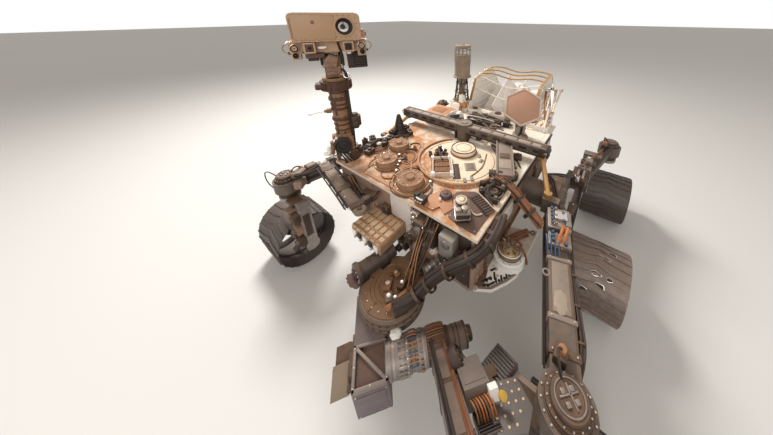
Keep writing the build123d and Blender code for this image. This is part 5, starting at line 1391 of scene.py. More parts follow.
# %% Generator
generator = at(-0.85, 0.0, 0.88, turn_y=-60)
trim = bmesh.new()
for step in range(8):
    fin = generator @ at(0, 0, 0, turn_z=45 * (step + 0.5))
    for row in range(15):
        for side in (-1, 1):
            join(trim, block(0.156, 0.004, 0.006, 0.0), fin @ at(0.216, side * 0.006, 0.060 + 0.034 * row),
                 0)
    wire(trim, moved(fin, ((0.300, 0, 0.034), (0.300, 0, 0.300), (0.300, 0, 0.566))), 0.0065, 1)
    join(trim, block(0.020, 0.018, 0.530, 0.002), fin @ at(0.141, 0, 0.300), 1)
    pipe = generator @ at(0, 0, 0, turn_z=45 * step)
    wire(trim, moved(pipe, ((0.140, 0, 0.020), (0.146, 0, 0.300), (0.140, 0, 0.580))), 0.007, 1)
for low, radius in ((0.002, 0.137), (0.200, 0.1345), (0.400, 0.1345), (0.588, 0.137)):
    join(trim, ring(radius, 0.010, 0.020, 48), generator @ at(0, 0, low + 0.010), 1)
end = [(0.128, 0.0), (0.128, 0.010), (0.112, 0.014), (0.108, 0.004), (0.070, 0.004), (0.066, 0.014),
       (0.030, 0.016), (0.028, 0.008), (0.0, 0.008)]
join(trim, turned(end, 48), generator @ at(0, 0, 0.600), 1)
screws_round(trim, generator @ at(0, 0, 0.612), 0.118, 16, 0.005, 2)
join(trim, turned(end, 48), generator @ at(0, 0, 0.0, turn_x=180), 1)
screws_round(trim, generator @ at(0, 0, -0.012, turn_x=180), 0.118, 16, 0.005, 2)
piece("generator_ribs", "generator_fins", trim, [fin_rib, fin_paint, bright_metal])

# %% Heat exchanger plates
front_edge = ((-0.684, 0.790), (-0.684, 1.150), (-0.800, 1.420), (-1.200, 1.480), (-1.500, 1.180),
              (-1.240, 0.790))


def inside_exchanger(z, inset):
    """The reach of a pipe on the plate at this height, front and back."""
    if z < 1.15:
        front = -0.684
    elif z < 1.42:
        front = -0.684 - (z - 1.15) / 0.27 * 0.116
    else:
        front = -0.800 - (z - 1.42) / 0.06 * 0.400
    back = -1.240 - (z - 0.79) / 0.39 * 0.26 if z < 1.18 else -1.500 + (z - 1.18) / 0.30 * 0.30
    return front - inset, back + inset


trim = bmesh.new()
for side in (-1, 1):
    middle = side * 0.372
    for (x0, z0), (x1, z1) in zip(front_edge, front_edge[1:] + front_edge[:1]):
        length = math.dist((x0, z0), (x1, z1))
        lean = math.degrees(math.atan2(-(z1 - z0), x1 - x0))
        place = at((x0 + x1) / 2, middle, (z0 + z1) / 2, turn_y=lean)
        join(trim, block(length - 0.010, 0.030, 0.005, 0.001), place, 0)
        for step in range(int(length / 0.07)):
            spot = place @ at(-length / 2 + 0.045 + 0.07 * step, side * 0.0155, 0.0)
            join(trim, screw(0.004, 0.004),
                 spot @ at(0, 0, -0.012 if step % 2 else 0.0) @ at(0, 0, 0, turn_x=-90 * side), 3)
    inner = middle - side * 0.0165
    for row in range(10):
        z = 0.850 + 0.062 * row
        front, back = inside_exchanger(z, 0.030)
        wire(trim, [(front, inner, z), ((front + back) / 2, inner, z), (back, inner, z)], 0.006, 1)
        if row:
            last_front, last_back = inside_exchanger(z - 0.062, 0.030)
            if row % 2:
                wire(trim, [(last_back, inner, z - 0.062), (last_back + 0.006, inner, z - 0.031),
                            (back, inner, z)], 0.006, 1)
            else:
                wire(trim, [(last_front, inner, z - 0.062), (last_front - 0.006, inner, z - 0.031),
                            (front, inner, z)], 0.006, 1)
    outer = middle + side * 0.016
    for row in range(7):
        z = 0.880 + 0.080 * row
        front, back = inside_exchanger(z, 0.045)
        join(trim, block(front - back, 0.008, 0.014, 0.001), at((front + back) / 2, outer, z), 1)
        join(trim, block(0.050, 0.012, 0.030, 0.002), at(front - 0.060, outer, z + 0.020), 2)
for x, z, lift in ((-1.200, 1.478, 0.030), (-1.080, 1.462, 0.026), (-0.960, 1.444, 0.022)):
    wire(trim, [(x, -0.372, z), (x - 0.02, -0.240, z + lift), (x - 0.02, 0.0, z + lift * 0.4 - 0.05),
                (x - 0.02, 0.240, z + lift), (x, 0.372, z)], 0.009, 0)
for x, z in ((-0.760, 1.320), (-0.900, 1.420)):
    wire(trim, [(x, -0.366, z), (x - 0.03, -0.250, z - 0.040), (x - 0.05, 0.0, z - 0.120),
                (x - 0.03, 0.250, z - 0.040), (x, 0.366, z)], 0.007, 1)
piece("exchanger_pipes", "exchanger_plates", trim, [gold_film, fin_paint, white_paint, bright_metal])

# %% Frame outboard of the port plate
trim = bmesh.new()
for start, end, radius in (
        ((-0.640, 0.540, 1.100), (-0.900, 0.470, 1.400), 0.010),
        ((-0.460, 0.545, 1.100), (-0.640, 0.520, 1.290), 0.008),
        ((-0.640, 0.530, 1.150), (-1.150, 0.520, 1.330), 0.010),
        ((-1.150, 0.520, 1.330), (-0.900, 0.470, 1.400), 0.010),
        ((-0.640, 0.500, 1.250), (-1.060, 0.440, 1.420), 0.008),
        ((-1.150, 0.520, 1.330), (-1.200, 0.386, 1.300), 0.008),
        ((-0.900, 0.470, 1.400), (-0.930, 0.386, 1.390), 0.008),
        ((-0.560, 0.470, 1.100), (-0.760, 0.400, 1.330), 0.008),
        ((-0.640, 0.560, 1.100), (-0.640, 0.560, 1.240), 0.009),
        ((-0.640, 0.560, 1.240), (-1.000, 0.500, 1.365), 0.007)):
    middle = (Vector(start) + Vector(end)) / 2
    wire(trim, [start, middle, end], radius, 0)
    for spot in (start, end):
        join(trim, drum(radius * 1.7, 0.018, 0.002, 16), at(*spot), 1)
for x, y, z, lean, length, width in (
        (-0.720, 0.500, 1.240, 28, 0.200, 0.110), (-0.950, 0.480, 1.345, 20, 0.160, 0.080),
        (-0.540, 0.520, 1.150, 40, 0.090, 0.070)):
    join(trim, block(length, width, 0.006, 0.001), at(x, y, z, turn_y=lean, turn_x=20), 0)
    for row in range(4):
        join(trim, block(length * 0.92, 0.004, 0.010, 0.0),
             at(x, y, z, turn_y=lean, turn_x=20) @ at(0, -width * 0.36 + width * 0.24 * row, 0.004), 2)
bundle(trim,
       [(-0.500, 0.540, 1.110), (-0.620, 0.500, 1.190), (-0.740, 0.450, 1.290), (-0.880, 0.420, 1.370)], 6,
       0.014, 0.005, 3)
bundle(trim,
       [(-0.600, 0.560, 1.110), (-0.680, 0.540, 1.210), (-0.780, 0.520, 1.300), (-0.900, 0.480, 1.390)], 4,
       0.012, 0.005, 1)
join(trim, block(0.170, 0.140, 0.050, 0.004), at(-0.560, 0.500, 1.122), 0)
for y in (0.450, 0.500, 0.550):
    join(trim, block(0.150, 0.006, 0.012, 0.001), at(-0.560, y, 1.150), 2)
piece("tail_lattice", "exchanger_plates", trim, [white_paint, bright_metal, gold_film, copper_light])

# %% Relay antenna and white box
trim = bmesh.new()
relay = at(-0.590, -0.430, 0.0)
can_high = 1.806
for z, radius, height in (
        (1.604, 0.0885, 0.016), (1.640, 0.0870, 0.006), (1.700, 0.0870, 0.006), (1.760, 0.0870, 0.006),
        (1.792, 0.0885, 0.014)):
    join(trim, ring(radius, 0.004, height, 48), relay @ at(0, 0, z), 0)
cap = [(0.088, 0.0), (0.084, 0.010), (0.060, 0.014), (0.056, 0.010), (0.020, 0.010), (0.016, 0.018),
       (0.0, 0.019)]
join(trim, turned(cap, 48), relay @ at(0, 0, can_high - 0.006), 0)
for step in range(12):
    angle = math.radians(30 * step)
    join(trim, block(0.004, 0.010, 0.150, 0.001), relay @ at(*polar(0.0868, angle), 1.700,
                                                             turn_z=math.degrees(angle)), 0)
for step in range(8):
    angle = math.radians(45 * step)
    low = relay @ Vector((*polar(0.082, angle), 1.206))
    other = math.radians(45 * step + 45)
    high = relay @ Vector((*polar(0.050, other), 1.575))
    wire(trim, [low, (low + high) / 2, high], 0.0055, 1)
    back = relay @ Vector((*polar(0.050, angle - math.pi / 4), 1.575))
    wire(trim, [low, (low + back) / 2, back], 0.0040, 1)
for z, radius in ((1.220, 0.084), (1.300, 0.076), (1.400, 0.066), (1.490, 0.058), (1.570, 0.054)):
    loop(trim, relay @ at(0, 0, z), radius, 0.005, 1)
for x, y, z, length, width, height, finish in (
        (0.040, 0.090, 1.150, 0.120, 0.070, 0.100, 2), (0.100, 0.010, 1.140, 0.070, 0.100, 0.080, 2),
        (0.090, 0.100, 1.180, 0.080, 0.060, 0.060, 3), (0.050, -0.080, 1.150, 0.090, 0.050, 0.090, 2),
        (0.110, 0.070, 1.250, 0.050, 0.050, 0.080, 2)):
    join(trim, block(length, width, height, 0.004), relay @ at(x, y, z), finish)
    for dx in (-0.4, 0.4):
        join(trim, screw(0.004, 0.004), relay @ at(x + length * dx, y, z + height / 2), 4)
bundle(trim, moved(relay, (
        (0.050, 0.040, 1.300), (0.100, 0.050, 1.240), (0.120, 0.060, 1.180), (0.160, 0.080, 1.110))), 6,
       0.012, 0.005, 5)
bundle(trim, moved(relay, (
        (0.060, 0.060, 1.270), (0.090, 0.090, 1.230), (0.070, 0.130, 1.160), (0.080, 0.160, 1.110))), 4,
       0.010, 0.005, 6)
piece("relay_antenna_details", "relay_antenna", trim,
      [antenna_grey, dark_drive, white_paint, gold_film, bright_metal, copper_light, white_film])

trim = bmesh.new()
box_x, box_y = -0.120, -0.375
top = [(-0.104, -0.118), (0.060, -0.122), (0.104, -0.090), (0.100, 0.020), (0.106, 0.110), (0.030, 0.120),
       (-0.020, 0.100), (-0.090, 0.118), (-0.104, 0.040)]
join(trim, plate(top, 0.003, 0.0008), at(box_x, box_y, 1.2325), 0)
join(trim, plate([(x * 0.55 + 0.01, y * 0.6 - 0.01) for x, y in top], 0.004, 0.001),
     at(box_x, box_y, 1.236), 1)
for x in (-0.216, -0.024):
    for y in (-0.486, -0.264):
        join(trim, block(0.018, 0.018, 0.030, 0.002), at(x, y, 1.115), 2)
        join(trim, screw(0.004, 0.004), at(x, y, 1.2302), 3)
for z in (1.125, 1.205):
    join(trim, block(0.003, 0.236, 0.004, 0.0), at(-0.0095, -0.375, z), 4)
join(trim, block(0.110, 0.130, 0.060, 0.006), at(-0.270, -0.330, 1.130), 2)
join(trim, block(0.070, 0.110, 0.090, 0.006), at(-0.060, -0.215, 1.140, turn_z=20), 4)
crumple(trim, at(-0.210, -0.225, 1.165), (0.110, 0.090, 0.110), 5)
bundle(trim,
       [(-0.100, -0.250, 1.200), (-0.090, -0.220, 1.210), (-0.080, -0.180, 1.180), (-0.080, -0.140, 1.110)],
       6, 0.010, 0.004, 6)
piece("deck_box_details", "deck_box", trim,
      [orange_patch, dust_brown, white_paint, bright_metal, fitting_grey, white_film, black_wire])

# %% Hexagonal antenna and small mast
trim = bmesh.new()
dish_data = frame["nodes"]["dish_plate"]
faces = sorted(dish_data.data.polygons, key=lambda f: -f.area)
normal = (dish_data.matrix_world.to_3x3() @ faces[0].normal).normalized()
if normal.x < 0:
    normal = -normal
reach_along = max((dish_data.matrix_world @ v.co).dot(normal) for v in dish_data.data.vertices)
rim_points = [dish_data.matrix_world @ v.co for v in dish_data.data.vertices]
rim_points = [p for p in rim_points if abs(p.dot(normal) - reach_along) < 0.0005]
dish_middle = sum(rim_points, Vector()) / len(rim_points) - home
corner = max(rim_points, key=lambda p: (p - home - dish_middle).length) - home - dish_middle
side_axis = corner.normalized()
up_axis = normal.cross(side_axis)
dish = Matrix((side_axis, up_axis, normal)).transposed().to_4x4()
dish.translation = dish_middle
size = corner.length
hexagon = [polar(size, math.radians(60 * k)) for k in range(6)]
join(trim, plate([(x * 0.86, y * 0.86) for x, y in hexagon], 0.004, 0.001), dish @ at(0, 0, 0.003), 0)
for (x0, y0), (x1, y1) in zip(hexagon, hexagon[1:] + hexagon[:1]):
    place = at((x0 + x1) * 0.5 * 0.955, (y0 + y1) * 0.5 * 0.955, 0.002,
               turn_z=math.degrees(math.atan2(y1 - y0, x1 - x0)))
    join(trim, block(size * 0.93, 0.012, 0.006, 0.001), dish @ place, 1)
    for share in (0.2, 0.5, 0.8):
        join(trim, screw(0.0032, 0.003),
             dish @ at((x0 + (x1 - x0) * share) * 0.93, (y0 + (y1 - y0) * share) * 0.93, 0.000), 2)
back = dish @ at(0, 0, -0.025)
for step in range(6):
    spot = at(0, 0, 0, turn_z=60 * step) @ at(size * 0.42, 0, -0.005)
    join(trim, block(size * 0.72, 0.012, 0.014, 0.001), back @ spot, 3)
join(trim, ring(size * 0.50, 0.010, 0.012, 40), back @ at(0, 0, -0.005), 3)
piece("antenna_face", "dish_plate", trim, [dish_face, dish_rim, bright_metal, white_paint])

trim = bmesh.new()
post_x, post_y = -0.280, 0.380
for z, radius, height in ((1.112, 0.062, 0.020), (1.180, 0.049, 0.010), (1.225, 0.052, 0.014)):
    join(trim, drum(radius, height, 0.003, 36), at(post_x, post_y, z), 0)
screws_round(trim, at(post_x, post_y, 1.122), 0.055, 10, 0.004, 1)
bundle(trim,
       [(-0.240, 0.405, 1.230), (-0.225, 0.410, 1.180), (-0.215, 0.400, 1.130), (-0.170, 0.380, 1.108)], 7,
       0.008, 0.004, 2)
join(trim, block(0.080, 0.060, 0.050, 0.003), at(-0.190, 0.440, 1.125), 3)
join(trim, block(0.070, 0.110, 0.018, 0.002), at(-0.060, 0.385, 1.128, turn_z=20), 4)
piece("dish_post_details", "dish_post", trim,
      [bare_metal, bright_metal, black_wire, dark_drive, white_film])

trim = bmesh.new()
low_x, low_y = -0.560, 0.160
for z, radius in ((1.116, 0.034), (1.160, 0.025), (1.200, 0.025), (1.240, 0.028)):
    join(trim, ring(radius, 0.006, 0.012, 28), at(low_x, low_y, z), 0)
join(trim, turned([(0.041, 0.0), (0.036, 0.012), (0.010, 0.020), (0.0, 0.021)], 32),
     at(low_x, low_y, 1.288), 0)
screws_round(trim, at(low_x, low_y, 1.121), 0.029, 6, 0.004, 1)
piece("low_antenna_details", "low_antenna", trim, [white_paint, bright_metal])

# %% Body sides and belly
trim = bmesh.new()
for side in (-1, 1):
    for step in range(4):
        z = 0.722 + 0.096 * step
        join(trim, block(1.380, 0.006, 0.010, 0.001), at(0.110, side * 0.5822, z), 0)
    for x in (-0.560, -0.300, -0.040, 0.360, 0.620, 0.840):
        join(trim, block(0.014, 0.008, 0.340, 0.001), at(x, side * 0.5830, 0.890), 0)
        for z in (0.760, 0.840, 0.940, 1.040):
            join(trim, screw(0.004, 0.004), at(x, side * 0.5870, z) @ at(0, 0, 0, turn_x=-90 * side), 1)
    for x, z, length, height, finish in (
            (-0.420, 0.960, 0.180, 0.120, 2), (-0.180, 0.880, 0.140, 0.160, 3),
            (0.480, 0.940, 0.160, 0.110, 2), (0.700, 0.820, 0.120, 0.120, 3),
            (-0.600, 0.840, 0.080, 0.120, 3)):
        join(trim, block(length, 0.020, height, 0.003), at(x, side * 0.592, z), finish)
        for dx, dz in four_corners(0.42, 0.40):
            join(trim, screw(0.004, 0.004),
                 at(x + length * dx, side * 0.602, z + height * dz) @ at(0, 0, 0, turn_x=-90 * side), 1)
    bundle(trim, [(-0.600, side * 0.592, 1.040), (-0.300, side * 0.594, 1.050),
                  (0.100, side * 0.594, 1.030), (0.500, side * 0.594, 1.045), (0.820, side * 0.592, 1.030)],
           6, 0.006, 0.0045, 4)
    bundle(trim, [(-0.500, side * 0.592, 0.760), (-0.100, side * 0.592, 0.740),
                  (0.300, side * 0.592, 0.750), (0.760, side * 0.592, 0.740)], 4, 0.006, 0.0045, 5)
for y, z, width, height, finish in (
        (-0.400, 0.900, 0.160, 0.180, 2), (0.420, 0.900, 0.160, 0.180, 2), (0.0, 0.760, 0.300, 0.080, 3)):
    join(trim, block(0.020, width, height, 0.003), at(-0.668, y, z), finish)
    for dy, dz in four_corners(0.42, 0.40):
        join(trim, screw(0.004, 0.004), at(-0.678, y + width * dy, z + height * dz, turn_y=-90), 1)
piece("body_side_parts", "body", trim,
      [body_paint, bright_metal, white_paint, fitting_grey, black_wire, copper_wire])
trim = bmesh.new()
for step in range(9):
    x = -0.52 + 1.26 / 8 * step
    for y in (-0.480, -0.240, 0.0, 0.240, 0.480):
        join(trim, screw(0.005, 0.004), at(x, y, 0.638, turn_x=180), 0)
for y in (-0.360, -0.120, 0.120, 0.360):
    join(trim, block(1.300, 0.030, 0.006, 0.002), at(0.110, y, 0.6365), 1)
for x in (-0.300, 0.110, 0.520):
    join(trim, block(0.030, 1.000, 0.006, 0.002), at(x, 0.0, 0.6365), 1)
piece("belly_ribs", "belly_pan", trim, [bright_metal, bare_metal])

# %% [markdown]
# ## Beam, legs and wheels
# The grey beam joins both sides of the suspension over the deck. Its faces are slotted to save
# weight. Cables are clipped along the legs, and each drive wears a cap with a ring of bolts.

# %% Beam and its links
trim = bmesh.new()
for x in (0.014, 0.086):
    join(trim, block(0.010, 1.376, 0.007, 0.001), at(x, 0, 1.2385), 0)
for step in range(13):
    y = -0.630 + 0.105 * step
    if abs(y) > 0.09:
        join(trim, block(0.003, 0.056, 0.022, 0.001), at(0.0925, y, 1.206), 1)
        join(trim, block(0.003, 0.056, 0.022, 0.001), at(0.0075, y, 1.206), 1)
        join(trim, block(0.040, 0.090, 0.003, 0.001), at(0.050, y, 1.2365), 5)
    for z in (1.184, 1.227):
        join(trim, screw(0.0036, 0.003), at(0.092, y + 0.040, z) @ look_along_x, 3)
join(trim, block(0.008, 1.370, 0.012, 0.001), at(0.094, 0, 1.176), 1)
cap_line = [(0.066, 0.0), (0.066, 0.004), (0.054, 0.006), (0.052, 0.002), (0.030, 0.002), (0.028, 0.010),
            (0.0, 0.010)]
join(trim, turned(cap_line, 56), at(0.050, 0, 1.2505), 0)
screws_round(trim, at(0.050, 0, 1.256), 0.060, 12, 0.0036, 3)
for y in (-0.060, 0.060):
    join(trim, plate([(-0.045, 0), (0.045, 0), (0.030, 0.100), (-0.030, 0.100)], 0.010, 0.002),
         at(0.056, y, 1.170, turn_y=180) @ stand, 2)
for side in (1, -1):
    join(trim, block(0.092, 0.044, 0.072, 0.004), at(0.050, side * 0.666, 1.204), 2)
    join(trim, drum(0.022, 0.084, 0.002, 32), at(0.050, side * 0.690, 1.204, turn_y=90), 1)
    join(trim, drum(0.012, 0.100, 0.002, 24), at(0.050, side * 0.690, 1.204, turn_y=90), 3)
join(trim, block(0.060, 0.090, 0.004, 0.001), at(0.010, 0.250, 1.165), 4)
piece("beam_details", "differential_beam", trim,
      [strut_grey, black_coat, dark_drive, bright_metal, white_film, dust_grey])

# %% Legs with clamps, cables and caps
hub_cap = [(0.090, 0.0), (0.088, 0.008), (0.070, 0.010), (0.068, 0.003), (0.044, 0.003), (0.042, 0.012),
           (0.022, 0.014), (0.0, 0.014)]
for side, letter in ((1, "l"), (-1, "r")):
    side_leg = run_place(mirrored(rocker_start, side), mirrored(rocker_end, side))

    def along_leg(along, across, up):
        """As on_leg, for the leg of either side; across grows outwards."""
        return side_leg @ at(along - leg_half, side * across, up)

    trim = bmesh.new()
    for along, length, finish in (
            (0.150, 0.050, 1), (0.500, 0.022, 2), (0.780, 0.022, 2), (0.900, 0.030, 1)):
        join(trim, block(length, 0.122, 0.112, 0.004), along_leg(along, 0, 0), finish)
        for across in (-0.046, 0.046):
            join(trim, screw(0.0045, 0.004), along_leg(along, across, 0.056), 3)
    # The pale plate and the pale crumple on top of the leg are painted highlight: they stand for light
    # caught by the tube's top.
    join(trim, block(0.240, 0.078, 0.004, 0.001), along_leg(0.640, 0, 0.051), 2)
    crumple(trim, along_leg(0.715, -0.004, 0.053), (0.110, 0.060, 0.010), 10)
    for up in (0.051, 0.030):
        join(trim, block(0.760, 0.005, 0.005, 0.001), along_leg(0.540, 0.050, up), 1)
    loop(trim, along_leg(0.590, -0.066, 0.048), 0.016, 0.005, 2, 28)
    for low, spread, radius, finish in (
            (0.034, 0.010, 0.0055, 5), (0.004, 0.010, 0.0045, 6), (-0.024, 0.010, 0.0060, 5)):
        run = [along_leg(a, 0.068 + 0.006 * math.sin(a * 9), low).translation for a in (
                0.160, 0.300, 0.450, 0.600, 0.760, 0.880)]
        run.append(along_leg(0.960, 0.044, low - 0.010).translation)
        bundle(trim, run, 4, spread, radius, finish)
    bundle(trim, [along_leg(a, -0.066, 0.010 - 0.02 * a).translation for a in (
            0.200, 0.400, 0.600, 0.800, 0.940)], 4, 0.008, 0.0045, 5)
    for a in (0.240, 0.380, 0.560, 0.700, 0.840):
        join(trim, block(0.010, 0.030, 0.086, 0.003), along_leg(a, 0.066, 0.004), 1)
    cap = at(0.100, side * 0.861, 0.880, turn_x=-90 * side)
    join(trim, turned(hub_cap, 60), cap, 1)
    screws_round(trim, cap @ at(0, 0, 0.010), 0.079, 14, 0.0045, 3)
    for x, z, length, height, finish in (
            (0.030, 0.965, 0.120, 0.070, 1), (-0.060, 0.940, 0.080, 0.060, 2),
            (0.110, 0.990, 0.060, 0.040, 7)):
        join(trim, block(length, 0.090, height, 0.004), at(x, side * 0.780, z - 0.010), finish)
        join(trim, screw(0.005, 0.005), at(x, side * 0.780, z + height / 2 - 0.010), 3)
    run = [(0.060, side * 0.700, 1.020), (0.090, side * 0.760, 1.030), (0.160, side * 0.800, 0.990),
           (0.240, side * 0.846, 0.950)]
    bundle(trim, run, 8, 0.016, 0.0055, 6)
    bundle(trim, [(0.000, side * 0.700, 0.980), (-0.060, side * 0.790, 0.990),
                  (-0.200, side * 0.840, 0.900), (-0.420, side * 0.860, 0.790)], 7, 0.014, 0.0055, 5)
    if side > 0:
        for shift in (0.0, 0.026):
            wire(trim, [along_leg(0.330, 0.046 - shift, 0.108).translation,
                        along_leg(0.365, 0.040 - shift, 0.136).translation,
                        along_leg(0.405, 0.026 - shift, 0.126).translation,
                        along_leg(0.450, 0.010 - shift, 0.070).translation], 0.0085, 8)
        for shift in (-0.02, 0.0, 0.02, 0.04):
            wire(trim, [along_leg(0.400, -0.050 + shift, 0.098).translation,
                        along_leg(0.450, -0.046 + shift, 0.110).translation,
                        along_leg(0.490, -0.040 + shift, 0.058).translation], 0.0045, 9)
    else:
        for x, y, z, turn, length, width, height, finish in (
                (1.020, -1.000, 0.890, 20, 0.110, 0.080, 0.050, 7),
                (0.930, -0.985, 0.900, 0, 0.080, 0.070, 0.060, 1),
                (1.060, -0.920, 0.850, 40, 0.090, 0.060, 0.060, 7),
                (0.860, -0.930, 0.920, 15, 0.060, 0.050, 0.040, 4)):
            join(trim, block(length, width, height, 0.004), at(x, y, z, turn_z=turn), finish)
            join(trim, block(length * 0.7, width * 0.6, 0.006, 0.001),
                 at(x, y, z + height / 2, turn_z=turn), 2)
        for start in (0.0, 0.02, 0.04):
            bundle(trim, [(0.760, -0.900 + start, 0.930), (0.860, -0.880 + start, 0.960),
                          (0.980, -0.900 + start, 0.930), (1.080, -0.950, 0.880 + start)], 5, 0.012, 0.005,
                   5)
        wire(trim, [(1.130, -1.150, 0.850), (1.180, -1.240, 0.930), (1.190, -1.280, 0.800),
                    (1.160, -1.200, 0.700), (1.120, -1.140, 0.720)], 0.0045, 5)
    piece("rocker_" + letter + "_details", "rocker_" + letter, trim, [
            grey_tube, dark_drive, strut_grey, bright_metal, white_front, black_wire, dark_sleeve,
            tan_front, orange_sleeve, blue_shell, dust_grey])

    trim = bmesh.new()
    cap = at(-0.500, side * 0.965, 0.690, turn_x=-90 * side)
    join(trim, turned(hub_cap, 60), cap @ Matrix.Diagonal((0.84, 0.84, 1, 1)), 1)
    screws_round(trim, cap @ at(0, 0, 0.010), 0.066, 12, 0.0045, 2)
    hardware = (
        # x, y, z, lean about y, length, width, height, finish
        (-0.420, 0.900, 0.790, 10, 0.170, 0.110, 0.080, 1),
        (-0.560, 0.930, 0.800, -8, 0.130, 0.090, 0.070, 0),
        (-0.380, 0.930, 0.850, 4, 0.120, 0.018, 0.016, 3),
        (-0.380, 0.890, 0.850, 4, 0.120, 0.018, 0.016, 3),
        (-0.680, 0.960, 0.800, -9, 0.160, 0.080, 0.060, 1),
        (-0.620, 0.940, 0.850, 0, 0.060, 0.060, 0.050, 3),
        (-0.820, 1.000, 0.820, -9, 0.100, 0.070, 0.050, 0),
        (-0.260, 0.910, 0.560, 50, 0.110, 0.066, 0.040, 1),
        (-0.140, 0.910, 0.430, 50, 0.100, 0.070, 0.034, 0),
    )
    for x, y, z, lean, length, width, height, finish in hardware:
        spot = at(x, side * y, z, turn_y=lean)
        join(trim, block(length, width, height, 0.004), spot, finish)
        for dx in (-0.4, 0.4):
            join(trim, screw(0.0045, 0.004), spot @ at(length * dx, 0, height / 2), 2)
    for x, y, z, radius, height in (
            (-0.470, 0.900, 0.850, 0.030, 0.060), (-0.330, 0.890, 0.830, 0.022, 0.050),
            (-0.600, 0.900, 0.850, 0.024, 0.040)):
        join(trim, drum(radius, height, 0.003, 32), at(x, side * y, z), 2 if radius < 0.023 else 3)
        join(trim, drum(radius * 0.6, 0.012, 0.002, 24), at(x, side * y, z + height / 2 + 0.004), 1)
    bundle(trim, [(-0.400, side * 0.930, 0.840), (-0.600, side * 0.985, 0.800),
                  (-0.850, side * 1.050, 0.840), (-1.020, side * 1.090, 0.870)], 7, 0.012, 0.0055, 4)
    bundle(trim, [(-0.440, side * 0.880, 0.840), (-0.520, side * 0.900, 0.880),
                  (-0.700, side * 0.950, 0.850), (-0.960, side * 1.020, 0.860)], 4, 0.010, 0.0045, 5)
    bundle(trim, [(-0.440, side * 0.940, 0.740), (-0.300, side * 0.944, 0.620),
                  (-0.160, side * 0.944, 0.480), (-0.050, side * 0.944, 0.330)], 5, 0.008, 0.0050, 4)
    piece("bogie_" + letter + "_details", "bogie_" + letter, trim,
          [fitting_grey, dark_drive, bright_metal, silver_grey, black_wire, copper_wire])

# %% Steering caps
trim = bmesh.new()
for x in (1.100, -1.100):
    for side in (1, -1):
        top = at(x, side * 1.080, 0.892)
        cap_line = [(0.0650, -0.020), (0.0660, -0.004), (0.0620, 0.002), (0.0500, 0.003), (0.0480, -0.001),
                    (0.0460, 0.004), (0.0, 0.004)]
        join(trim, turned(cap_line, 64), top, 1)
        join(trim, ring(0.052, 0.005, 0.008, 56), top @ at(0, 0, 0.003), 2)
        for turn in (0, 90):
            join(trim, block(0.070, 0.006, 0.007, 0.001),
                 top @ at(0, 0, 0.005, turn_z=45 + turn) @ at(0, 0.006, 0), 2)
        for dx, dy in four_corners(1, 1):
            join(trim, block(0.016, 0.016, 0.010, 0.002),
                 top @ at(0, 0, 0.006, turn_z=45) @ at(dx * 0.017, dy * 0.017, 0), 2)
        screws_round(trim, top @ at(0, 0, -0.0195), 0.0715, 16, 0.0036, 3)
        screws_round(trim, at(x, side * 1.080, 0.8485), 0.089, 16, 0.0042, 3)
        for z, radius in ((0.856, 0.0815), (0.722, 0.0805), (0.740, 0.0800)):
            join(trim, ring(radius, 0.005, 0.006, 64), at(x, side * 1.080, z), 1)
        inward = -1 if x > 0 else 1
        join(trim, block(0.060, 0.050, 0.050, 0.004), at(x + inward * 0.110, side * 1.030, 0.876), 1)
        join(trim, drum(0.016, 0.030, 0.002, 28), at(x + inward * 0.110, side * 1.030, 0.910), 4)
        wire(trim, [(x + inward * 0.110, side * 1.030, 0.915), (x + inward * 0.090, side * 1.010, 0.955),
                    (x + inward * 0.040, side * 1.030, 0.940), (x + inward * 0.030, side * 1.050, 0.880)],
             0.0055, 5)
piece("steering_details", "steering_drives", trim,
      [rail_grey, dark_drive, silver_grey, bright_metal, copper_light, black_wire])

# %% Knuckles
for x, front in ((1.100, "front"), (-1.100, "rear")):
    for side, letter in ((1, "l"), (-1, "r")):
        trim = bmesh.new()
        for z in (0.340, 0.440, 0.540, 0.630):
            for dx in (-0.034, 0.034):
                join(trim, screw(0.0042, 0.004), at(x + dx, side * 0.870, z, turn_x=90 * side), 1)
        join(trim, block(0.052, 0.006, 0.220, 0.002), at(x, side * 0.868, 0.470), 0)
        screws_round(trim, at(x, side * 1.080, 0.6745), 0.070, 10, 0.004, 1)
        bundle(trim, [(x + 0.030, side * 0.905, 0.690), (x + 0.050, side * 0.905, 0.560),
                      (x + 0.050, side * 0.905, 0.420), (x + 0.030, side * 0.910, 0.310)], 4, 0.006, 0.0045,
               2)
        name = "knuckle_" + front + "_" + letter
        if front == "front":
            for low, high, width, finish in (
                    (0.300, 0.380, 0.090, 0), (0.420, 0.500, 0.070, 4), (0.540, 0.620, 0.084, 0)):
                join(trim, block(0.050, width, high - low, 0.004),
                     at(x + 0.066, side * 0.900, (low + high) / 2), finish)
                join(trim, drum(0.022, 0.030, 0.002, 28),
                     at(x + 0.100, side * 0.900, (low + high) / 2, turn_y=90), 3)
            join(trim, block(0.090, 0.110, 0.030, 0.004), at(x + 0.020, side * 0.960, 0.688), 0)
            join(trim, block(0.070, 0.080, 0.012, 0.002), at(x + 0.070, side * 0.940, 0.650), 4)
        piece(name + "_details", name, trim,
              [dark_drive, bright_metal, black_wire, fitting_grey, tan_front])
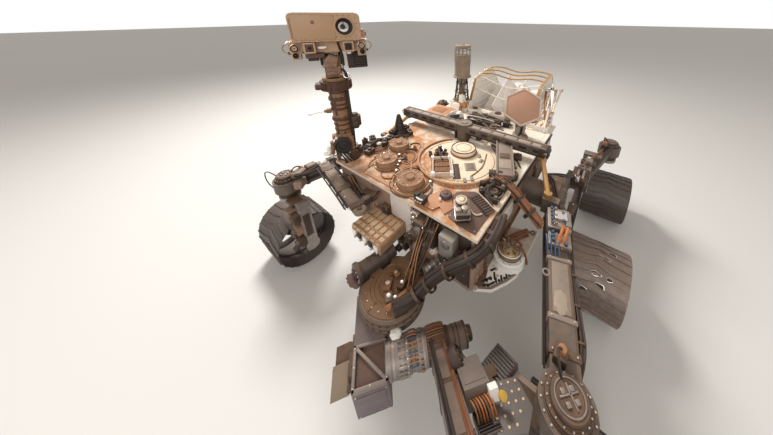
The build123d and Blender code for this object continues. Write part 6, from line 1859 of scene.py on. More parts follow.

# %% Holes worn through the left middle wheel
# Each hole is a dark plate, painted shade of the opening, with a bright torn rim around it, laid on the
# tread.
trim = bmesh.new()
holes = (
    # turn on the tread from forward, side offset, width, length
    (97.5, 0.150, 0.034, 0.050), (82.5, 0.100, 0.026, 0.090), (52.5, 0.070, 0.030, 0.070),
    (52.5, 0.155, 0.022, 0.040), (37.5, 0.110, 0.028, 0.060), (22.5, 0.020, 0.022, 0.050),
)
for turn, offset, width, length in holes:
    outline = []
    for step in range(14):
        angle = math.tau * step / 14
        wobble = dice.uniform(0.7, 1.15)
        outline.append((width / 2 * wobble * math.cos(angle), length / 2 * wobble * math.sin(angle)))
    spot = at(0, 1.080 + offset, 0.250) @ Matrix.Rotation(
            math.radians(90 - turn), 4, "Y") @ at(0, 0, tread_radius)
    join(trim, plate([(px * 1.25, py * 1.15) for px, py in outline], 0.0016, 0.0004),
         spot @ at(0, 0, 0.0002), 1)
    join(trim, plate(outline, 0.0022, 0.0002), spot @ at(0, 0, 0.0006), 0)
piece("worn_holes", "wheel_middle_l", trim, [dark_bore_and_shade, bright_metal])

# %% [markdown]
# ## Front of the body
# Panels of different paint close the front: a white one, a tan one, and dark recesses between
# them, their darkness painted shade. A tray with pale slats hangs below the deck's edge, a flat rail
# crosses in front of it on brackets, and the cameras that watch for hazards look out from under it.

# %% Front panels, tray and small boxes
trim = bmesh.new()
# Finish 5 paints the shade of the recesses between panels; finish 9 paints the shade over the port end of
# the front.
front = 0.880
panels = (
    # y0, y1, z0, z1, thickness, finish
    (-0.030, 0.150, 0.905, 1.078, 0.012, 0), (0.092, 0.150, 0.690, 0.905, 0.012, 0),
    (-0.200, -0.034, 0.900, 1.070, 0.008, 1), (-0.560, -0.210, 0.700, 1.070, 0.006, 1),
    (-0.200, 0.086, 0.690, 0.814, 0.006, 5), (0.160, 0.380, 0.895, 1.078, 0.006, 5),
    (0.385, 0.560, 0.700, 1.070, 0.008, 9), (0.160, 0.380, 0.690, 0.796, 0.005, 5),
)
for y0, y1, z0, z1, thickness, finish in panels:
    join(trim, block(thickness, y1 - y0 - 0.004, z1 - z0, 0.0015),
         at(front + thickness / 2, (y0 + y1) / 2, (z0 + z1) / 2), finish)
    for y in (y0 + 0.014, (y0 + y1) / 2, y1 - 0.014):
        for z in (z0 + 0.012, z1 - 0.012):
            join(trim, screw(0.0036, 0.003), at(front + thickness, y, z) @ look_along_x, 3)
boxes = (
    # x, y, z, length, width, height, finish
    (0.918, 0.260, 1.010, 0.070, 0.090, 0.080, 4), (0.930, 0.250, 0.940, 0.080, 0.110, 0.050, 4),
    (0.915, 0.330, 0.970, 0.060, 0.060, 0.120, 4), (0.905, 0.210, 1.040, 0.040, 0.050, 0.060, 6),
    (0.915, 0.440, 0.980, 0.060, 0.090, 0.140, 10), (0.910, 0.520, 0.900, 0.050, 0.070, 0.120, 4),
    (0.905, -0.060, 0.940, 0.040, 0.060, 0.060, 4), (0.910, -0.240, 0.960, 0.050, 0.060, 0.080, 4),
    (0.905, -0.320, 0.860, 0.040, 0.100, 0.120, 2), (0.900, -0.460, 0.960, 0.034, 0.140, 0.100, 4),
    (0.905, -0.530, 0.800, 0.040, 0.060, 0.140, 4), (0.940, 0.180, 0.880, 0.050, 0.050, 0.060, 4),
)
for x, y, z, length, width, height, finish in boxes:
    join(trim, block(length, width, height, 0.004), at(x, y, z), finish)
    for dy, dz in four_corners(0.4, 0.38):
        join(trim, screw(0.0036, 0.0034),
             at(x + length / 2, y + width * dy, z + height * dz) @ look_along_x, 3)
for x, y, z, radius, height in (
        (0.950, 0.260, 1.000, 0.026, 0.030), (0.962, 0.330, 0.950, 0.020, 0.040),
        (0.940, 0.440, 1.010, 0.024, 0.030), (0.936, -0.240, 0.960, 0.018, 0.030),
        (0.930, 0.210, 1.040, 0.014, 0.030)):
    join(trim, drum(radius, height, 0.002, 28), at(x, y, z, turn_y=90), 6)
    join(trim, ring(radius * 1.12, 0.004, 0.008, 28), at(x + 0.006, y, z, turn_y=90), 3)
crumple(trim, at(0.915, 0.205, 0.905), (0.060, 0.120, 0.100), 0)
crumple(trim, at(0.930, 0.345, 0.892), (0.050, 0.060, 0.050), 0)
join(trim, drum(0.026, 0.130, 0.004, 32), at(0.965, 0.380, 0.842, turn_y=90, turn_z=-13), 6)
for low in (-0.050, -0.020, 0.010, 0.040):
    join(trim, ring(0.029, 0.005, 0.008, 32),
         at(0.965, 0.380, 0.842, turn_y=90, turn_z=-13) @ at(0, 0, low), 3)
runs = (((0.900, 0.300, 1.070), (0.960, 0.300, 1.020), (0.980, 0.290, 0.940), (0.990, 0.270, 0.850),
         (1.020, 0.250, 0.760)), (
        (0.900, 0.340, 1.040), (0.980, 0.350, 0.990), (1.000, 0.330, 0.900), (1.020, 0.300, 0.800),
        (1.050, 0.280, 0.720)), (
        (0.900, -0.120, 1.040), (0.930, -0.160, 0.990), (0.930, -0.230, 0.960), (0.920, -0.320, 0.970),
        (0.900, -0.420, 1.040)),
        ((0.900, 0.420, 0.870), (0.940, 0.380, 0.820), (0.960, 0.330, 0.780), (0.990, 0.300, 0.730)),)
for path in runs:
    bundle(trim, path, 5, 0.014, 0.0045, 7)
    bundle(trim, path, 3, 0.018, 0.0032, 8)
for shift in (-0.016, 0.0, 0.014):
    wire(trim, [(0.945, 0.285 + shift, 0.985), (1.010, 0.300 + shift, 0.960), (1.050, 0.310 + shift, 0.890),
                (1.080, 0.300 + shift * 2, 0.800), (1.110, 0.300 + shift * 2, 0.712)], 0.0030, 8)
piece("front_panels", "body", trim, [
        white_front, tan_front, body_paint, bright_metal, dark_drive, dark_bore_and_shade, silver_grey, black_wire,
        copper_light, painted_shade_area, plate_grey])

trim = bmesh.new()
for step in range(6):
    y = -0.152 + 0.044 * step
    join(trim, block(0.190, 0.034, 0.012, 0.002), at(0.992, y, 0.898), 0)
    join(trim, block(0.012, 0.034, 0.030, 0.002), at(1.088, y, 0.884), 0)
for x in (0.912, 0.978, 1.040, 1.084):
    join(trim, block(0.012, 0.252, 0.008, 0.001), at(x, -0.040, 0.905), 1)
for y in (-0.168, 0.088):
    join(trim, block(0.214, 0.008, 0.030, 0.002), at(0.988, y, 0.880), 1)
for step in range(5):
    join(trim, block(0.010, 0.030, 0.040, 0.001), at(1.098, -0.145 + 0.050 * step, 0.856),
         2 if step % 2 else 3)
    join(trim, drum(0.008, 0.016, 0.001, 16), at(1.104, -0.130 + 0.050 * step, 0.840, turn_y=90), 4)
for y in (0.210, 0.285, 0.360):
    join(trim, block(0.052, 0.010, 0.006, 0.001), at(0.912, y, 0.893), 1)
    join(trim, screw(0.004, 0.004), at(0.925, y, 0.895), 4)
piece("tray_slats", "front_boxes", trim, [slat_cream, edge_tan, black_coat, white_film, bright_metal])

# %% Rail, brackets and hazard cameras
trim = bmesh.new()
rail = run_place((0.915, -0.775, 1.013), (1.055, -0.115, 1.013))
rail_half = math.dist((0.915, -0.775), (1.055, -0.115)) / 2
for x, length, width, height, finish in (
        (0.0, 0.560, 0.050, 0.006, 0), (-0.220, 0.060, 0.090, 0.014, 1), (0.080, 0.050, 0.090, 0.014, 1),
        (0.290, 0.050, 0.084, 0.010, 1)):
    join(trim, block(length, width, height, 0.002), rail @ at(x, 0, 0.014), finish)
join(trim, drum(0.038, 0.027, 0.004, 36), rail @ at(rail_half, 0, 0), 0)
join(trim, drum(0.016, 0.036, 0.002, 24), rail @ at(rail_half - 0.004, 0, 0.002), 1)
for x in (-0.300, -0.180, -0.060, 0.060, 0.180, 0.300):
    for y in (-0.028, 0.028):
        join(trim, screw(0.0036, 0.0036), rail @ at(x, y, 0.0165 if abs(x) < 0.28 else 0.013), 2)
bundle(trim, moved(rail, (
        (-0.320, 0.052, -0.004), (-0.100, 0.050, -0.010), (0.100, 0.052, -0.006), (0.300, 0.048, -0.012))),
       7, 0.008, 0.0045, 3)
bundle(trim, moved(rail, (
        (-0.310, -0.048, -0.010), (-0.100, -0.050, -0.014), (0.080, -0.048, -0.012),
        (0.240, -0.050, -0.020))), 5, 0.008, 0.0045, 4)
for x, lean in ((-0.240, 20), (-0.120, -15), (0.020, 10), (0.140, -12)):
    join(trim, block(0.040, 0.060, 0.090, 0.004), rail @ at(x, 0.020, -0.058, turn_z=lean), 5)
    join(trim, drum(0.016, 0.030, 0.002, 22), rail @ at(x, -0.020, -0.060, turn_x=90), 1)
crumple(trim, rail @ at(0.210, -0.010, -0.040), (0.090, 0.060, 0.060), 6)
crumple(trim, rail @ at(-0.340, 0.000, 0.016), (0.060, 0.050, 0.040), 6)
piece("rail_details", "front_rail", trim,
      [rail_grey, dark_drive, bright_metal, black_wire, dark_sleeve, fitting_grey, white_film])

camera_z = 0.734
trim = bmesh.new()
for face_x, out, ys in ((0.880, 1, (-0.080, 0.080)), (-0.660, -1, (-0.440, 0.440))):
    for y in ys:
        turn = 90 if out > 0 else -90
        lens(trim, at(face_x + out * 0.078, y, camera_z, turn_y=turn), 0.0225, 0, 1)
        join(trim, ring(0.025, 0.004, 0.012, 32), at(face_x + out * 0.056, y, camera_z, turn_y=turn), 2)
        for dy, dz in four_corners(0.026, 0.026):
            join(trim, screw(0.003, 0.003), at(face_x + out * 0.046, y + dy, camera_z + dz, turn_y=turn), 2)
piece("hazard_lenses", "hazard_cameras", trim, [black_coat, glass, bright_metal])

# %% Shelf and drum on the port side
trim = bmesh.new()
shelf_top = 0.7145
shelf_outline = [(0.868, 0.596), (0.826, 0.662), (0.741, 0.714), (0.667, 0.746), (0.560, 0.750),
                 (0.560, 0.596)]
join(trim, plate(shelf_outline, 0.004, 0.001), at(0, 0, shelf_top + 0.003), 7)
brown = [(0.866, 0.584), (0.868, 0.600), (0.846, 0.628), (0.752, 0.606), (0.712, 0.584)]
join(trim, plate(brown, 0.004, 0.001), at(0, 0, shelf_top + 0.006), 1)
for (x0, y0), (x1, y1) in zip(shelf_outline[:4], shelf_outline[1:5]):
    place = at((x0 + x1) / 2, (y0 + y1) / 2, shelf_top + 0.005,
               turn_z=math.degrees(math.atan2(y1 - y0, x1 - x0)))
    join(trim, block(math.dist((x0, y0), (x1, y1)), 0.008, 0.012, 0.001), place, 2)
slots = ((0.800, 0.656, 0.040), (0.772, 0.668, 0.034), (0.790, 0.626, 0.050), (0.752, 0.650, 0.044),
         (0.812, 0.612, 0.034), (0.742, 0.688, 0.036), (0.722, 0.628, 0.040), (0.712, 0.706, 0.030),
         (0.830, 0.628, 0.026))
for number, (x, y, length) in enumerate(slots):
    join(trim, block(length, 0.011, 0.004, 0.001),
         at(x, y, shelf_top + 0.0045, turn_z=-32 + 62 * (number % 2)), 3)
    join(trim, drum(0.008, 0.005, 0.001, 16), at(x - 0.010, y + 0.014, shelf_top + 0.004),
         3 if number % 3 else 4)
for x, y in ((0.850, 0.614), (0.806, 0.668), (0.742, 0.702), (0.680, 0.736), (0.620, 0.752), (0.700, 0.620),
             (0.580, 0.752)):
    join(trim, screw(0.0045, 0.004), at(x, y, shelf_top + 0.003), 4)
join(trim, ring(0.018, 0.006, 0.008, 28), at(0.330, 0.738, shelf_top + 0.004), 2)
join(trim, drum(0.013, 0.012, 0.002, 20), at(0.872, 0.590, shelf_top + 0.006), 4)
bundle(trim, [(0.560, 0.610, 0.740), (0.500, 0.640, 0.760), (0.430, 0.680, 0.760), (0.360, 0.710, 0.730)],
       8, 0.016, 0.005, 5)
bundle(trim, [(0.540, 0.620, 0.745), (0.470, 0.650, 0.770), (0.400, 0.690, 0.750), (0.340, 0.700, 0.725)],
       5, 0.016, 0.004, 6)
piece("shelf_details", "side_shelf", trim,
      [white_paint, brown_plate, silver_grey, dark_bore_and_shade, bright_metal, copper_wire, black_wire, white_film])

trim = bmesh.new()
drum_at = at(0.615, 0.676, 0.0)
body_line = [(0.0905, 0.714), (0.0925, 0.720), (0.0925, 0.728), (0.0905, 0.732), (0.0905, 0.766),
             (0.0925, 0.770), (0.0925, 0.778), (0.088, 0.785), (0.070, 0.7855)]
join(trim, turned(body_line, 72), drum_at, 0)
dome = [(0.069, 0.784), (0.069, 0.812), (0.066, 0.824), (0.058, 0.832), (0.040, 0.837), (0.0, 0.839)]
join(trim, turned(dome, 60), drum_at, 1)
for z, radius in ((0.790, 0.071), (0.804, 0.0705)):
    loop(trim, drum_at @ at(0, 0, z), radius, 0.0022, 2, 60)
screws_round(trim, drum_at @ at(0, 0, 0.785), 0.080, 14, 0.0042, 3)
for step in range(9):
    angle = math.radians(40 * step + 10)
    spot = drum_at @ at(*polar(0.046, angle), 0.842, turn_z=40 * step)
    join(trim, block(0.018, 0.010, 0.012, 0.001), spot, (3, 4, 2)[step % 3])
    join(trim, drum(0.0055, 0.016, 0.001, 14), spot @ at(0.010, 0.006, 0.002), 4)
for turn in (150, 190, 230, 110):
    a = math.radians(turn)
    run = moved(drum_at, ((*polar(0.020, a), 0.845), (*polar(0.060, a), 0.850), (*polar(0.094, a), 0.800),
                          (*polar(0.108, a), 0.722)))
    bundle(trim, run, 4, 0.005, 0.0036, 4)
for step in range(3):
    join(trim, block(0.030, 0.020, 0.016, 0.002),
         drum_at @ at(-0.020 + 0.024 * step, 0.010 - 0.018 * step, 0.846, turn_z=20 * step), 5)
join(trim, block(0.060, 0.040, 0.030, 0.003), drum_at @ at(-0.090, -0.060, 0.730, turn_z=30), 5)
join(trim, block(0.050, 0.034, 0.040, 0.003), drum_at @ at(-0.110, 0.020, 0.734, turn_z=-20), 4)
piece("side_drum_details", "side_drum", trim,
      [white_film, glassy_cap, silver_grey, bright_metal, copper_wire, fitting_grey])

# %% [markdown]
# ## Arm
# The arm's parts are milled from titanium. The shoulder drum has stacked bands and a tan top, the
# bracket two triangular pockets, and the upper arm carries a grey box, a plate with small domes
# and wiring. The turret holds the drill, a sample box, two sensors and the hand camera.

# %% Shoulder drum
trim = bmesh.new()
drum_place = at(drum_x, drum_y, 0.0)
bands = [(0.1760, 0.600), (0.1810, 0.603), (0.1810, 0.618), (0.1770, 0.622), (0.1770, 0.636),
         (0.1840, 0.640), (0.1840, 0.652), (0.1775, 0.656), (0.1775, 0.676), (0.1830, 0.680),
         (0.1830, 0.692), (0.1780, 0.699), (0.1500, 0.7015)]
join(trim, turned(bands, 96), drum_place, 0)
for step in range(28):
    angle = math.radians(360 / 28 * step)
    join(trim, block(0.006, 0.010, 0.012, 0.001), drum_place @ at(*polar(0.1795, angle), 0.629,
                                                                  turn_z=math.degrees(angle)), 1)
    join(trim, block(0.007, 0.006, 0.018, 0.001), drum_place @ at(*polar(0.1790, angle), 0.666,
                                                                  turn_z=math.degrees(angle)), 1)
top_plate = [(0.165, 0.7000), (0.165, 0.7060), (0.120, 0.7070), (0.118, 0.7020), (0.0, 0.7020)]
join(trim, turned(top_plate, 80), drum_place, 2)
for radius in (0.100, 0.074, 0.050):
    loop(trim, drum_place @ at(0, 0, 0.7025), radius, 0.0030, 3, 64)
for step in range(20):
    angle = math.radians(18 * step)
    join(trim, screw(0.0042, 0.004), drum_place @ at(*polar(0.142, angle), 0.7065), 4)
    if step % 4 == 0:
        join(trim, block(0.060, 0.003, 0.002, 0.0),
             drum_place @ at(0, 0, 0, turn_z=18 * step) @ at(0.142, 0, 0.7072), 1)
for x, y, turn, length, width, height, finish in (
        (0.020, -0.010, 30, 0.070, 0.040, 0.034, 3), (-0.030, 0.050, 10, 0.060, 0.036, 0.030, 1),
        (0.060, 0.040, 60, 0.050, 0.040, 0.026, 5), (0.050, 0.080, 0, 0.040, 0.030, 0.040, 1),
        (-0.050, -0.020, 80, 0.050, 0.030, 0.030, 3)):
    join(trim, block(length, width, height, 0.003), drum_place @ at(x, y, 0.702 + height / 2, turn_z=turn),
         finish)
    join(trim, drum(width * 0.3, 0.010, 0.001, 20), drum_place @ at(x, y, 0.704 + height), 4)
for step in range(4):
    wire(trim, moved(drum_place, (
            (-0.060 + 0.010 * step, 0.110, 0.720), (0.000, 0.090 + 0.008 * step, 0.744),
            (0.060, 0.090, 0.740 + 0.004 * step), (0.110, 0.060 + 0.010 * step, 0.722))), 0.0038, 6)
piece("shoulder_drum_bands", "arm_base", trim,
      [band_brown, edge_dark, drum_top, edge_brown, bright_metal, fitting_grey, copper_light])

# %% Bracket and lift drive
trim = bmesh.new()
for x, y in ((0.189, -0.198), (0.260, -0.198), (0.331, -0.198), (0.338, -0.125), (0.331, -0.052),
             (0.260, -0.052), (0.189, -0.052)):
    join(trim, screw(0.0040, 0.0036), arm @ at(x, y, 0.5997), 0)
for y, z in ((-0.190, 0.380), (-0.060, 0.380), (-0.190, 0.560), (-0.060, 0.560), (-0.125, 0.372)):
    join(trim, screw(0.0045, 0.004), arm @ at(0.345, y, z) @ look_along_x, 0)
join(trim, block(0.004, 0.128, 0.160, 0.002), arm @ at(0.3465, -0.125, 0.468), 1)
join(trim, block(0.130, 0.020, 0.110, 0.003), arm @ at(0.150, -0.215, 0.470), 2)
side_plate = [(-0.070, -0.080), (0.095, -0.080), (0.095, 0.050), (0.050, 0.085), (-0.050, 0.085),
              (-0.070, 0.040)]
tilted = arm @ at(0.168, -0.294, 0.352, turn_x=24, turn_y=14) @ Matrix.Scale(0.8, 4)
join(trim, plate(side_plate, 0.006, 0.002), tilted, 3)
join(trim, plate([(x * 0.9, y * 0.9) for x, y in side_plate], 0.004, 0.001),
     tilted @ at(-0.110, -0.010, -0.030), 2)
for x, y in ((-0.060, -0.070), (0.084, -0.070), (0.084, 0.044), (-0.060, 0.050), (0.010, 0.074)):
    join(trim, screw(0.0036, 0.0035), tilted @ at(x, y, 0.006), 0)
join(trim, block(0.160, 0.060, 0.020, 0.003), arm @ at(0.170, -0.232, 0.380), 2)
join(trim, block(0.060, 0.050, 0.060, 0.004), arm @ at(0.190, -0.228, 0.420), 2)
lift = arm @ at(0.262, 0.0, 0.575, turn_x=-90)
for low, radius, height, finish in (
        (-0.036, 0.0800, 0.012, 4), (-0.018, 0.0775, 0.008, 5), (0.000, 0.0790, 0.014, 4),
        (0.024, 0.0775, 0.008, 5), (0.046, 0.0815, 0.012, 4), (0.100, 0.0795, 0.010, 4),
        (0.124, 0.0800, 0.010, 5)):
    join(trim, ring(radius, 0.006, height, 64), lift @ at(0, 0, low), finish)
for step in range(20):
    turn = at(0, 0, 0, turn_z=18 * step)
    join(trim, block(0.008, 0.012, 0.034, 0.001), lift @ turn @ at(0.0775, 0, 0.022), 4 if step % 2 else 5)
    join(trim, block(0.008, 0.008, 0.014, 0.001), lift @ turn @ at(0.0790, 0, 0.112),
         6 if step % 3 == 0 else 4)
    join(trim, screw(0.0036, 0.003), lift @ turn @ at(0.0815, 0, 0.046) @ look_along_x, 0)
for step in range(12):
    turn = at(0, 0, 0, turn_z=200 + 12 * step)
    wire(trim, moved(lift @ turn, ((0.080, 0, 0.052), (0.089, 0, 0.070), (0.081, 0, 0.096))),
         0.0030, (7, 6, 8)[step % 3])
crumple(trim, arm @ at(0.200, 0.000, 0.640), (0.060, 0.060, 0.030), 9)
join(trim, plate([(-0.03, 0.0), (0.03, 0.0), (0.02, 0.09), (-0.02, 0.09)], 0.020),
     arm @ at(0.178, 0.000, 0.560, turn_x=90), 2)
piece("shoulder_details", "arm_shoulder", trim, [
        bright_metal, lavender_coat, dark_drive, beige_plate, silver_grey, bare_metal, copper_light,
        orange_sleeve, blue_shell, white_film])

# %% Upper arm
trim = bmesh.new()
lift_axis = (0.262, 0.190, 0.575)
root = arm @ at(*lift_axis, turn_x=-90)
for low, radius, height, finish in (
        (-0.040, 0.0755, 0.010, 1), (0.0, 0.0755, 0.012, 0), (0.040, 0.0755, 0.010, 1),
        (0.056, 0.0610, 0.016, 1), (0.090, 0.0580, 0.006, 1), (0.110, 0.0580, 0.006, 1),
        (0.148, 0.0580, 0.008, 1)):
    join(trim, ring(radius, 0.006, height, 56), root @ at(0, 0, low), finish)
screws_round(trim, root @ at(0, 0, 0.155), 0.046, 12, 0.004, 2)
join(trim, turned([(0.036, 0.0), (0.034, 0.026), (0.030, 0.030), (0.0, 0.030)], 36), root @ at(0, 0, 0.155),
     1)
for step in range(16):
    wire(trim, moved(root @ at(0, 0, 0, turn_z=190 + 9 * step),
                     ((0.076, 0, -0.046), (0.084, 0, -0.010), (0.076, 0, 0.040))), 0.0026, (3, 4)[step % 2])
slope = arm @ at(*lift_axis, turn_y=-36)
for x in (0.110, 0.300, 0.520, 0.740, 0.880):
    join(trim, block(0.020, 0.084, 0.096, 0.003), slope @ at(x, 0, 0), 1)
    for y in (-0.030, 0.030):
        join(trim, screw(0.004, 0.004), slope @ at(x, y, 0.048), 2)
bundle(trim, moved(slope, (
        (0.060, -0.030, 0.050), (0.300, -0.028, 0.054), (0.600, -0.030, 0.052), (0.900, -0.026, 0.052))), 6,
       0.008, 0.0048, 5)
bundle(trim, moved(slope, (
        (0.080, 0.024, 0.050), (0.300, 0.026, 0.052), (0.600, 0.022, 0.052), (0.880, 0.026, 0.052))), 4,
       0.008, 0.0042, 3)
elbow_x, elbow_z = 1.0306, 1.1334
elbow = arm @ at(elbow_x, 0.190, elbow_z, turn_x=-90)
for low in (-0.040, 0.0, 0.040, 0.078):
    join(trim, ring(0.067, 0.006, 0.010, 48), elbow @ at(0, 0, low), 1)
screws_round(trim, elbow @ at(0, 0, 0.105), 0.050, 12, 0.004, 2)
join(trim, turned([(0.040, 0.0), (0.036, 0.012), (0.0, 0.014)], 36), elbow @ at(0, 0, 0.105), 0)
wheel_disc = arm @ at(0.420, 0.246, 0.760) @ at(0, 0, 0, turn_x=-62, turn_z=14)
join(trim, drum(0.052, 0.034, 0.003, 48), wheel_disc, 6)
disc_face = [(0.052, 0.0), (0.050, 0.006), (0.040, 0.007), (0.038, 0.002), (0.026, 0.001), (0.024, 0.008),
             (0.014, 0.009), (0.012, 0.002), (0.0, 0.002)]
join(trim, turned(disc_face, 48), wheel_disc @ at(0, 0, 0.017), 6)
screws_round(trim, wheel_disc @ at(0, 0, 0.022), 0.044, 12, 0.0045, 1)
join(trim, block(0.050, 0.040, 0.050, 0.004), arm @ at(0.420, 0.236, 0.740, turn_y=-36), 1)
grey_box = arm @ at(0.505, 0.284, 0.782, turn_y=-36)
join(trim, block(0.150, 0.100, 0.070, 0.003), grey_box, 7)
join(trim, block(0.110, 0.080, 0.003, 0.001), grey_box @ at(0, 0, 0.036), 7)
for x in (-0.064, 0.0, 0.064):
    for y in (-0.042, 0.042):
        join(trim, screw(0.0035, 0.0035), grey_box @ at(x, y, 0.035), 2)
for step in range(7):
    start_y = -0.036 + 0.011 * step
    wire(trim, moved(grey_box, (
            (0.070, start_y, 0.000), (0.100, start_y + 0.004, 0.016), (0.124, start_y + 0.012, -0.006),
            (0.110, start_y + 0.016, -0.050))), 0.0036, (4, 3, 8)[step % 3])
join(trim, block(0.030, 0.034, 0.040, 0.002), grey_box @ at(0.092, 0.052, 0.012), 9)
join(trim, drum(0.014, 0.030, 0.002, 24), grey_box @ at(0.112, 0.078, 0.006, turn_y=60), 10)
join(trim, block(0.100, 0.080, 0.030, 0.003), grey_box @ at(0.100, 0.010, -0.062), 11)
ribs(trim, grey_box @ at(0.100, 0.010, -0.047), 0.096, 0.076, 9, 0.005, 0.5, 5)
dotted = arm @ at(0.600, 0.385, 0.800, turn_y=-18, turn_x=-8)
join(trim, plate([(-0.075, -0.075), (0.075, -0.075), (0.085, 0.030), (0.030, 0.085), (-0.075, 0.075)],
                 0.010, 0.002), dotted, 12)
for x in range(5):
    for y in range(5):
        spot_x, spot_y = -0.060 + 0.030 * x, -0.058 + 0.030 * y
        if spot_x + spot_y < 0.075:
            join(trim, drum(0.0046, 0.004, 0.001, 14), dotted @ at(spot_x, spot_y, 0.001), 13)
join(trim, block(0.060, 0.060, 0.040, 0.003), arm @ at(0.545, 0.330, 0.785, turn_y=-18), 1)
striped = arm @ at(0.470, 0.420, 0.700, turn_y=-14, turn_z=24)
join(trim, block(0.110, 0.130, 0.036, 0.003), striped, 11)
ribs(trim, striped @ at(0, 0, 0.018, turn_z=90), 0.124, 0.104, 9, 0.006, 0.5, 12)
join(trim, block(0.040, 0.100, 0.030, 0.003), arm @ at(0.480, 0.350, 0.720), 1)
piece("upper_arm_details", "arm_upper", trim, [
        arm_metal, dark_drive, bright_metal, copper_wire, copper_light, black_wire, black_coat,
        grey_box_paint, orange_sleeve, white_film, yellow_shell, striped_grey, dotted_grey, slat_cream])

# %% Forearm, wrist and turret
trim = bmesh.new()
fore = arm @ at(elbow_x, -0.022, elbow_z, turn_y=-79.3)
for x in (0.130, 0.260, 0.420, 0.600, 0.740):
    join(trim, block(0.018, 0.078, 0.078, 0.003), fore @ at(x, 0, 0), 1)
    for y in (-0.028, 0.028):
        join(trim, screw(0.004, 0.004), fore @ at(x, y, 0.039), 2)
bundle(trim, moved(fore, (
        (0.120, -0.020, 0.042), (0.300, -0.022, 0.044), (0.560, -0.018, 0.044), (0.780, -0.020, 0.042))), 6,
       0.007, 0.0044, 3)
for low in (-0.036, 0.010, 0.060, 0.100):
    join(trim, ring(0.067, 0.006, 0.010, 48), arm @ at(elbow_x, 0.020 + low, elbow_z, turn_x=-90), 1)
screws_round(trim, arm @ at(elbow_x, -0.067, elbow_z, turn_x=90), 0.050, 12, 0.004, 2)
join(trim, turned([(0.040, 0.0), (0.036, 0.010), (0.0, 0.012)], 36),
     arm @ at(elbow_x, -0.067, elbow_z, turn_x=90), 0)
piece("forearm_details", "arm_fore", trim, [arm_metal, dark_drive, bright_metal, black_wire])

trim = bmesh.new()
turret = arm @ at(1.1858, -0.022, 1.9549)
for z, radius, height, finish in (
        (0.090, 0.1065, 0.010, 0), (0.130, 0.1060, 0.008, 1), (0.200, 0.1060, 0.008, 1),
        (0.244, 0.1065, 0.010, 0)):
    join(trim, ring(radius, 0.005, height, 64), turret @ at(0, 0, z), finish)
screws_round(trim, turret @ at(0, 0, 0.254), 0.092, 18, 0.0045, 2)
top_rings = [(0.080, 0.254), (0.078, 0.262), (0.060, 0.263), (0.058, 0.258), (0.030, 0.258), (0.026, 0.266),
             (0.0, 0.266)]
join(trim, turned(top_rings, 56), turret, 0)
for step in range(5):
    angle = math.radians(30 + 66 * step)
    a, b = polar(0.070, angle), polar(0.118, angle + 0.5)
    bundle(trim, moved(turret, (
            (a[0], a[1], 0.262), ((a[0] + b[0]) * 0.54, (a[1] + b[1]) * 0.54, 0.282), (b[0], b[1], 0.230),
            (b[0] * 0.98, b[1] * 0.98, 0.180))), 4, 0.005, 0.0040, 3)
piece("turret_details", "turret_hub", trim, [arm_metal, dark_drive, bright_metal, black_wire])

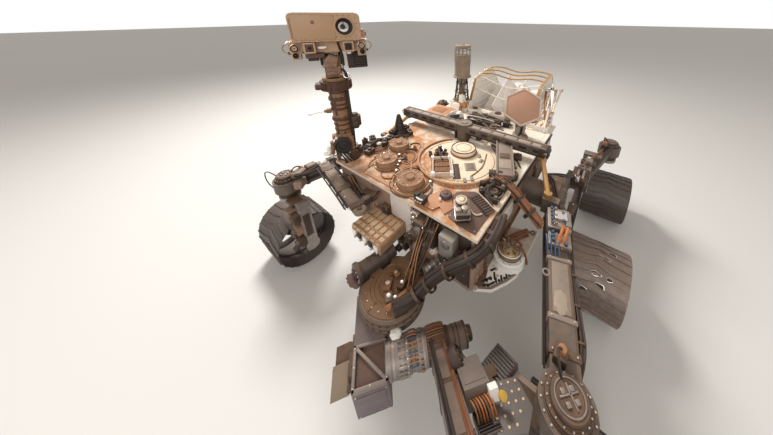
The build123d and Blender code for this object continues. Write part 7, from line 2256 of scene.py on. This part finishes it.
# %% Tools on the turret
tools = (
    # node, turn, half width, low, high, housing reach, nose reach, nose radius, nose height
    ("drill", 0, 0.055, 0.010, 0.160, 0.190, 0.300, 0.050, 0.085),
    ("contact_sensor", 78, 0.044, 0.030, 0.130, 0.170, 0.232, 0.040, 0.080),
    ("brush", 122, 0.026, 0.050, 0.130, 0.160, 0.214, 0.024, 0.090),
    ("hand_camera", 165, 0.044, 0.020, 0.120, 0.176, 0.214, 0.032, 0.070),
    ("sample_box", -90, 0.078, -0.010, 0.180, 0.250, 0.0, 0.0, 0.0),
)
for node, turn, half, low, high, reach, nose_reach, nose_radius, nose_z in tools:
    tool = turret @ at(0, 0, 0.084, turn_z=turn)
    middle = (low + high) / 2
    trim = bmesh.new()
    for x in (0.122, reach - 0.014):
        join(trim, block(0.012, half * 2 + 0.006, high - low + 0.006, 0.002), tool @ at(x, 0, middle), 1)
    for y in (-half + 0.008, half - 0.008):
        for z in (low + 0.008, middle, high - 0.008):
            join(trim, screw(0.0036, 0.0034), tool @ at(reach, y, z) @ look_along_x, 2)
        join(trim, block(reach - 0.128, 0.004, 0.004, 0.001),
             tool @ at((reach + 0.128) / 2, y, high + 0.001), 3)
    for y in (-half, half):
        side_turn = 90 if y < 0 else -90
        join(trim, block(reach - 0.150, 0.004, (high - low) * 0.6, 0.001),
             tool @ at((reach + 0.120) / 2, y, middle), 0)
        for x in (0.140, reach - 0.030):
            join(trim, screw(0.0032, 0.003), tool @ at(x, y, high - 0.014, turn_x=side_turn), 2)
    bundle(trim, moved(tool, (
            (0.050, 0.010, high + 0.020), (0.110, 0.014, high + 0.022),
            (reach - 0.030, 0.006, high + 0.008), (reach - 0.004, 0.0, high - 0.020))), 3, 0.006, 0.0034, 4)
    if nose_radius:
        nose = tool @ at(0, 0, nose_z) @ look_along_x
        for share in (0.25, 0.55, 0.9):
            join(trim, ring(nose_radius + 0.003, 0.004, 0.007, 48),
                 nose @ at(0, 0, reach + (nose_reach - reach) * share), 1)
        screws_round(trim, nose @ at(0, 0, nose_reach), nose_radius * 0.82, 10, 0.0028, 2)
    if node == "drill":
        for step in range(7):
            join(trim, ring(0.0150, 0.002, 0.004, 24), nose @ at(0, 0, 0.306 + 0.009 * step), 2)
        for y in (-0.044, 0.044):
            for x in (0.210, 0.250, 0.330):
                join(trim, ring(0.0105, 0.002, 0.006, 24), tool @ at(x, y, nose_z, turn_y=90), 1)
    elif node == "contact_sensor":
        join(trim, ring(0.026, 0.006, 0.006, 40), nose @ at(0, 0, nose_reach + 0.001), 3)
        join(trim, drum(0.010, 0.004, 0.001, 24), nose @ at(0, 0, nose_reach + 0.001), 2)
    elif node == "brush":
        for step in range(24):
            angle = math.radians(15 * step)
            place = nose @ at(*polar(0.014, angle), nose_reach + 0.010)
            join(trim, drum(0.0012, 0.022, 0.0, 8), place, 2)
    elif node == "hand_camera":
        lens(trim, nose @ at(0, 0, nose_reach), 0.022, 5, 6)
        for step in range(4):
            angle = math.radians(45 + 90 * step)
            join(trim, drum(0.0035, 0.004, 0.001, 14), nose @ at(*polar(0.028, angle), nose_reach + 0.001),
                 7)
    else:
        for x, y, radius, height in (
                (0.150, -0.030, 0.018, 0.020), (0.200, 0.030, 0.022, 0.014), (0.210, -0.034, 0.014, 0.026)):
            join(trim, drum(radius, height, 0.003, 32), tool @ at(x, y, high + height / 2), 3)
            join(trim, ring(radius + 0.003, 0.003, 0.005, 32), tool @ at(x, y, high + 0.002), 1)
        join(trim, block(0.004, 0.120, 0.100, 0.001), tool @ at(reach + 0.001, 0, middle), 0)
    piece(node + "_details", node, trim,
          [fitting_grey, dark_drive, bright_metal, silver_grey, black_wire, black_coat, glass, cream_paint])

# %% [markdown]
# ## Floor, light and camera
# The floor is plain and pale. One large soft lamp stands high behind the starboard side, where
# the sun is, and a second weak one fills from the front. The camera stands where the rover's own
# hand camera is held, and looks back and down at the machine with a wide lens.

# %% Floor
floor_mesh = bmesh.new()
bmesh.ops.create_grid(floor_mesh, x_segments=1, y_segments=1, size=60.0)
floor_data = bpy.data.meshes.new("floor")
floor_mesh.to_mesh(floor_data)
floor_mesh.free()
floor = bpy.data.objects.new("floor", floor_data)
bpy.context.scene.collection.objects.link(floor)
floor_finish = bpy.data.materials.new("pale floor")
floor_finish.use_nodes = True
floor_shader = floor_finish.node_tree.nodes["Principled BSDF"]
floor_shader.inputs["Base Color"].default_value = linear("DEDAD4")
floor_shader.inputs["Roughness"].default_value = 0.9
floor_data.materials.append(floor_finish)

# %% World
world = bpy.data.worlds.new("studio")
bpy.context.scene.world = world
world.use_nodes = True
sky = world.node_tree
rays = add(sky, "ShaderNodeLightPath")
seen = add(sky, "ShaderNodeMath", None,
           {0: rays.outputs["Is Camera Ray"], 1: rays.outputs["Is Glossy Ray"]}, operation="MAXIMUM")
seen_all = add(sky, "ShaderNodeMath", None, {0: seen.outputs[0], 1: rays.outputs["Is Transmission Ray"]},
               operation="MAXIMUM")
dim = sky.nodes["Background"]
dim.inputs["Color"].default_value = linear("E6E2DC")
dim.inputs["Strength"].default_value = 0.55
white = add(sky, "ShaderNodeBackground", {"Color": (1, 1, 1, 1), "Strength": 1.0})
blend = add(sky, "ShaderNodeMixShader", None,
            {0: seen_all.outputs[0], 1: dim.outputs[0], 2: white.outputs[0]})
sky.links.new(blend.outputs[0], sky.nodes["World Output"].inputs["Surface"])

# %% Lamps
def lamp(name, place, aim, size, watts):
    """A round area light at a place, turned to what it lights."""
    data = bpy.data.lights.new(name, "AREA")
    data.shape = "DISK"
    data.size = size
    data.energy = watts
    thing = bpy.data.objects.new(name, data)
    bpy.context.scene.collection.objects.link(thing)
    thing.location = home + Vector(place)
    thing.rotation_euler = (Vector(aim) - Vector(place)).to_track_quat("-Z", "Y").to_euler()


lamp("key", (-1.5, -4.5, 6.5), (0.2, 0.0, 0.8), 2.5, 620)
lamp("fill", (4.5, 2.5, 3.5), (0.3, 0.0, 0.9), 4.0, 110)

# %% Camera
camera_data = bpy.data.cameras.new("hand camera view")
camera = bpy.data.objects.new("hand camera view", camera_data)
bpy.context.scene.collection.objects.link(camera)
camera.location = home + Vector((1.676, 0.973, 2.117))
camera.rotation_euler = (math.radians(68.4), 0.0, math.radians(125.35))
camera_data.sensor_width = 36.0
camera_data.lens = 11.256
camera_data.shift_x = -0.0787
camera_data.shift_y = -0.1392
camera_data.clip_start = 0.02
camera_data.clip_end = 200.0
bpy.context.scene.camera = camera
bpy.context.scene.view_settings.view_transform = "Standard"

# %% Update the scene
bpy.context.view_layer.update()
